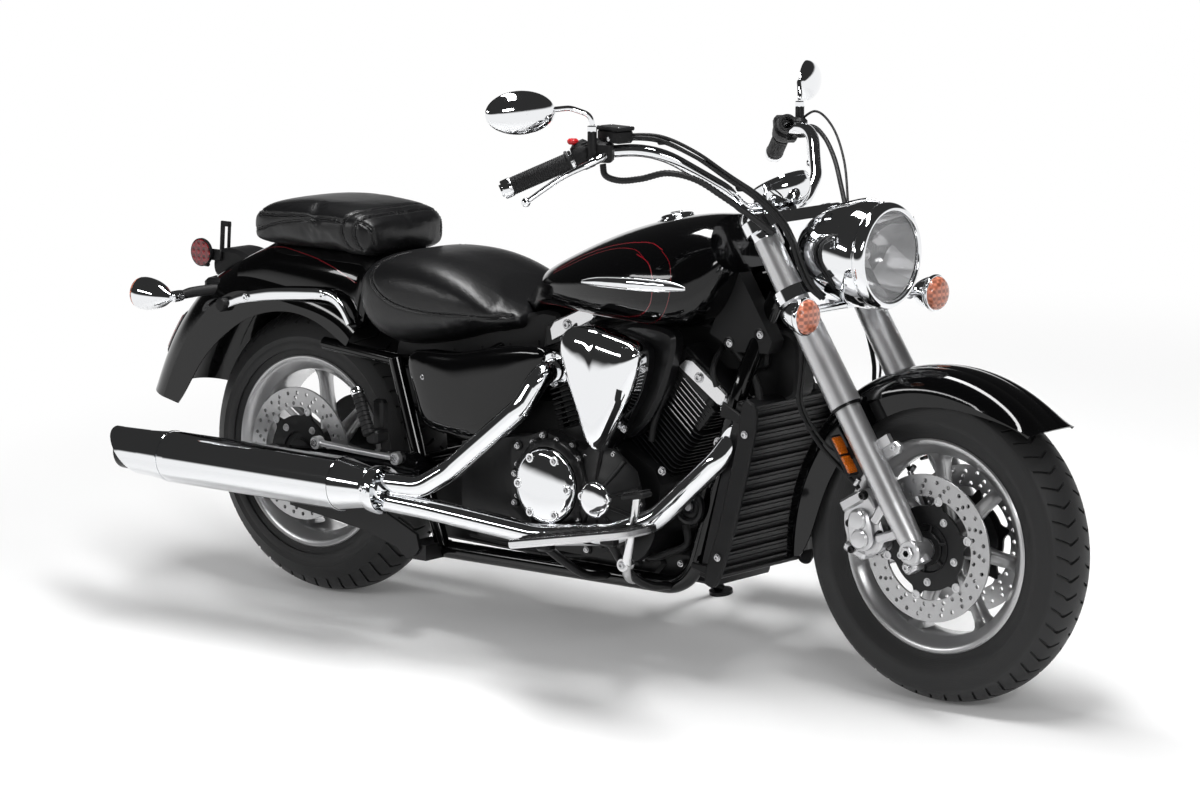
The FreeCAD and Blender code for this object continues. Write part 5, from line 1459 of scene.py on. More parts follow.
@dataclass
class Bars:
    """Grips, levers, switches, mirrors, cables and the instrument's face."""

    grip_in: Vector
    grip_out: Vector

    def along(self) -> Vector:
        """Give the right grip's direction, outwards."""
        return (self.grip_out - self.grip_in).normalized()

    def grips(self) -> None:
        """Make ribbed grips with bright end collars."""
        turn = facing(self.along())
        place = Matrix.Translation(self.grip_in) @ turn
        length = (self.grip_out - self.grip_in).length
        form = Form("grip_rubber").use(Kind.RUBBER)
        ribs = [(13.2, 0), (21.5, 0), (22.5, 1.5), (22.5, 4.5), (21, 6), (18.2, 7)]
        count = 26
        for k in range(count):
            h = 9 + (length - 30) * k / count
            ribs += [(18.3, h), (18.3, h + 2.6), (17.7, h + 3.2), (17.7, h + 3.9)]
        form.lathe(ribs + [(18.2, length - 20), (13.2, length - 20)], place, 40, loop=True)
        form.use(Kind.CHROME)
        form.lathe([(13.2, length - 20), (19, length - 20), (19.6, length - 18.5), (19.6, length - 3),
                    (18.4, length - 0.5), (13, length - 0.5), (11, length - 3), (6, length - 3),
                    (5, length - 7), (0, length - 7)], place, 40)
        form.lathe([(19, -7), (20.5, -6), (20.5, -0.5), (13.2, -0.5), (13.2, -7)], place, 40, loop=True)
        form.mirror().done("steering", "grip_rubber", ["grips"], 35)

    def levers(self) -> None:
        """Make the forged levers with ball ends."""
        line = [(214, -318, 1083), (228, -336, 1078), (218, -362, 1067), (188, -398, 1046), (160, -437, 1017),
                (141, -466, 994)]
        form = Form("lever_blade").use(Kind.CHROME).pipe(line, [9, 8.5, 7.5, 6, 5.2, 4.8], 16)
        form.lathe([(0.1, -9.5), (5.5, -8), (8.6, -4), (9.5, 0), (8.6, 4), (5.5, 8), (0.1, 9.5)],
                   moved(139, -468, 992), 24)
        form.mirror().done("steering", "chrome", ["levers"], 50)

    def switches(self) -> None:
        """Make switch housings, master cylinder and buttons."""
        turn = facing(self.along())
        hub = Matrix.Translation(self.grip_in - self.along() * 28) @ turn
        form = Form("switch_cases").use(Kind.BLACK_PLASTIC)
        form.lathe(bent([(13, -22), (23, -20), (24.5, -12), (24.5, 12), (23, 18.5), (13, 20)], 3), hub, 40)
        form.brick((34, 30, 34), hub @ moved(-6, 14, -2), 6)
        form.brick((26, 22, 30), hub @ moved(12, -16, -4), 5)
        form.lathe([(13, -50), (19.5, -50), (20, -48), (20, -30), (19.5, -28), (13, -28)], hub, 32, loop=True)
        form.lathe([(8, 1070), (9.5, 1074), (9.5, 1128), (7, 1133), (5.6, 1133)], moved(205, -342, 0), 20)
        form.brick((40, 26, 42), moved(218, -322, 1086, turned("Z", 20)), 6)
        form.mirror()
        form.brick((66, 42, 26), moved(233, -304, 1118, turned("Z", -8)), 4)
        form.brick((70, 46, 8), moved(233, -304, 1134, turned("Z", -8)), 2.5)
        form.use(Kind.RED_PLASTIC).brick((20, 20, 12), moved(157, -345, 1105), 4)
        form.use(Kind.STEEL)
        for x, y in ((-28, -16), (28, -16), (-28, 16), (28, 16)):
            form.bolt(moved(233, -304, 1137.4, turned("Z", -8)) @ moved(x, y, 0), 2.6, 0.8, 0.2)
        form.lathe([(0.1, 0), (5, 0), (5, 3), (3, 4), (0.1, 4)], moved(236, -327, 1114, ACROSS), 16)
        form.done("steering", "black_plastic", ["switch_housings"], 35)

    def mirrors(self) -> None:
        """Give the mirrors their glass and the stems their nuts."""
        form = Form("mirror_glass").use(Kind.MIRROR)
        place = moved(125, -469, 1170, turned("Z", 65) @ turned("X", 90))
        outline = [(70 * math.cos(math.tau * k / 64), 39 * math.sin(math.tau * k / 64)) for k in range(64)]
        form.plate(outline, -1.2, 0.4, place, 0.5)
        form.use(Kind.CHROME)
        form.lathe([(5.5, 1128), (10, 1128), (10.5, 1130), (10.5, 1138), (9, 1140), (5.5, 1140)],
                   moved(205, -342, 0), 6, loop=True)
        form.mirror().done("steering", "chrome")

    def cables(self) -> None:
        """Run the cables and the hose from the controls to the steering head."""
        form = Form("control_cables").use(Kind.RUBBER)
        line = [(176, -338, 1092), (206, -318, 1104), (256, -288, 1112), (312, -258, 1110), (374, -222, 1080),
                (430, -180, 1034), (474, -146, 994), (510, -122, 950), (536, -112, 905), (556, -108, 860),
                (578, -102, 820), (592, -84, 796)]
        for right, up, r in ((0, 0, 4.2), (-8, 2, 3.6), (-3, 8, 3.6), (5, 7, 3)):
            sway = [math.sin(k * 1.3 + right) * 1.6 for k in range(len(line))]
            form.pipe([(x + w, y + right, z + up + w) for (x, y, z), w in zip(line, sway)], r, 10)
        left = [(205, 322, 1076), (262, 306, 1092), (330, 262, 1078), (392, 216, 1040), (446, 168, 990),
                (490, 130, 940), (520, 114, 890), (540, 96, 840)]
        form.pipe(left, 5, 12)
        form.pipe([(214, 330, 1100), (268, 312, 1124), (352, 262, 1100), (424, 206, 1040), (476, 150, 970),
                   (500, 122, 920)], 2.6, 10)
        form.use(Kind.HOSE)
        hose = [(216, -322, 1062), (222, -322, 1040), (246, -310, 1030), (286, -288, 1034), (330, -258, 1046),
                (376, -226, 1034), (420, -192, 1000), (462, -158, 962), (500, -128, 925)]
        path = smooth_path(hose, 14)
        form.pipe(path, [7 if k % 2 else 6.1 for k in range(len(path))], 12, raw=True)
        form.use(Kind.BLACK_PLASTIC)
        for x, y, z in ((318, -256, 1108), (448, -166, 1016)):
            form.brick((16, 26, 8), moved(x, y, z, turned("Z", -32) @ turned("Y", 30)), 3)
        form.done("steering", "black_plastic", angle=40)

    def dial(self) -> None:
        """Give the instrument pod its bezel, dark dial and glass."""
        place = moved(440, 0, 958, turned("Y", -28))
        form = Form("instrument_dial").use(Kind.CHROME)
        form.lathe([(62.5, 50), (62.8, 56), (60, 60.5), (56, 61.5), (53, 60), (53, 58.2), (60, 58.2)],
                   place, 64, loop=True)
        form.use(Kind.BLACK_PLASTIC).lathe([(53.5, 58.2), (53.5, 58.6), (0.1, 58.6)], place, 48)
        form.use(Kind.SILVER)
        for x, y in ring_points(44, 24, 0):
            form.brick((6, 1.2, 0.6),
                       place @ moved(x, y, 58.9, turned("Z", math.degrees(math.atan2(y, x)))), 0.2)
        form.use(Kind.RED_PLASTIC).brick((34, 1.6, 0.8), place @ moved(10, 10, 59.3, turned("Z", 45)), 0.2)
        form.done("steering", "chrome")

    def build(self) -> None:
        """Make everything on the bars."""
        self.grips()
        self.levers()
        self.switches()
        self.mirrors()
        self.cables()
        self.dial()


class Surface:
    """The surface of a CAD node or a piece, in millimetres of the upright machine."""

    def __init__(self, thing: bpy.types.Object) -> None:
        """Read the surface once.

        Args:
            thing: The object whose faces are used.
        """
        back = PARKED.inverted() @ thing.matrix_world
        points = [back @ v.co for v in thing.data.vertices]
        self.tree = BVHTree.FromPolygons(points, [tuple(p.vertices) for p in thing.data.polygons])

    def lay(self, points: Sequence[Point], lift: float = 0.3, steps: int = 10) -> list[Vector]:
        """Run a smooth line through points and lay it on the surface.

        Args:
            points: Points near the surface.
            lift: How far the line stands off.
            steps: How many parts each span is cut into.

        Returns:
            The points of the line.
        """
        line = []
        for point in smooth_path(points, steps):
            near, normal, _, _ = self.tree.find_nearest(point)
            line.append(near + normal * lift)
        return line

    def normal(self, point: Vector) -> Vector:
        """Give the surface's outward direction near a point."""
        return self.tree.find_nearest(point)[1]

    def drop(self, x: float, y: float, top: float = 1200.0) -> float | None:
        """Give the height of the surface under a point, seen from above."""
        return hit.z if (hit := self.tree.ray_cast(Vector((x, y, top)), Vector((0, 0, -1)))[0]) else None


def ribbon(form: Form, surface: Surface, points: Sequence[Point], width: float, lift: float = 0.25,
           steps: int = 10) -> None:
    """Lay a thin flat stripe on a surface.

    Args:
        form: The piece that it joins.
        surface: What it lies on.
        points: Points near the stripe's middle.
        width: Its width.
        lift: How far it stands off.
        steps: How many parts each span is cut into.
    """
    line = surface.lay(points, lift, steps)
    rings = []
    for i, here in enumerate(line):
        run = heading(line, i)
        up = surface.normal(here)
        side = run.cross(up).normalized() * (width / 2)
        rings.append([here - side - up * 0.6, here - side * 0.9, here + side * 0.9, here + side - up * 0.6])
    form.rings(rings)


def baked(thing: bpy.types.Object) -> None:
    """Apply all modifiers of a piece.

    Args:
        thing: The piece, whose mesh is replaced.
    """
    graph = bpy.context.evaluated_depsgraph_get()
    data = bpy.data.meshes.new_from_object(thing.evaluated_get(graph), depsgraph=graph)
    thing.modifiers.clear()
    old = thing.data
    thing.data = data
    bpy.data.meshes.remove(old)


def bar_tree(size: Point, count: int, step: Point, kind: Kind) -> bpy.types.NodeTree:
    """Make a Geometry Nodes tree that lays equal bars in a row.

    Args:
        size: The bar's three sizes.
        count: How many bars there are.
        step: The way from one bar to the next.
        kind: Their finish.

    Returns:
        The node tree.
    """
    tree = bpy.data.node_groups.new("bar_row", "GeometryNodeTree")
    tree.interface.new_socket("Geometry", in_out="OUTPUT", socket_type="NodeSocketGeometry")
    for label, kind_name, value in (("Bar Size", "NodeSocketVector", size),
                                    ("Step", "NodeSocketVector", step), ("Count", "NodeSocketInt", count)):
        socket = tree.interface.new_socket(label, in_out="INPUT", socket_type=kind_name)
        socket.default_value = value
    given, out = tree.nodes.new("NodeGroupInput"), tree.nodes.new("NodeGroupOutput")
    line, cube, place, real, dressed = (tree.nodes.new(f"GeometryNode{name}") for name in (
        "MeshLine", "MeshCube", "InstanceOnPoints", "RealizeInstances", "SetMaterial"))
    dressed.inputs["Material"].default_value = kind.material()
    links = tree.links
    links.new(given.outputs["Bar Size"], cube.inputs["Size"])
    links.new(given.outputs["Count"], line.inputs["Count"])
    links.new(given.outputs["Step"], line.inputs["Offset"])
    links.new(line.outputs["Mesh"], place.inputs["Points"])
    links.new(cube.outputs["Mesh"], place.inputs["Instance"])
    links.new(place.outputs["Instances"], real.inputs["Geometry"])
    links.new(real.outputs["Geometry"], dressed.inputs["Geometry"])
    links.new(dressed.outputs["Geometry"], out.inputs["Geometry"])
    return tree


def bar_rows(name: str, rows: Sequence[tuple[Point, int, Point, Matrix]], kind: Kind, slot: str) -> None:
    """Make rows of equal bars as one piece.

    Args:
        name: The piece's name.
        rows: For each row the bar's size, the count, the step and the first bar's place.
        kind: Their finish.
        slot: The record's material slot.
    """
    mesh = bmesh.new()
    for size, count, step, place in rows:
        thing = linked(name, bpy.data.meshes.new(name))
        thing.modifiers.new("row", "NODES").node_group = bar_tree(size, count, step, kind)
        baked(thing)
        row = thing.data
        row.transform(PARKED @ place)
        mesh.from_mesh(row)
        bpy.data.objects.remove(thing)
        bpy.data.meshes.remove(row)
    bmesh.ops.recalc_face_normals(mesh, faces=mesh.faces)
    data = meshed(name, mesh)
    data.materials.clear()
    data.materials.append(kind.material())
    carried(linked(name, data), "chassis", slot)


def stitch_tree(kind: Kind) -> bpy.types.NodeTree:
    """Make the Geometry Nodes tree that sets stitches along curves.

    Args:
        kind: The thread's finish.

    Returns:
        The tree, with the inputs Pitch, Length and Thickness.
    """
    tree = bpy.data.node_groups.new("stitch_row", "GeometryNodeTree")
    tree.interface.new_socket("Geometry", in_out="INPUT", socket_type="NodeSocketGeometry")
    for name in ("Pitch", "Length", "Thickness"):
        tree.interface.new_socket(name, in_out="INPUT", socket_type="NodeSocketFloat")
    tree.interface.new_socket("Geometry", in_out="OUTPUT", socket_type="NodeSocketGeometry")
    nodes, links = tree.nodes, tree.links
    enter, leave = nodes.new("NodeGroupInput"), nodes.new("NodeGroupOutput")
    points = nodes.new("GeometryNodeCurveToPoints")
    points.mode = "LENGTH"
    thread = nodes.new("GeometryNodeMeshUVSphere")
    thread.inputs["Segments"].default_value = 8
    thread.inputs["Rings"].default_value = 5
    thread.inputs["Radius"].default_value = 0.5
    size = nodes.new("ShaderNodeCombineXYZ")
    place = nodes.new("GeometryNodeInstanceOnPoints")
    turn = nodes.new("FunctionNodeAlignRotationToVector")
    turn.axis = "Z"
    real = nodes.new("GeometryNodeRealizeInstances")
    finish = nodes.new("GeometryNodeSetMaterial")
    finish.inputs["Material"].default_value = kind.material()
    links.new(enter.outputs["Geometry"], points.inputs["Curve"])
    links.new(enter.outputs["Pitch"], points.inputs["Length"])
    links.new(points.outputs["Points"], place.inputs["Points"])
    links.new(points.outputs["Tangent"], turn.inputs["Vector"])
    links.new(turn.outputs["Rotation"], place.inputs["Rotation"])
    links.new(thread.outputs["Mesh"], place.inputs["Instance"])
    links.new(enter.outputs["Thickness"], size.inputs["X"])
    links.new(enter.outputs["Thickness"], size.inputs["Y"])
    links.new(enter.outputs["Length"], size.inputs["Z"])
    links.new(size.outputs[0], place.inputs["Scale"])
    links.new(place.outputs["Instances"], real.inputs["Geometry"])
    links.new(real.outputs["Geometry"], finish.inputs["Geometry"])
    links.new(finish.outputs["Geometry"], leave.inputs["Geometry"])
    return tree


def stitched(name: str, rows: Sequence[Sequence[Vector]], body: str, slot: str, kind: Kind = Kind.THREAD,
             pitch: float = 6.5, length: float = 4.6, thick: float = 1.3) -> bpy.types.Object:
    """Set stitches along lines of the upright machine.

    Args:
        name: The piece's name.
        rows: The lines of stitches.
        body: The body that carries them.
        slot: The record's material slot.
        kind: The thread's finish.
        pitch: Millimetres from stitch to stitch.
        length: Millimetres of thread that show.
        thick: The thread's thickness.

    Returns:
        The piece, a plain mesh.
    """
    curve = bpy.data.curves.new(name + "_rows", "CURVE")
    curve.dimensions = "3D"
    for row in rows:
        spline = curve.splines.new("POLY")
        spline.points.add(len(row) - 1)
        for point, here in zip(spline.points, row):
            point.co = (*(PARKED @ here), 1)
    guide = linked(name + "_rows", curve)
    tree = stitch_tree(kind)
    modifier = guide.modifiers.new("stitches", "NODES")
    modifier.node_group = tree
    sizes = {"Pitch": pitch, "Length": length, "Thickness": thick}
    for item in tree.interface.items_tree:
        if item.name in sizes:
            modifier[item.identifier] = sizes[item.name] / 1000
    guide.update_tag()
    graph = bpy.context.evaluated_depsgraph_get()
    data = bpy.data.meshes.new_from_object(guide.evaluated_get(graph), depsgraph=graph)
    guide.modifiers.clear()
    bpy.data.objects.remove(guide)
    bpy.data.curves.remove(curve)
    data.name = name
    return carried(linked(name, data), body, slot)


@dataclass
class Cushion:
    """A leather seat: shaped, swollen by cloth pressure, then pinched along its seams."""

    name: str
    node: str
    stations: tuple[tuple[float, float, float, float], ...]
    seams: tuple[tuple[Point, ...], ...]
    square: float = 3.4
    dip: float = 0.0
    cap: float = 7.0
    groove: float = 4.0
    groove_reach: float = 9.0
    fill: float = 0.75
    taut: float = 0.45
    around: int = 72
    voxel: float = 0.0055
    pressure: float = 4.0
    frames: int = 20
    rest_gap: float = 1.0
    side_gap: float = 0.5
    piping_radius: float = 1.5
    stitch_reach: float = 6.0
    stitch_lift: float = 0.35

    def ring(self, x: float, half: float, top: float, bottom: float) -> list[Vector]:
        """Give a rounded box section across the machine.

        Args:
            x: Where the section lies.
            half: Half its width.
            top: Its upper height.
            bottom: Its lower height.

        Returns:
            The section's points.
        """
        middle, rise = (top + bottom) / 2, (top - bottom) / 2
        points = []
        for k in range(self.around):
            a = math.tau * k / self.around
            c, n = math.cos(a), math.sin(a)
            y = rounded(c, 2 / self.square) * half
            z = middle + rounded(n, 2 / self.square) * rise
            z -= self.dip * max(0, n) * (1 - (y / half) ** 2)
            points.append(Vector((x, y, z)))
        return points

    def shell(self) -> bpy.types.Object:
        """Make the closed starting form, even in its faces.

        Returns:
            The object, in parked metres.
        """
        form = Form(self.name).use(Kind.LEATHER)
        keys = smooth_path([(x, half, top) for x, half, top, _ in self.stations], 8)
        lows = smooth_path([(x, bottom, 0) for x, _, _, bottom in self.stations], 8)
        rings = [self.ring(k.x, k.y, k.z, low.y) for k, low in zip(keys, lows)]
        for end, other in ((0, 1), (-1, -2)):
            centre = sum(rings[end], Vector()) / self.around
            out = (centre - sum(rings[other], Vector()) / self.around).normalized()
            caps = [[centre + (p - centre) * share + out * grow for p in rings[end]]
                    for share, grow in ((0.93, 7), (0.72, 13), (0.4, 16), (0.1, 17))]
            rings = [*reversed(caps), *rings] if end == 0 else [*rings, *caps]
        form.rings(rings)
        bmesh.ops.recalc_face_normals(form.mesh, faces=form.mesh.faces)
        form.mesh.transform(PARKED)
        data = meshed(self.name, form.mesh)
        data.materials.append(Kind.LEATHER.material())
        thing = linked(self.name, data)
        remesh = thing.modifiers.new("even", "REMESH")
        remesh.mode = "VOXEL"
        remesh.voxel_size = self.voxel
        baked(thing)
        return thing

    def swell(self, thing: bpy.types.Object) -> None:
        """Let cloth pressure fill the cover, with a cap on how far a point moves.

        Args:
            thing: The cover.
        """
        start = [v.co.copy() for v in thing.data.vertices]
        cloth = thing.modifiers.new("cover", "CLOTH")
        settings = cloth.settings
        settings.use_pressure = True
        settings.uniform_pressure_force = self.pressure
        settings.quality = 4
        settings.effector_weights.gravity = 0
        settings.tension_stiffness = 40
        settings.bending_stiffness = 4
        cloth.point_cache.frame_start, cloth.point_cache.frame_end = 1, self.frames
        scene = bpy.context.scene
        for frame in range(1, self.frames + 1):
            scene.frame_set(frame)
        baked(thing)
        scene.frame_set(1)
        for vert, before in zip(thing.data.vertices, start):
            move = (vert.co - before) * self.taut
            vert.co = before + move * min(1, self.cap / 1000 / max(move.length, 1e-9))

    def settle(self, thing: bpy.types.Object, below: Surface, neighbours: Sequence[Surface]) -> None:
        """Rest the underside on what is below and keep clear of the neighbours.

        Args:
            thing: The cover.
            below: What it rests on.
            neighbours: What it keeps clear of.
        """
        back = PARKED.inverted()
        for vert in thing.data.vertices:
            here = back @ vert.co
            floor = below.drop(here.x, here.y)
            if floor is not None and here.z < floor + self.rest_gap:
                here.z = floor + self.rest_gap
                vert.co = PARKED @ here
            for other in neighbours:
                near, normal, _, distance = other.tree.find_nearest(here)
                if near is not None and distance < 40 and (here - near).dot(normal) < self.side_gap:
                    here = near + normal * self.side_gap
                    vert.co = PARKED @ here

    def pinch(self, thing: bpy.types.Object) -> list[list[Vector]]:
        """Press a groove along each seam and give the seams as they lie.

        Args:
            thing: The cover.

        Returns:
            The seams, as lines on its surface.
        """
        surface = Surface(thing)
        lines = [surface.lay(seam, 0, 14) for seam in self.seams]
        tree = KDTree(sum(len(line) for line in lines))
        for index, point in enumerate(q for line in lines for q in line):
            tree.insert(point, index)
        tree.balance()
        back = PARKED.inverted()
        for vert in thing.data.vertices:
            here = back @ vert.co
            _, _, distance = tree.find(here)
            if distance < self.groove_reach:
                share = (1 - distance / self.groove_reach) ** 2
                vert.co = PARKED @ (here - surface.normal(here) * (self.groove * share))
        return lines

    def build(self, below: Surface, neighbours: Sequence[Surface]) -> Surface:
        """Make the cushion with its seams, piping and stitches, and give its surface.

        Args:
            below: What it rests on.
            neighbours: What it keeps clear of.

        Returns:
            The finished cover's surface.
        """
        thing = self.shell()
        self.swell(thing)
        self.settle(thing, below, neighbours)
        fine = thing.modifiers.new("fine", "SUBSURF")
        fine.levels = fine.render_levels = 1
        baked(thing)
        lines = self.pinch(thing)
        thing.data.polygons.foreach_set("use_smooth", [True] * len(thing.data.polygons))
        carried(thing, "chassis", "leather", [self.node])
        surface = Surface(thing)
        form = Form(self.name + "_piping").use(Kind.LEATHER)
        rows = []
        for line in lines:
            laid = [surface.tree.find_nearest(q)[0] for q in line]
            form.pipe([q + surface.normal(q) * 0.4 for q in laid], self.piping_radius, 8, raw=True)
            for side in (-self.stitch_reach, self.stitch_reach):
                row = []
                for i, here in enumerate(laid):
                    run = heading(laid, i)
                    near, normal, _, _ = surface.tree.find_nearest(
                        here + run.cross(surface.normal(here)) * side)
                    row.append(near + normal * self.stitch_lift)
                rows.append(row)
        form.done("chassis", "leather")
        stitched(self.name + "_stitches", rows, "chassis", "leather")
        return surface


def both_sides(*lines: tuple[Point, ...]) -> tuple[tuple[Point, ...], ...]:
    """Give lines and their mirror images."""
    return (*lines, *(tuple((x, -y, z) for x, y, z in line) for line in lines))


@dataclass
class Seats:
    """Rider seat and passenger seat."""

    fender: Surface
    tank: Surface

    def build(self) -> Surface:
        """Make the cushions, each clear of the other, and give the raised crown's surface.

        Returns:
            The crown's surface.
        """
        rider = Cushion(
            "rider_cushion", "rider_seat",
            ((-612, 150, 772, 650), (-584, 168, 796, 618), (-540, 177, 808, 598), (-480, 182, 810, 600),
             (-420, 182, 804, 612), (-360, 178, 788, 628), (-300, 168, 762, 646), (-245, 146, 726, 656),
             (-200, 112, 704, 660)),
            both_sides(((-524, -84, 806), (-546, -126, 798), (-564, -152, 772), (-564, -165, 748),
                        (-541, -174, 723), (-497, -178, 702), (-425, -180, 690), (-353, -176, 686),
                        (-300, -164, 686), (-255, -140, 688), (-216, -108, 688)),
                       ((-592, -128, 782), (-612, -150, 745), (-618, -160, 705), (-608, -166, 665),
                        (-584, -170, 630), (-556, -168, 602))),
            square=2.9, dip=9, cap=6)
        rest = rider.build(self.fender, [self.tank])
        band_a = ((-658, -136, 784), (-668, -143, 808), (-676, -144, 832), (-676, -136, 852),
                  (-666, -118, 872), (-656, -84, 882), (-652, -35, 886), (-650, 0, 887))
        band_b = tuple((x + 34, y, z) for x, y, z in band_a)
        across = (tuple((x, -y, z) for x, y, z in reversed(line[:-1])) for line in (band_a, band_b))
        bands = [(*line, *other) for line, other in zip((band_a, band_b), across)]
        sides = both_sides(((-950, -60, 872), (-944, -104, 864), (-926, -128, 856), (-880, -138, 858),
                            (-800, -139, 862), (-720, -139, 862), (-676, -138, 858)),
                           ((-956, -110, 818), (-926, -134, 824), (-880, -144, 838), (-820, -144, 850),
                            (-760, -143, 856)),
                           ((-640, -132, 864), (-616, -124, 856), (-600, -116, 838), (-590, -112, 812)))
        Cushion("passenger_cushion", "passenger_seat",
                ((-948, 132, 864, 788), (-922, 139, 879, 786), (-870, 141, 886, 788), (-800, 142, 887, 788),
                 (-730, 141, 885, 787), (-670, 139, 881, 782), (-634, 132, 873, 780), (-616, 122, 862, 784)),
                (*bands, *sides), square=4.2, cap=6).build(self.fender, [rest])
        return self.base()

    def base(self) -> Surface:
        """Raise the fender's painted crown to the passenger seat.

        Returns:
            The crown's surface.
        """
        form = Form("fender_crown").use(Kind.BLACK_PAINT)
        rings = []
        for k in range(25):
            x = -1024 + k * 17
            share = min(1, (x + 1024) / 90)
            top = 798 * share + ((self.fender.drop(x, 0) or 735) + 1) * (1 - share)
            upper, lower = [], []
            for j in range(33):
                turn = math.pi * (1 - j / 32)
                y = 112 * math.cos(turn)
                low = (self.fender.drop(x, y) or 700) - 0.5
                up = abs(math.sin(turn)) ** 0.62
                upper.append(Vector((x, y, low + max(0.8, (top - low)) * up if j not in (0, 32) else low)))
                lower.append(Vector((x, y, low - 0.4)))
            rings.append(upper + list(reversed(lower)))
        return Surface(form.rings(rings).done("chassis", "black_paint", angle=60))


@dataclass
class Tank:
    """What is on the tank: pinstripes, emblem bar, filler cap and seam strip."""

    surface: Surface

    def stripes(self) -> None:
        """Lay the fine red lines on both sides."""
        form = Form("tank_pinstripes").use(Kind.PINSTRIPE)
        upper = ((-96, -106, 794), (-60, -116, 812), (-32, -118, 830), (28, -124, 853), (98, -132, 872),
                 (158, -140, 882), (200, -146, 884), (237, -158, 874))
        second = ((-90, -112, 790), (-50, -124, 810), (-5, -129, 829), (43, -133, 847), (111, -142, 864),
                  (168, -156, 866), (196, -168, 856))
        inner = ((174, -164, 861), (215, -176, 846), (234, -187, 815), (228, -186, 766), (192, -175, 738),
                 (103, -152, 726), (20, -129, 718), (-70, -110, 720), (-150, -90, 730))
        outer = ((237, -161, 873), (267, -172, 850), (277, -182, 798), (252, -174, 745), (200, -150, 722),
                 (103, -140, 716), (20, -122, 712), (-70, -104, 715), (-150, -86, 724))
        for line, width in ((upper, 2.2), (second, 1.3), (inner, 2.2), (outer, 1.3)):
            ribbon(form, self.surface, line, width)
        form.mirror().done("chassis", "black_paint", fresh_normals=False)

    def emblem(self) -> None:
        """Set a slim plain bright bar on each side."""
        form = Form("tank_emblem").use(Kind.CHROME)
        line = self.surface.lay(((30, -166, 791), (80, -176, 797), (160, -186, 802), (225, -189, 804),
                                 (275, -180, 804), (308, -172, 801)), 0, 12)
        rings = []
        for i, here in enumerate(line):
            t = i / (len(line) - 1)
            run = heading(line, i)
            up = self.surface.normal(here)
            side = run.cross(up).normalized()
            wide = 13.5 * max(0, math.sin(math.pi * min(1, t * 0.92 + 0.04))) ** 0.7 + 0.8
            high = 2 + 3.2 * math.sin(math.pi * t) ** 0.5
            rings.append([here + side * (wide * a) + up * (high * b - 0.6) for a, b in (
                (-1, 0), (-0.95, 0.5), (-0.78, 0.72), (-0.66, 0.6), (-0.5, 0.9), (0, 1), (0.5, 0.9),
                (0.66, 0.6), (0.78, 0.72), (0.95, 0.5), (1, 0))])
        form.rings(rings)
        form.mirror().done("chassis", "chrome", angle=50)

    def trim(self) -> None:
        """Set the filler cap and the bright strips along the lower seam."""
        form = Form("tank_trim").use(Kind.CHROME)
        top = self.surface.drop(150, 0) or 920
        place = moved(150, 0, top - 3, turned("Y", -12))
        form.lathe([(0.1, 14), (26, 13.2), (33, 11), (36, 8), (36.6, 5), (38, 4.2), (42, 3.4), (45, 1.8),
                    (46, -3), (0.1, -3)], place, 64)
        form.brick((30, 9, 5), place @ moved(0, 0, 14.5), 2)
        form.done("chassis", "chrome", angle=40)
        strip = Form("tank_seam_strip").use(Kind.BRIGHT)
        ribbon(strip, self.surface, ((20, -118, 712), (70, -122, 711), (140, -128, 711), (196, -134, 716)),
               5, 0.6)
        strip.mirror().done("chassis", "chrome", fresh_normals=False)

    def build(self) -> None:
        """Make everything on the tank."""
        self.stripes()
        self.emblem()
        self.trim()


def bank_place(tilt: float, along: float = 0.0, up: float = 0.0) -> Matrix:
    """Give a place on a cylinder bank: local X along its fins, local Z up its bore.

    Args:
        tilt: The bank's lean from upright, in degrees, forward.
        along: Millimetres along the fins.
        up: Millimetres up the bore from the crankshaft.

    Returns:
        The placement.
    """
    return moved(60, 0, 345, turned("Y", tilt)) @ moved(along, 0, up)


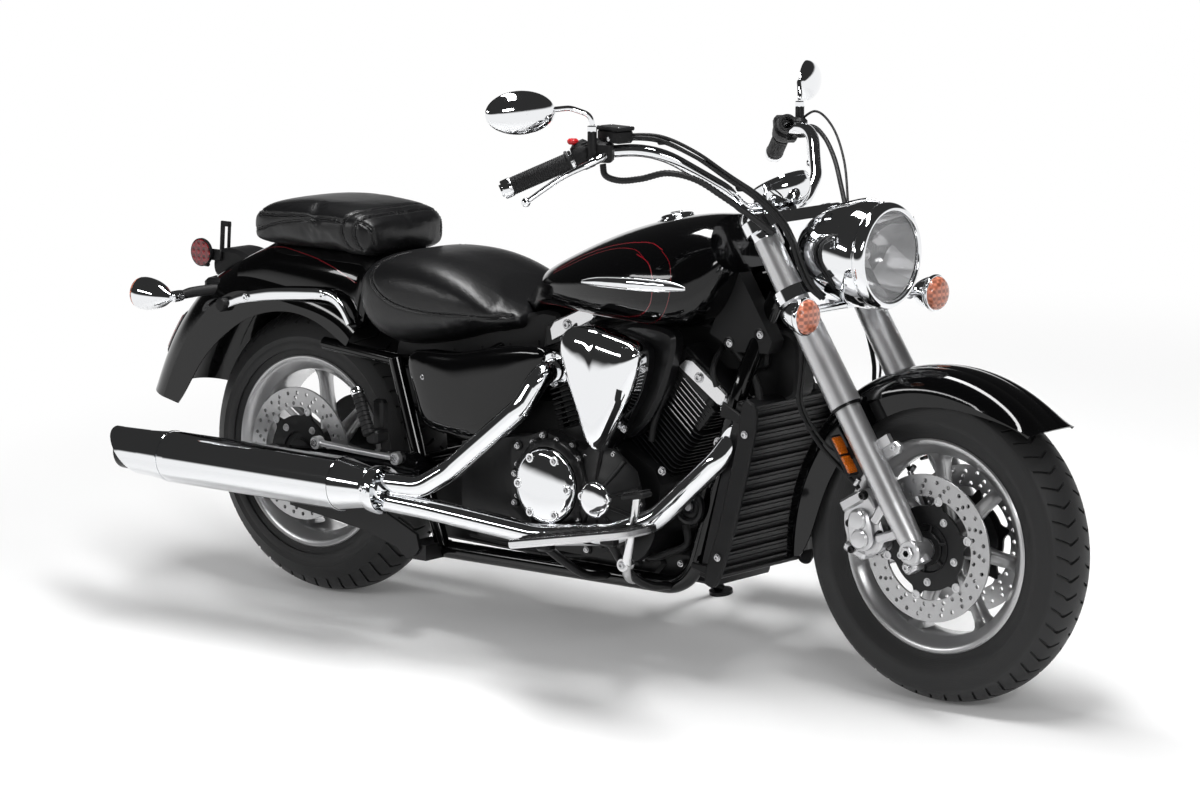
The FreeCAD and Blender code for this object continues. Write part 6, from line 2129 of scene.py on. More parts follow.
@dataclass
class Engine:
    """Covers, fins, bolts and hoses of the engine."""

    front_tilt: float = 40.0
    rear_tilt: float = -20.0
    clutch: Flat = (-25.0, 363.0)
    small: Flat = (104.0, 348.0)

    def air_cleaner(self) -> None:
        """Make the drop-shaped cover with its crowned face, dark back and side strip."""
        outline = smooth_outline([(100, 446), (120, 456), (166, 520), (200, 584), (217, 648), (214, 668),
                                  (199, 682), (160, 692), (119, 699), (75, 705), (45, 704), (18, 692),
                                  (6, 672), (20, 608), (52, 526), (82, 460)], 6)
        cx, cz = 112, 600
        form = Form("air_cleaner_dome").use(Kind.CHROME)
        steps = ((1, 176), (1, 200), (0.992, 206), (0.965, 213), (0.92, 219.5), (0.84, 225.5),
                 (0.70, 230.5), (0.52, 233.5), (0.32, 235), (0.12, 235.6), (0.01, 235.7))
        rings = []
        for share, out in steps:
            ring = []
            for x, z in outline:
                px, pz = cx + (x - cx) * share, cz + (z - cz) * share
                lobe = 3.2 * math.exp(-((px - 106) / 9) ** 2) * max(0, min(1, (pz - 630) / 40))
                ring.append(Vector((px, -(out - lobe * (share > 0.3)), pz)))
            rings.append(ring)
        form.rings(rings)
        dome = form.done("chassis", "chrome", ["air_cleaner_cover"], 60)
        surface = Surface(dome)
        back = Form("air_cleaner_back").use(Kind.BLACK_ENAMEL)
        back.plate([(cx + (x - cx) * 0.97, cz + (z - cz) * 0.97) for x, z in outline], 150, 181, ACROSS, 3)
        back.plate(smooth_outline([(130, 470), (180, 500), (222, 560), (250, 630), (262, 690), (250, 706),
                                   (120, 706), (60, 640), (80, 520)], 4), 112, 152, ACROSS, 8)
        back.brick((90, 60, 90), moved(124, -140, 590), 10)
        ribbon(back, surface, ((176, -214, 590), (168, -216, 560), (150, -216, 524), (128, -214, 486),
                               (110, -210, 462)), 13, 0.5)
        back.use(Kind.STEEL)
        for x, z in ((212, 630), (160, 500)):
            back.brick((16, 12, 14), moved(x, -186, z), 3)
            back.bolt(moved(x + 4, -192, z, ACROSS), 5, 4, 1.5)
        back.done("chassis", "black_metal", fresh_normals=False)

    def heads(self) -> None:
        """Make the finned heads and the bright fin edges."""
        form = Form("head_fins").use(Kind.CASTING)
        for tilt in (self.front_tilt, self.rear_tilt):
            for k in range(6):
                place = bank_place(tilt, 0, 276.5 + 10 * k)
                outline = [(-86, -100), (-74, -113), (74, -113), (86, -100), (86, 100), (74, 113),
                           (-74, 113), (-86, 100)]
                form.plate(outline, 0, 3, place, 0.8)
        form.done("chassis", "black_metal", angle=30)
        bright = Form("fin_edges").use(Kind.BRIGHT)
        for tilt, first in ((self.front_tilt, 0), (self.rear_tilt, 2)):
            for k in range(first, 8):
                place = bank_place(tilt, 34 - 1.5 * k, 257 + 10.5 * k)
                bright.brick((78, 4, 2.2), place @ moved(0, -116.5, 0), 0.6)
        bright.mirror().done("chassis", "silver_metal", angle=30)

    def rocker_plates(self) -> None:
        """Make the polished plates with one bolt on the sides of the rocker covers."""
        form = Form("rocker_plates").use(Kind.CASTING)
        for tilt in (self.front_tilt, self.rear_tilt):
            place = bank_place(tilt, 18, 360)
            form.brick((150, 216, 40), place, 8)
        form.use(Kind.BRIGHT)
        for tilt in (self.front_tilt, self.rear_tilt):
            place = bank_place(tilt, 20, 0) @ ACROSS
            form.plate([(-62, 340), (-50, 338), (62, 350), (72, 356), (72, 378), (64, 386), (-40, 378),
                        (-58, 366)], 104, 119, place, 4)
        form.use(Kind.STEEL)
        for tilt in (self.front_tilt, self.rear_tilt):
            form.bolt(bank_place(tilt, 14, 361) @ moved(0, -118, 0, ACROSS), 8.5, 5, 2.5)
        form.mirror().done("chassis", "silver_metal", angle=35)

    def clutch_cover(self) -> None:
        """Make the lobed black ring and the bright clutch cover with six bolts."""
        place = moved(self.clutch[0], 0, self.clutch[1], ACROSS)
        form = Form("clutch_ring").use(Kind.CASTING)
        outer = lobed(96, 9, 9, 40, 180, 9)
        inner = ring_points(81, 180)
        rows = [[Vector((x * k, y * k, h)) for x, y in path] for path, h, k in (
            (outer, 182, 1), (outer, 203, 1), (outer, 207, 0.975), (inner, 213, 1.05),
            (inner, 214, 1.01), (inner, 206, 1), (inner, 182, 1))]
        form.rings(rows, loop=True, place=place)
        form.use(Kind.STEEL)
        for x, y in ring_points(98, 9, 40):
            form.bolt(place @ moved(x, y, 203), 4.8, 4, 1)
        form.done("chassis", "black_metal", ["right_engine_covers"], 40)
        cover = Form("clutch_cover").use(Kind.CHROME)
        cover.lathe([(60, 184), (80, 184)]
                    + bent([(80, 206), (80, 217), (78.5, 223), (74, 227.5), (66, 231)], 3)
                    + [(40, 235.5), (20, 237.5), (0.1, 238)], place, 96)
        for x, y in ring_points(66, 6, 0):
            cover.lathe([(10.5, 222), (10.5, 231.5), (9.4, 233), (6.5, 233), (6.5, 231)],
                        place @ moved(x, y, 0), 24)
        cover.use(Kind.STEEL)
        for x, y in ring_points(66, 6, 0):
            cover.bolt(place @ moved(x, y, 230.8), 5.2, 4.4, 0.4)
        cover.done("chassis", "chrome", angle=40)

    def small_cover(self) -> None:
        """Make the ribbed dark housing and the small bright cover in its middle."""
        place = moved(self.small[0], 0, self.small[1], ACROSS)
        form = Form("ignition_housing").use(Kind.CASTING)
        form.lathe([(30, 184), (112, 184), (111, 188), (104, 192), (78, 198), (56, 206), (42, 210),
                    (30, 210)], place, 10)
        for x, y in ring_points(1, 10, 18):
            arm = Vector((x, y, 0))
            form.pipe([arm * 41 + Vector((0, 0, 209)), arm * 70 + Vector((0, 0, 201)),
                       arm * 104 + Vector((0, 0, 191))], [4.5, 4, 4.5], 10, place)
        form.use(Kind.STEEL)
        for x, y in ring_points(101, 5, 0):
            form.bolt(place @ moved(x, y, 189), 5, 4, 1.5)
        form.done("chassis", "black_metal", angle=28)
        cover = Form("ignition_cover").use(Kind.CHROME)
        cover.lathe(bent([(38.5, 204), (38.5, 213), (36, 218), (28, 221)], 3) + [(14, 222.5), (0.1, 223)],
                    place, 64)
        for x in (-33, 33):
            cover.lathe([(9.5, 206), (9.5, 217), (8.6, 218.4), (5.6, 218.4), (5.6, 216.5)],
                        place @ moved(x, 4, 0), 24)
        cover.use(Kind.STEEL)
        for x in (-33, 33):
            cover.bolt(place @ moved(x, 4, 216.4), 4.4, 3.6, 0.3)
        cover.done("chassis", "chrome", angle=40)

    def left_covers(self) -> None:
        """Make the generator cover and the drive pulley cover on the left."""
        turn = turned("X", -90)
        form = Form("generator_cover").use(Kind.CHROME)
        place = moved(60, 0, 358, turn)
        form.lathe([(80, 150), (98, 150)] + bent([(98, 176), (97, 188), (90, 199), (78, 206)], 3)
                   + [(40, 211), (0.1, 212)], place, 96)
        for x, y in ring_points(89, 8, 22.5):
            form.lathe([(9.5, 150), (9.5, 198), (8.4, 200), (0.1, 200)], place @ moved(x, y, 0), 20)
        low = moved(-250, 0, 352, turn)
        form.lathe([(40, 116), (70, 116)] + bent([(70, 144), (68, 152), (60, 157)], 3)
                   + [(30, 159), (0.1, 160)], low, 64)
        form.use(Kind.STEEL)
        for x, y in ring_points(89, 8, 22.5):
            form.bolt(place @ moved(x, y, 199.6), 5, 4, 0.6)
        for x, y in ring_points(56, 4, 45):
            form.bolt(low @ moved(x, y, 156), 5, 4, 1)
        form.done("chassis", "chrome", ["left_engine_covers"], 40)

    def case_bolts(self) -> None:
        """Set the bolts and bosses round the crankcase edge."""
        form = Form("crankcase_bolts").use(Kind.CASTING)
        spots = ((-138, 310), (-138, 372), (-130, 432), (-60, 462), (20, 448), (60, 432), (146, 404),
                 (168, 330), (140, 262), (60, 234), (-60, 240))
        for x, z in spots:
            form.lathe([(0.1, 178), (11, 178), (11, 187), (9, 189), (0.1, 189)], moved(x, 0, z, ACROSS), 16)
        form.use(Kind.STEEL)
        for x, z in spots:
            form.bolt(moved(x, -188.6, z, ACROSS), 5, 4, 1)
        for x, z in ((272, 435), (149, 462)):
            form.bolt(moved(x - 40, -149.5, z - 20, ACROSS), 7, 5, 2)
        form.mirror().done("chassis", "black_metal", angle=35)

    def hoses(self) -> None:
        """Run dark hoses and cables between the cylinders."""
        form = Form("engine_hoses").use(Kind.RUBBER)
        form.pipe([(214, -96, 690), (236, -120, 640), (226, -130, 580), (196, -128, 520), (186, -130, 470)],
                  7.5, 12)
        form.pipe([(180, -104, 690), (206, -126, 620), (200, -132, 560), (160, -132, 500),
                   (120, -140, 470)], 5, 10)
        form.pipe([(320, -60, 672), (330, -100, 650), (346, -128, 628), (352, -124, 600)], 6, 12)
        form.pipe([(-20, -110, 700), (-44, -128, 660), (-50, -130, 620), (-30, -124, 590)], 6, 12)
        form.use(Kind.STEEL)
        form.lathe([(8.2, 0), (9, 1), (9, 9), (8.2, 10)], moved(226, -129, 585), 20)
        form.done("chassis", "black_plastic", angle=45)

    def build(self) -> None:
        """Make everything on the engine."""
        self.air_cleaner()
        self.heads()
        self.rocker_plates()
        self.clutch_cover()
        self.small_cover()
        self.left_covers()
        self.case_bolts()
        self.hoses()


@dataclass
class Exhaust:
    """Seams, clamps and flanges of the exhaust."""

    side: float = -265.0
    height: float = 311.0

    def build(self) -> None:
        """Make the bands, the clamp, the flanges and the dark outlet."""
        form = Form("muffler_bands").use(Kind.CHROME)
        line = moved(0, self.side, self.height, ALONG)
        for x, r in ((-1082, 57.2), (-560, 58.4)):
            form.lathe([(r, x - 2.5), (r + 0.9, x - 1.5), (r + 0.9, x + 1.5), (r, x + 2.5)], line, 96,
                       loop=True)
        form.lathe([(45, -466), (50, -470), (52, -466), (52, -444), (50, -440), (45, -444)],
                   moved(0, self.side + 3, self.height - 2, ALONG), 64, loop=True)
        form.bolt(moved(-456, self.side - 50, self.height + 6, ACROSS), 6.5, 6, 2)
        flange = (Vector((-62, -140, 596)), Vector((0.1, -1, -0.05)))
        form.lathe([(25, 0), (36, 0), (37, 2), (37, 7), (35, 9), (25, 9)], Matrix.Translation(flange[0])
                   @ facing(flange[1]), 48, loop=True)
        form.lathe([(25, 0), (34, 0), (35, 2), (35, 6), (33, 8), (25, 8)], moved(362, -72, 559)
                   @ facing(Vector((0.8, -0.55, -0.3))), 48, loop=True)
        form.use(Kind.STEEL)
        for up in (-1, 1):
            form.bolt(Matrix.Translation(flange[0] + Vector((0, -6, 31 * up))) @ facing(flange[1]), 5, 7, 1)
        form.done("chassis", "chrome", angle=40)
        dark = Form("muffler_outlet").use(Kind.BLACK_ENAMEL)
        dark.lathe([(43.6, -1230), (43.6, -1122), (0.1, -1122)], line, 64)
        dark.done("chassis", "black_metal")


@dataclass
class Cooling:
    """Radiator rims, fins and side shrouds, and the horn's face."""

    def build(self) -> None:
        """Make the small things in front of the engine."""
        lean = moved(330, -150, 210, turned("Y", 14.6))
        form = Form("radiator_rims").use(Kind.CASTING)
        for low in (-2, 372):
            form.brick((34, 300, 14), lean @ moved(16, 150, low + 6), 4)
        for side in (8, 292):
            form.brick((10, 6, 366), lean @ moved(34, side, 190), 2)
        bar_rows("radiator_fins", [((2, 284, 0.9), 34, (0, 0, 11), lean @ moved(27, 150, 12))],
                 Kind.CASTING, "black_metal")
        form.use(Kind.STEEL)
        for side, turn in ((-15, 1), (315, -1)):
            for up in (60, 330):
                form.bolt(lean @ moved(46, side, up, turned("X", 90 * turn)), 6, 4, 2)
        form.done("chassis", "black_metal", angle=30)
        shroud = Form("radiator_side_shrouds").use(Kind.BLACK_PLASTIC)
        edge = smooth_outline([(26, -6), (50, -6), (62, 40), (68, 120), (68, 300), (62, 372), (46, 396),
                               (24, 396), (28, 300), (28, 120)], 5)
        shroud.plate(edge, 0.5, 14, lean @ ACROSS, 4)
        shroud.plate([(-30, 340), (28, 344), (28, 360), (-30, 372)], 1, 8, lean @ ACROSS, 2)
        shroud.plate([(-20, 10), (28, 10), (28, 30), (-20, 22)], 1, 8, lean @ ACROSS, 2)
        shroud.mirror().done("chassis", "black_plastic", ["radiator_shrouds"], 35)
        horn = Form("horn_face").use(Kind.BLACK_ENAMEL)
        place = moved(306, -139.3, 350, ACROSS)
        horn.lathe(bent([(4, 12), (12, 19), (14, 20)], 3)
                   + [(14, 16), (24, 15), (24, 18), (30, 20), (36.5, 18), (37.5, 12), (36, 8), (20, 0)],
                   place, 64)
        horn.use(Kind.SILVER).lathe([(0.1, 20), (8, 20), (9, 18), (9, 14), (0.1, 14)], place, 24)
        horn.use(Kind.BLACK_ENAMEL).brick((16, 10, 60), moved(312, -132, 398), 3)
        horn.done("chassis", "black_metal", ["horn"], 35)


@dataclass
class Feet:
    """Floorboards, pedals and pegs."""

    def boards(self) -> None:
        """Make the bright boards with ribbed rubber tops and their struts."""
        place = moved(10, -388, 256, turned("Y", -11))
        form = Form("floorboard_frames").use(Kind.BRIGHT)
        outline = [(0, 14), (10, 2), (300, 0), (324, 8), (330, 30), (330, 96), (322, 106), (12, 108), (0, 98)]
        form.plate(outline, 2, 20, place, 4)
        form.use(Kind.BLACK_ENAMEL)
        for x in (70, 240):
            form.pipe([(x, -136, 173), (x, -200, 184), (x, -260, 216), (x, -330, 250 + 0.19 * x)], 9, 14)
            form.brick((34, 30, 22), moved(x, -330, 252 + 0.19 * x), 5)
        form.mirror().done("chassis", "silver_metal", ["floorboards"], 35)
        top = Form("floorboard_rubber").use(Kind.RUBBER)
        top.plate([(22, 24), (298, 22), (306, 28), (306, 84), (300, 90), (24, 90)], 19.5, 22, place, 1)
        mirror = Matrix.Diagonal((1, -1, 1, 1))
        bar_rows("floorboard_ribs", [((9, 58, 3), 12, (23, 0, 0), side @ place @ moved(32, 56, 22.8))
                                     for side in (Matrix(), mirror)], Kind.RUBBER, "black_plastic")
        top.mirror().done("chassis", "black_plastic", angle=35)

    def controls(self) -> None:
        """Make the brake pedal on the right and the shift lever on the left."""
        form = Form("foot_levers").use(Kind.BRIGHT)
        form.pipe([(150, -126, 180), (200, -200, 190), (240, -270, 214), (262, -302, 246), (278, -312, 290),
                   (296, -318, 350), (306, -322, 396)], [8, 8, 9, 10, 9, 8, 8], 14)
        form.lathe([(0.1, -12), (13, -12), (14, -10), (14, 10), (13, 12), (0.1, 12)],
                   moved(258, -300, 246, ACROSS), 32)
        form.pipe([(216, 236, 300), (262, 300, 330), (326, 318, 366), (346, 336, 390)], 7, 12)
        form.pipe([(210, 196, 300), (216, 240, 300)], 9, 14)
        form.use(Kind.STEEL).bolt(moved(258, -311, 246, ACROSS), 7, 4, 2)
        form.use(Kind.RUBBER).brick((56, 40, 12), moved(310, -328, 398, turned("Y", -12)), 4)
        for k in range(5):
            form.brick((5, 36, 3), moved(290 + 10 * k, -328, 404.5 - 2 * (2 - k) + 2, turned("Y", -12)), 1)
        form.pipe([(346, 320, 388), (346, 366, 394)], 10, 14)
        form.done("chassis", "silver_metal", ["foot_controls"], 40)

    def pegs(self) -> None:
        """Make the folded passenger pegs with ringed rubber."""
        form = Form("passenger_peg").use(Kind.RUBBER)
        low, high = Vector((-548, -194, 408)), Vector((-604, -176, 506))
        place = Matrix.Translation(low) @ facing(high - low)
        ribs: list[Flat] = [(0.1, 0)]
        for k in range(9):
            ribs += [(13.8, 2 + 10.5 * k), (13.8, 8.5 + 10.5 * k), (12.2, 9.5 + 10.5 * k),
                     (12.2, 11.5 + 10.5 * k)]
        form.lathe(ribs + [(12.2, 98), (0.1, 98)], place, 32)
        form.use(Kind.CHROME).lathe([(0.1, 96), (14, 96), (15, 98), (15, 108), (13, 111), (0.1, 111)],
                                    place, 32)
        form.use(Kind.CASTING).brick((34, 44, 30), moved(-546, -172, 404), 6)
        form.brick((30, 26, 80), moved(-560, -146, 440), 6)
        form.mirror().done("chassis", "grip_rubber", ["passenger_pegs"], 35)

    def build(self) -> None:
        """Make everything the feet meet."""
        self.boards()
        self.controls()
        self.pegs()


@dataclass
class RearEnd:
    """Rails, signals, reflector, lamp, stripes and bolts at the rear."""

    fender: Surface
    crown: Surface

    def rails(self) -> None:
        """Make the bright side rails with their bolts and dark knobs."""
        form = Form("fender_rail_bars").use(Kind.CHROME)
        line = smooth_path([(-1046, -127, 640), (-1010, -129, 655), (-968, -131, 666), (-920, -132, 675),
                            (-875, -133, 681), (-800, -133, 688), (-742, -132, 691), (-706, -131, 682),
                            (-684, -129, 660), (-668, -127, 632)], 6)
        rings = []
        for i, here in enumerate(line):
            run = heading(line, i)
            out = Vector((0, -1, 0))
            side = run.cross(out).normalized()
            ring = []
            wide = 8 + 6 * math.sin(math.pi * min(1, 1.15 * i / len(line)))
            for k in range(16):
                a = math.tau * k / 16
                ring.append(here + side * (rounded(math.cos(a), 0.7) * wide)
                            + out * (rounded(math.sin(a), 0.7) * 5.5))
            rings.append(ring)
        form.rings(rings)
        for x, z in ((-974, 665), (-738, 690)):
            form.bolt(moved(x, -136, z, ACROSS), 7, 5, 2)
            form.lathe([(8, 104), (10, 104), (10, 134), (8, 134)], moved(x, 0, z, ACROSS), 20)
        form.use(Kind.BLACK_PLASTIC)
        form.lathe([(0.1, 118), (12, 118), (16, 121), (16, 138), (13, 142), (0.1, 143)],
                   moved(-1052, 0, 641, ACROSS), 32)
        form.mirror().done("chassis", "chrome", ["fender_rails"], 40)

    def signals(self) -> None:
        """Make the bullet signals on their dark stems, and the bracket that holds them."""
        place = moved(-1146, -200, 655, turned("Y", -88))
        form = Form("rear_signal_bullets").use(Kind.CHROME)
        form.lathe([(0.1, -4), (8, -2), (11, 4)]
                   + bent([(15, 10), (24, 24), (32, 44), (36.5, 66), (37.5, 82), (36.5, 92)], 3)
                   + [(33, 93)], place, 64)
        form.lathe([(8, 0), (12, 2), (13, 10), (13, 24), (10, 27)], moved(-1132, -178, 660)
                   @ facing(Vector((-0.35, -1, -0.1))), 32)
        form.use(Kind.RUBBER)
        form.pipe([(-1136, -188, 658), (-1126, -160, 664), (-1108, -130, 668), (-1090, -100, 670),
                   (-1080, -60, 672)], [9, 12, 12, 13, 13], 16)
        form.use(Kind.BLACK_PLASTIC).brick((70, 60, 40), moved(-1098, -84, 674, turned("Z", 20)), 8)
        form.mirror().done("chassis", "chrome", ["rear_signals"], 35)
        lens = Form("rear_signal_lenses").use(Kind.SIGNAL)
        lens.lathe([(0.1, 90), (35.5, 90)]
                   + bent([(35.5, 94), (34, 99), (26, 105), (12, 108), (0.1, 108.5)], 3), place, 64)
        lens.mirror().done("chassis", "signal_lens")

    def plate_holder(self) -> None:
        """Make the dark housing, the bare slotted post and the round reflector."""
        form = Form("plate_housing").use(Kind.BLACK_PLASTIC)
        form.plate(smooth_outline([(-1166, 690), (-1172, 722), (-1150, 748), (-1110, 752), (-1066, 742),
                                   (-1040, 722), (-1052, 700), (-1110, 684)], 4), -44, 44, ACROSS, 8)
        form.brick((30, 90, 40), moved(-1150, 0, 668), 5)
        for x, wide in ((-1183, 10), (-1162, 6)):
            form.brick((wide, 7, 110), moved(x, 0, 752, turned("Y", 4)), 1)
        for z, tall in ((801, 12), (730, 8), (704, 22)):
            form.brick((30, 7, tall), moved(-1173 + (z - 752) * 0.07, 0, z), 1.5)
        form.brick((60, 6, 26), moved(-1168, -48, 736), 2)
        form.brick((16, 10, 16), moved(-1180, -53, 716), 3)
        place = moved(-1192, 0, 740, ACROSS)
        form.lathe([(0.1, 52), (31, 52), (32, 54), (32, 60), (30, 61), (30, 58), (0.1, 58)], place, 64)
        form.done("chassis", "black_plastic", angle=40)
        lens = Form("round_reflector").use(Kind.RED)
        lens.lathe([(0.1, 57), (30, 57), (30, 60.5), (28, 62), (0.1, 62.5)], place, 64)
        lens.done("chassis", "red_lens")

    def tail_lamp(self) -> None:
        """Make the curved red lamp that wraps the fender's tail, with a dark rim."""
        for name, kind, slot, reach, low, high, proud in (
                ("tail_lamp_rim", Kind.BLACK_PLASTIC, "black_plastic", 96, 508, 606, 5),
                ("tail_lamp_lens", Kind.RED, "red_lens", 90, 514, 600, 10)):
            form = Form(name).use(kind)
            rings = []
            for j in range(17):
                z = low + (high - low) * j / 16
                front, back = [], []
                for k in range(33):
                    y = reach * (2 * k / 32 - 1)
                    hit = self.fender.tree.ray_cast(Vector((-1600, y, z)), Vector((1, 0, 0)))[0]
                    x = hit.x if hit else -1250
                    edge = min(1, (reach - abs(y)) / 8, (z - low) / 8 + 0.05, (high - z) / 8 + 0.05)
                    front.append(Vector((x - proud * max(0, edge) ** 0.5 - 0.5, y, z)))
                    back.append(Vector((x + 1, y, z)))
                rings.append(front + list(reversed(back)))
            form.rings(rings)
            form.done("chassis", slot, ["tail_lamp"] if kind is Kind.RED else [], 50)

    def stripes(self) -> None:
        """Lay the fine red line along the fender's shoulders."""
        form = Form("fender_pinstripe").use(Kind.PINSTRIPE)
        ribbon(form, self.fender, ((-1150, -108, 610), (-1100, -104, 662), (-1064, -96, 700),
                                   (-1036, -84, 722)), 2.2)
        ribbon(form, self.crown, ((-1014, -84, 734), (-990, -84, 745), (-950, -86, 766), (-905, -88, 778),
                                  (-861, -92, 774), (-785, -96, 760), (-725, -98, 742), (-680, -99, 724),
                                  (-632, -100, 702)), 2.2)
        form.mirror().done("chassis", "black_paint", fresh_normals=False)

    def axle_and_brake(self) -> None:
        """Make axle nuts, adjusters, and the rear caliper with its rod ends."""
        form = Form("rear_axle_nuts").use(Kind.CHROME)
        place = moved(REAR_AXLE.x, 0, REAR_AXLE.z, ACROSS)
        form.lathe([(10.4, 179.2), (24, 179.2), (25, 181), (25, 184), (18, 185), (18, 196), (16, 198),
                    (7, 198)], place, 6)
        form.use(Kind.STEEL)
        form.lathe([(10.6, 179.1), (30, 179.1), (30, 181.4), (10.6, 181.4)], place, 40, loop=True)
        form.use(Kind.BLACK_ENAMEL).brick((26, 22, 34), moved(-884, -165, 322), 4)
        form.use(Kind.STEEL).bolt(moved(-896, -165, 322, turned("Y", -90)), 7, 10, 2)
        form.mirror().done("chassis", "chrome", angle=35)
        brake = Form("rear_caliper").use(Kind.SILVER)
        outline = smooth_outline([(-742, 202), (-716, 196), (-672, 206), (-660, 236), (-668, 262),
                                  (-700, 272), (-736, 262), (-748, 232)], 4)
        brake.plate(outline, 109, 138, ACROSS, 4)
        brake.plate(outline, 84, 94, ACROSS, 3)
        brake.brick((40, 40, 16), moved(-704, -110, 204), 4)
        for x, z in ((-716, 232), (-688, 236)):
            brake.lathe([(15, 136), (15, 141), (12, 144), (0.1, 144.5)], moved(x, 0, z, ACROSS), 28)
        brake.brick((40, 34, 60), moved(-706, -158, 276), 6)
        brake.pipe([(-716, -182, 372), (-600, -182, 367), (-476, -182, 364)], 7, 14)
        for x, z in ((-716, 372), (-480, 364)):
            brake.lathe([(0.1, 172), (13, 172), (14, 174), (14, 190), (12, 192), (0.1, 192)],
                        moved(x, 0, z, ACROSS), 28)
        brake.use(Kind.STEEL)
        for x, z in ((-716, 372), (-480, 364), (-734, 250), (-672, 250)):
            brake.bolt(moved(x, -191 if z > 300 else -137, z, ACROSS), 6.5, 5, 2)
        brake.use(Kind.RUBBER).pipe([(-700, -150, 268), (-680, -160, 300), (-640, -160, 330),
                                     (-560, -150, 348), (-490, -140, 352)], 4.5, 10)
        brake.done("chassis", "silver_metal", ["rear_brake"], 36)

    def build(self) -> None:
        """Make everything at the rear."""
        self.rails()
        self.signals()
        self.plate_holder()
        self.tail_lamp()
        self.stripes()
        self.axle_and_brake()


@dataclass
class Covers:
    """Side covers, neck cover bolts and frame bolts."""

    def side_covers(self) -> None:
        """Make the curved glossy side covers with one bolt each."""
        form = Form("side_cover_shells").use(Kind.BLACK_PAINT)
        outline = smooth_outline([(-470, 588), (-452, 500), (-424, 440), (-360, 426), (-270, 424),
                                  (-200, 470), (-140, 524), (-80, 620), (-90, 636), (-180, 634),
                                  (-330, 606)], 4)
        cx, cz = -290, 530
        rings = []
        for share, out in ((1, 132), (1, 150), (0.985, 155), (0.94, 159), (0.86, 162), (0.7, 165),
                           (0.45, 167), (0.2, 168), (0.02, 168)):
            rings.append([Vector((cx + (x - cx) * share, -out, cz + (z - cz) * share)) for x, z in outline])
        form.rings(rings)
        form.use(Kind.STEEL).bolt(moved(-420, -158, 545, ACROSS), 6.5, 5, 2)
        form.mirror().done("chassis", "black_paint", ["side_covers"], 50)

    def frame_bolts(self) -> None:
        """Set bolts on neck covers and down tubes."""
        form = Form("frame_bolts").use(Kind.BLACK_ENAMEL)
        for x, z in ((430, 709), (351, 684)):
            form.lathe([(0.1, 80), (13, 80), (14, 82.5), (11, 83.5), (9, 81.5), (0.1, 81.5)],
                       moved(x, 0, z, ACROSS), 28)
        form.use(Kind.STEEL)
        for x, z in ((430, 709), (351, 684)):
            form.bolt(moved(x, -81.5, z, ACROSS), 6, 3, 0.5)
        for x, z in ((374, 488), (360, 448)):
            form.lathe([(9, 120), (11, 120), (12, 138), (11, 141), (9, 141)], moved(x - 4, 0, z, ACROSS), 24)
            form.bolt(moved(x - 4, -140, z, ACROSS), 7.5, 5, 2)
        form.mirror().done("chassis", "black_metal", angle=35)

    def build(self) -> None:
        """Make the covers and bolts."""
        self.side_covers()
        self.frame_bolts()


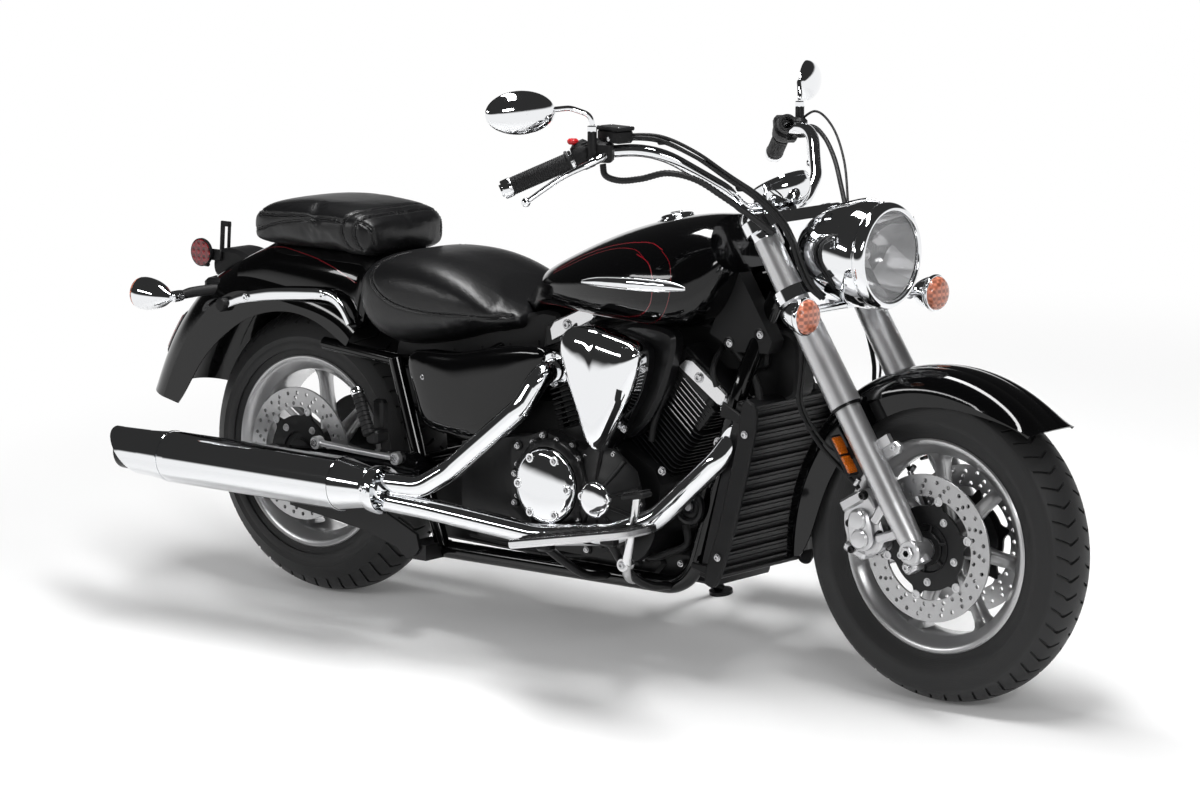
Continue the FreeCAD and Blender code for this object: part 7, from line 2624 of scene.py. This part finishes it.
@dataclass
class Inner:
    """Dark parts between frame, engine and seat, seen only through the gaps."""

    def build(self) -> None:
        """Make the box under the seat, ducts, the sump, and the pipes and bolts beside it."""
        box = Form("battery_box").use(Kind.BLACK_PLASTIC)
        box.plate(smooth_outline([(-572, 500), (-568, 600), (-540, 640), (-420, 650), (-250, 680),
                                  (-110, 704), (-92, 640), (-150, 560), (-300, 470), (-480, 452)], 3), -84,
                  84, ACROSS, 8)
        for k in range(5):
            box.brick((8, 172, 90), moved(-480 + 80 * k, 0, 540 + 14 * k), 2)
        box.plate([(-300, 400), (-290, 500), (-110, 520), (-90, 420), (-110, 400)], -70, 70, ACROSS, 6)
        box.plate([(-470, 226), (-470, 340), (-340, 360), (-300, 300), (-310, 226)], -60, 84, ACROSS, 8)
        box.done("chassis", "black_plastic", angle=35)
        duct = Form("intake_ducts").use(Kind.BLACK_PLASTIC)
        duct.plate(smooth_outline([(120, 650), (130, 712), (310, 730), (400, 706), (420, 640), (360, 620),
                                   (200, 630)], 3), -46, 46, ACROSS, 6)
        duct.plate(smooth_outline([(380, 560), (386, 690), (430, 712), (480, 700), (486, 620), (478, 580)],
                                  3), -32, 32, ACROSS, 6)
        duct.use(Kind.RUBBER)
        for y in (-58, 58):
            duct.pipe([(300, y, 700), (360, y * 1.2, 668), (400, y * 1.4, 640), (430, y * 1.5, 600),
                       (440, y * 1.6, 560)], 8, 12)
            duct.pipe([(250, y, 716), (340, y * 0.8, 700), (420, y * 0.6, 690)], 5, 10)
        duct.done("chassis", "black_plastic", angle=35)
        sump = Form("engine_sump").use(Kind.CASTING)
        sump.plate([(-140, 178), (-160, 236), (180, 236), (196, 206), (170, 178)], -96, 100, ACROSS, 8)
        for k in range(9):
            sump.brick((5, 200, 30), moved(-120 + 34 * k, 2, 188), 1.5)
        sump.plate([(-478, 178), (-478, 234), (-170, 236), (-150, 196), (-170, 172)], -104, 70, ACROSS, 6)
        sump.plate([(168, 177), (168, 236), (290, 236), (330, 206), (322, 176)], -98, 90, ACROSS, 6)
        sump.use(Kind.STEEL)
        for x in (-300, -200, -100, 20, 140, 240, 300):
            sump.bolt(moved(x, -99, 214, ACROSS), 5.5, 4, 1.5)
        sump.use(Kind.RUBBER)
        sump.pipe([(-330, -108, 206), (-200, -112, 200), (-60, -114, 196), (60, -116, 210),
                   (150, -120, 206)], 7, 12)
        sump.pipe([(130, -112, 240), (180, -122, 222), (230, -124, 240), (270, -116, 262),
                   (262, -110, 300)], 8, 12)
        sump.done("chassis", "black_metal", angle=35)


def dress(nodes: dict[str, bpy.types.Object]) -> None:
    """Give every CAD node its finish.

    Args:
        nodes: The CAD nodes by name.
    """
    for kind, names in CAD_FINISHES.items():
        for name in names.split():
            data = nodes[name].data
            data.materials.clear()
            data.materials.append(kind.material())


def main() -> None:
    """Build the studio and every sub-assembly in order."""
    logging.basicConfig(level=logging.INFO, format="%(message)s")
    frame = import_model()
    Studio().build()
    dress(frame["nodes"])
    LOG.info("dressed %d nodes", len(frame["nodes"]))
    bars = Bars(Vector((154, -350, 1066)), Vector((57, -445, 1008)))
    for assembly in (Wheels(), Fork(), FrontLamps(), bars):
        assembly.build()
    fender, tank = (Surface(frame["nodes"][name]) for name in ("rear_fender", "fuel_tank"))
    crown = Seats(fender, tank).build()
    for assembly in (Tank(tank), Engine(), Exhaust(), Cooling(), Feet(), RearEnd(fender, crown), Covers(),
                     Inner()):
        assembly.build()


if __name__ == "__main__":
    main()
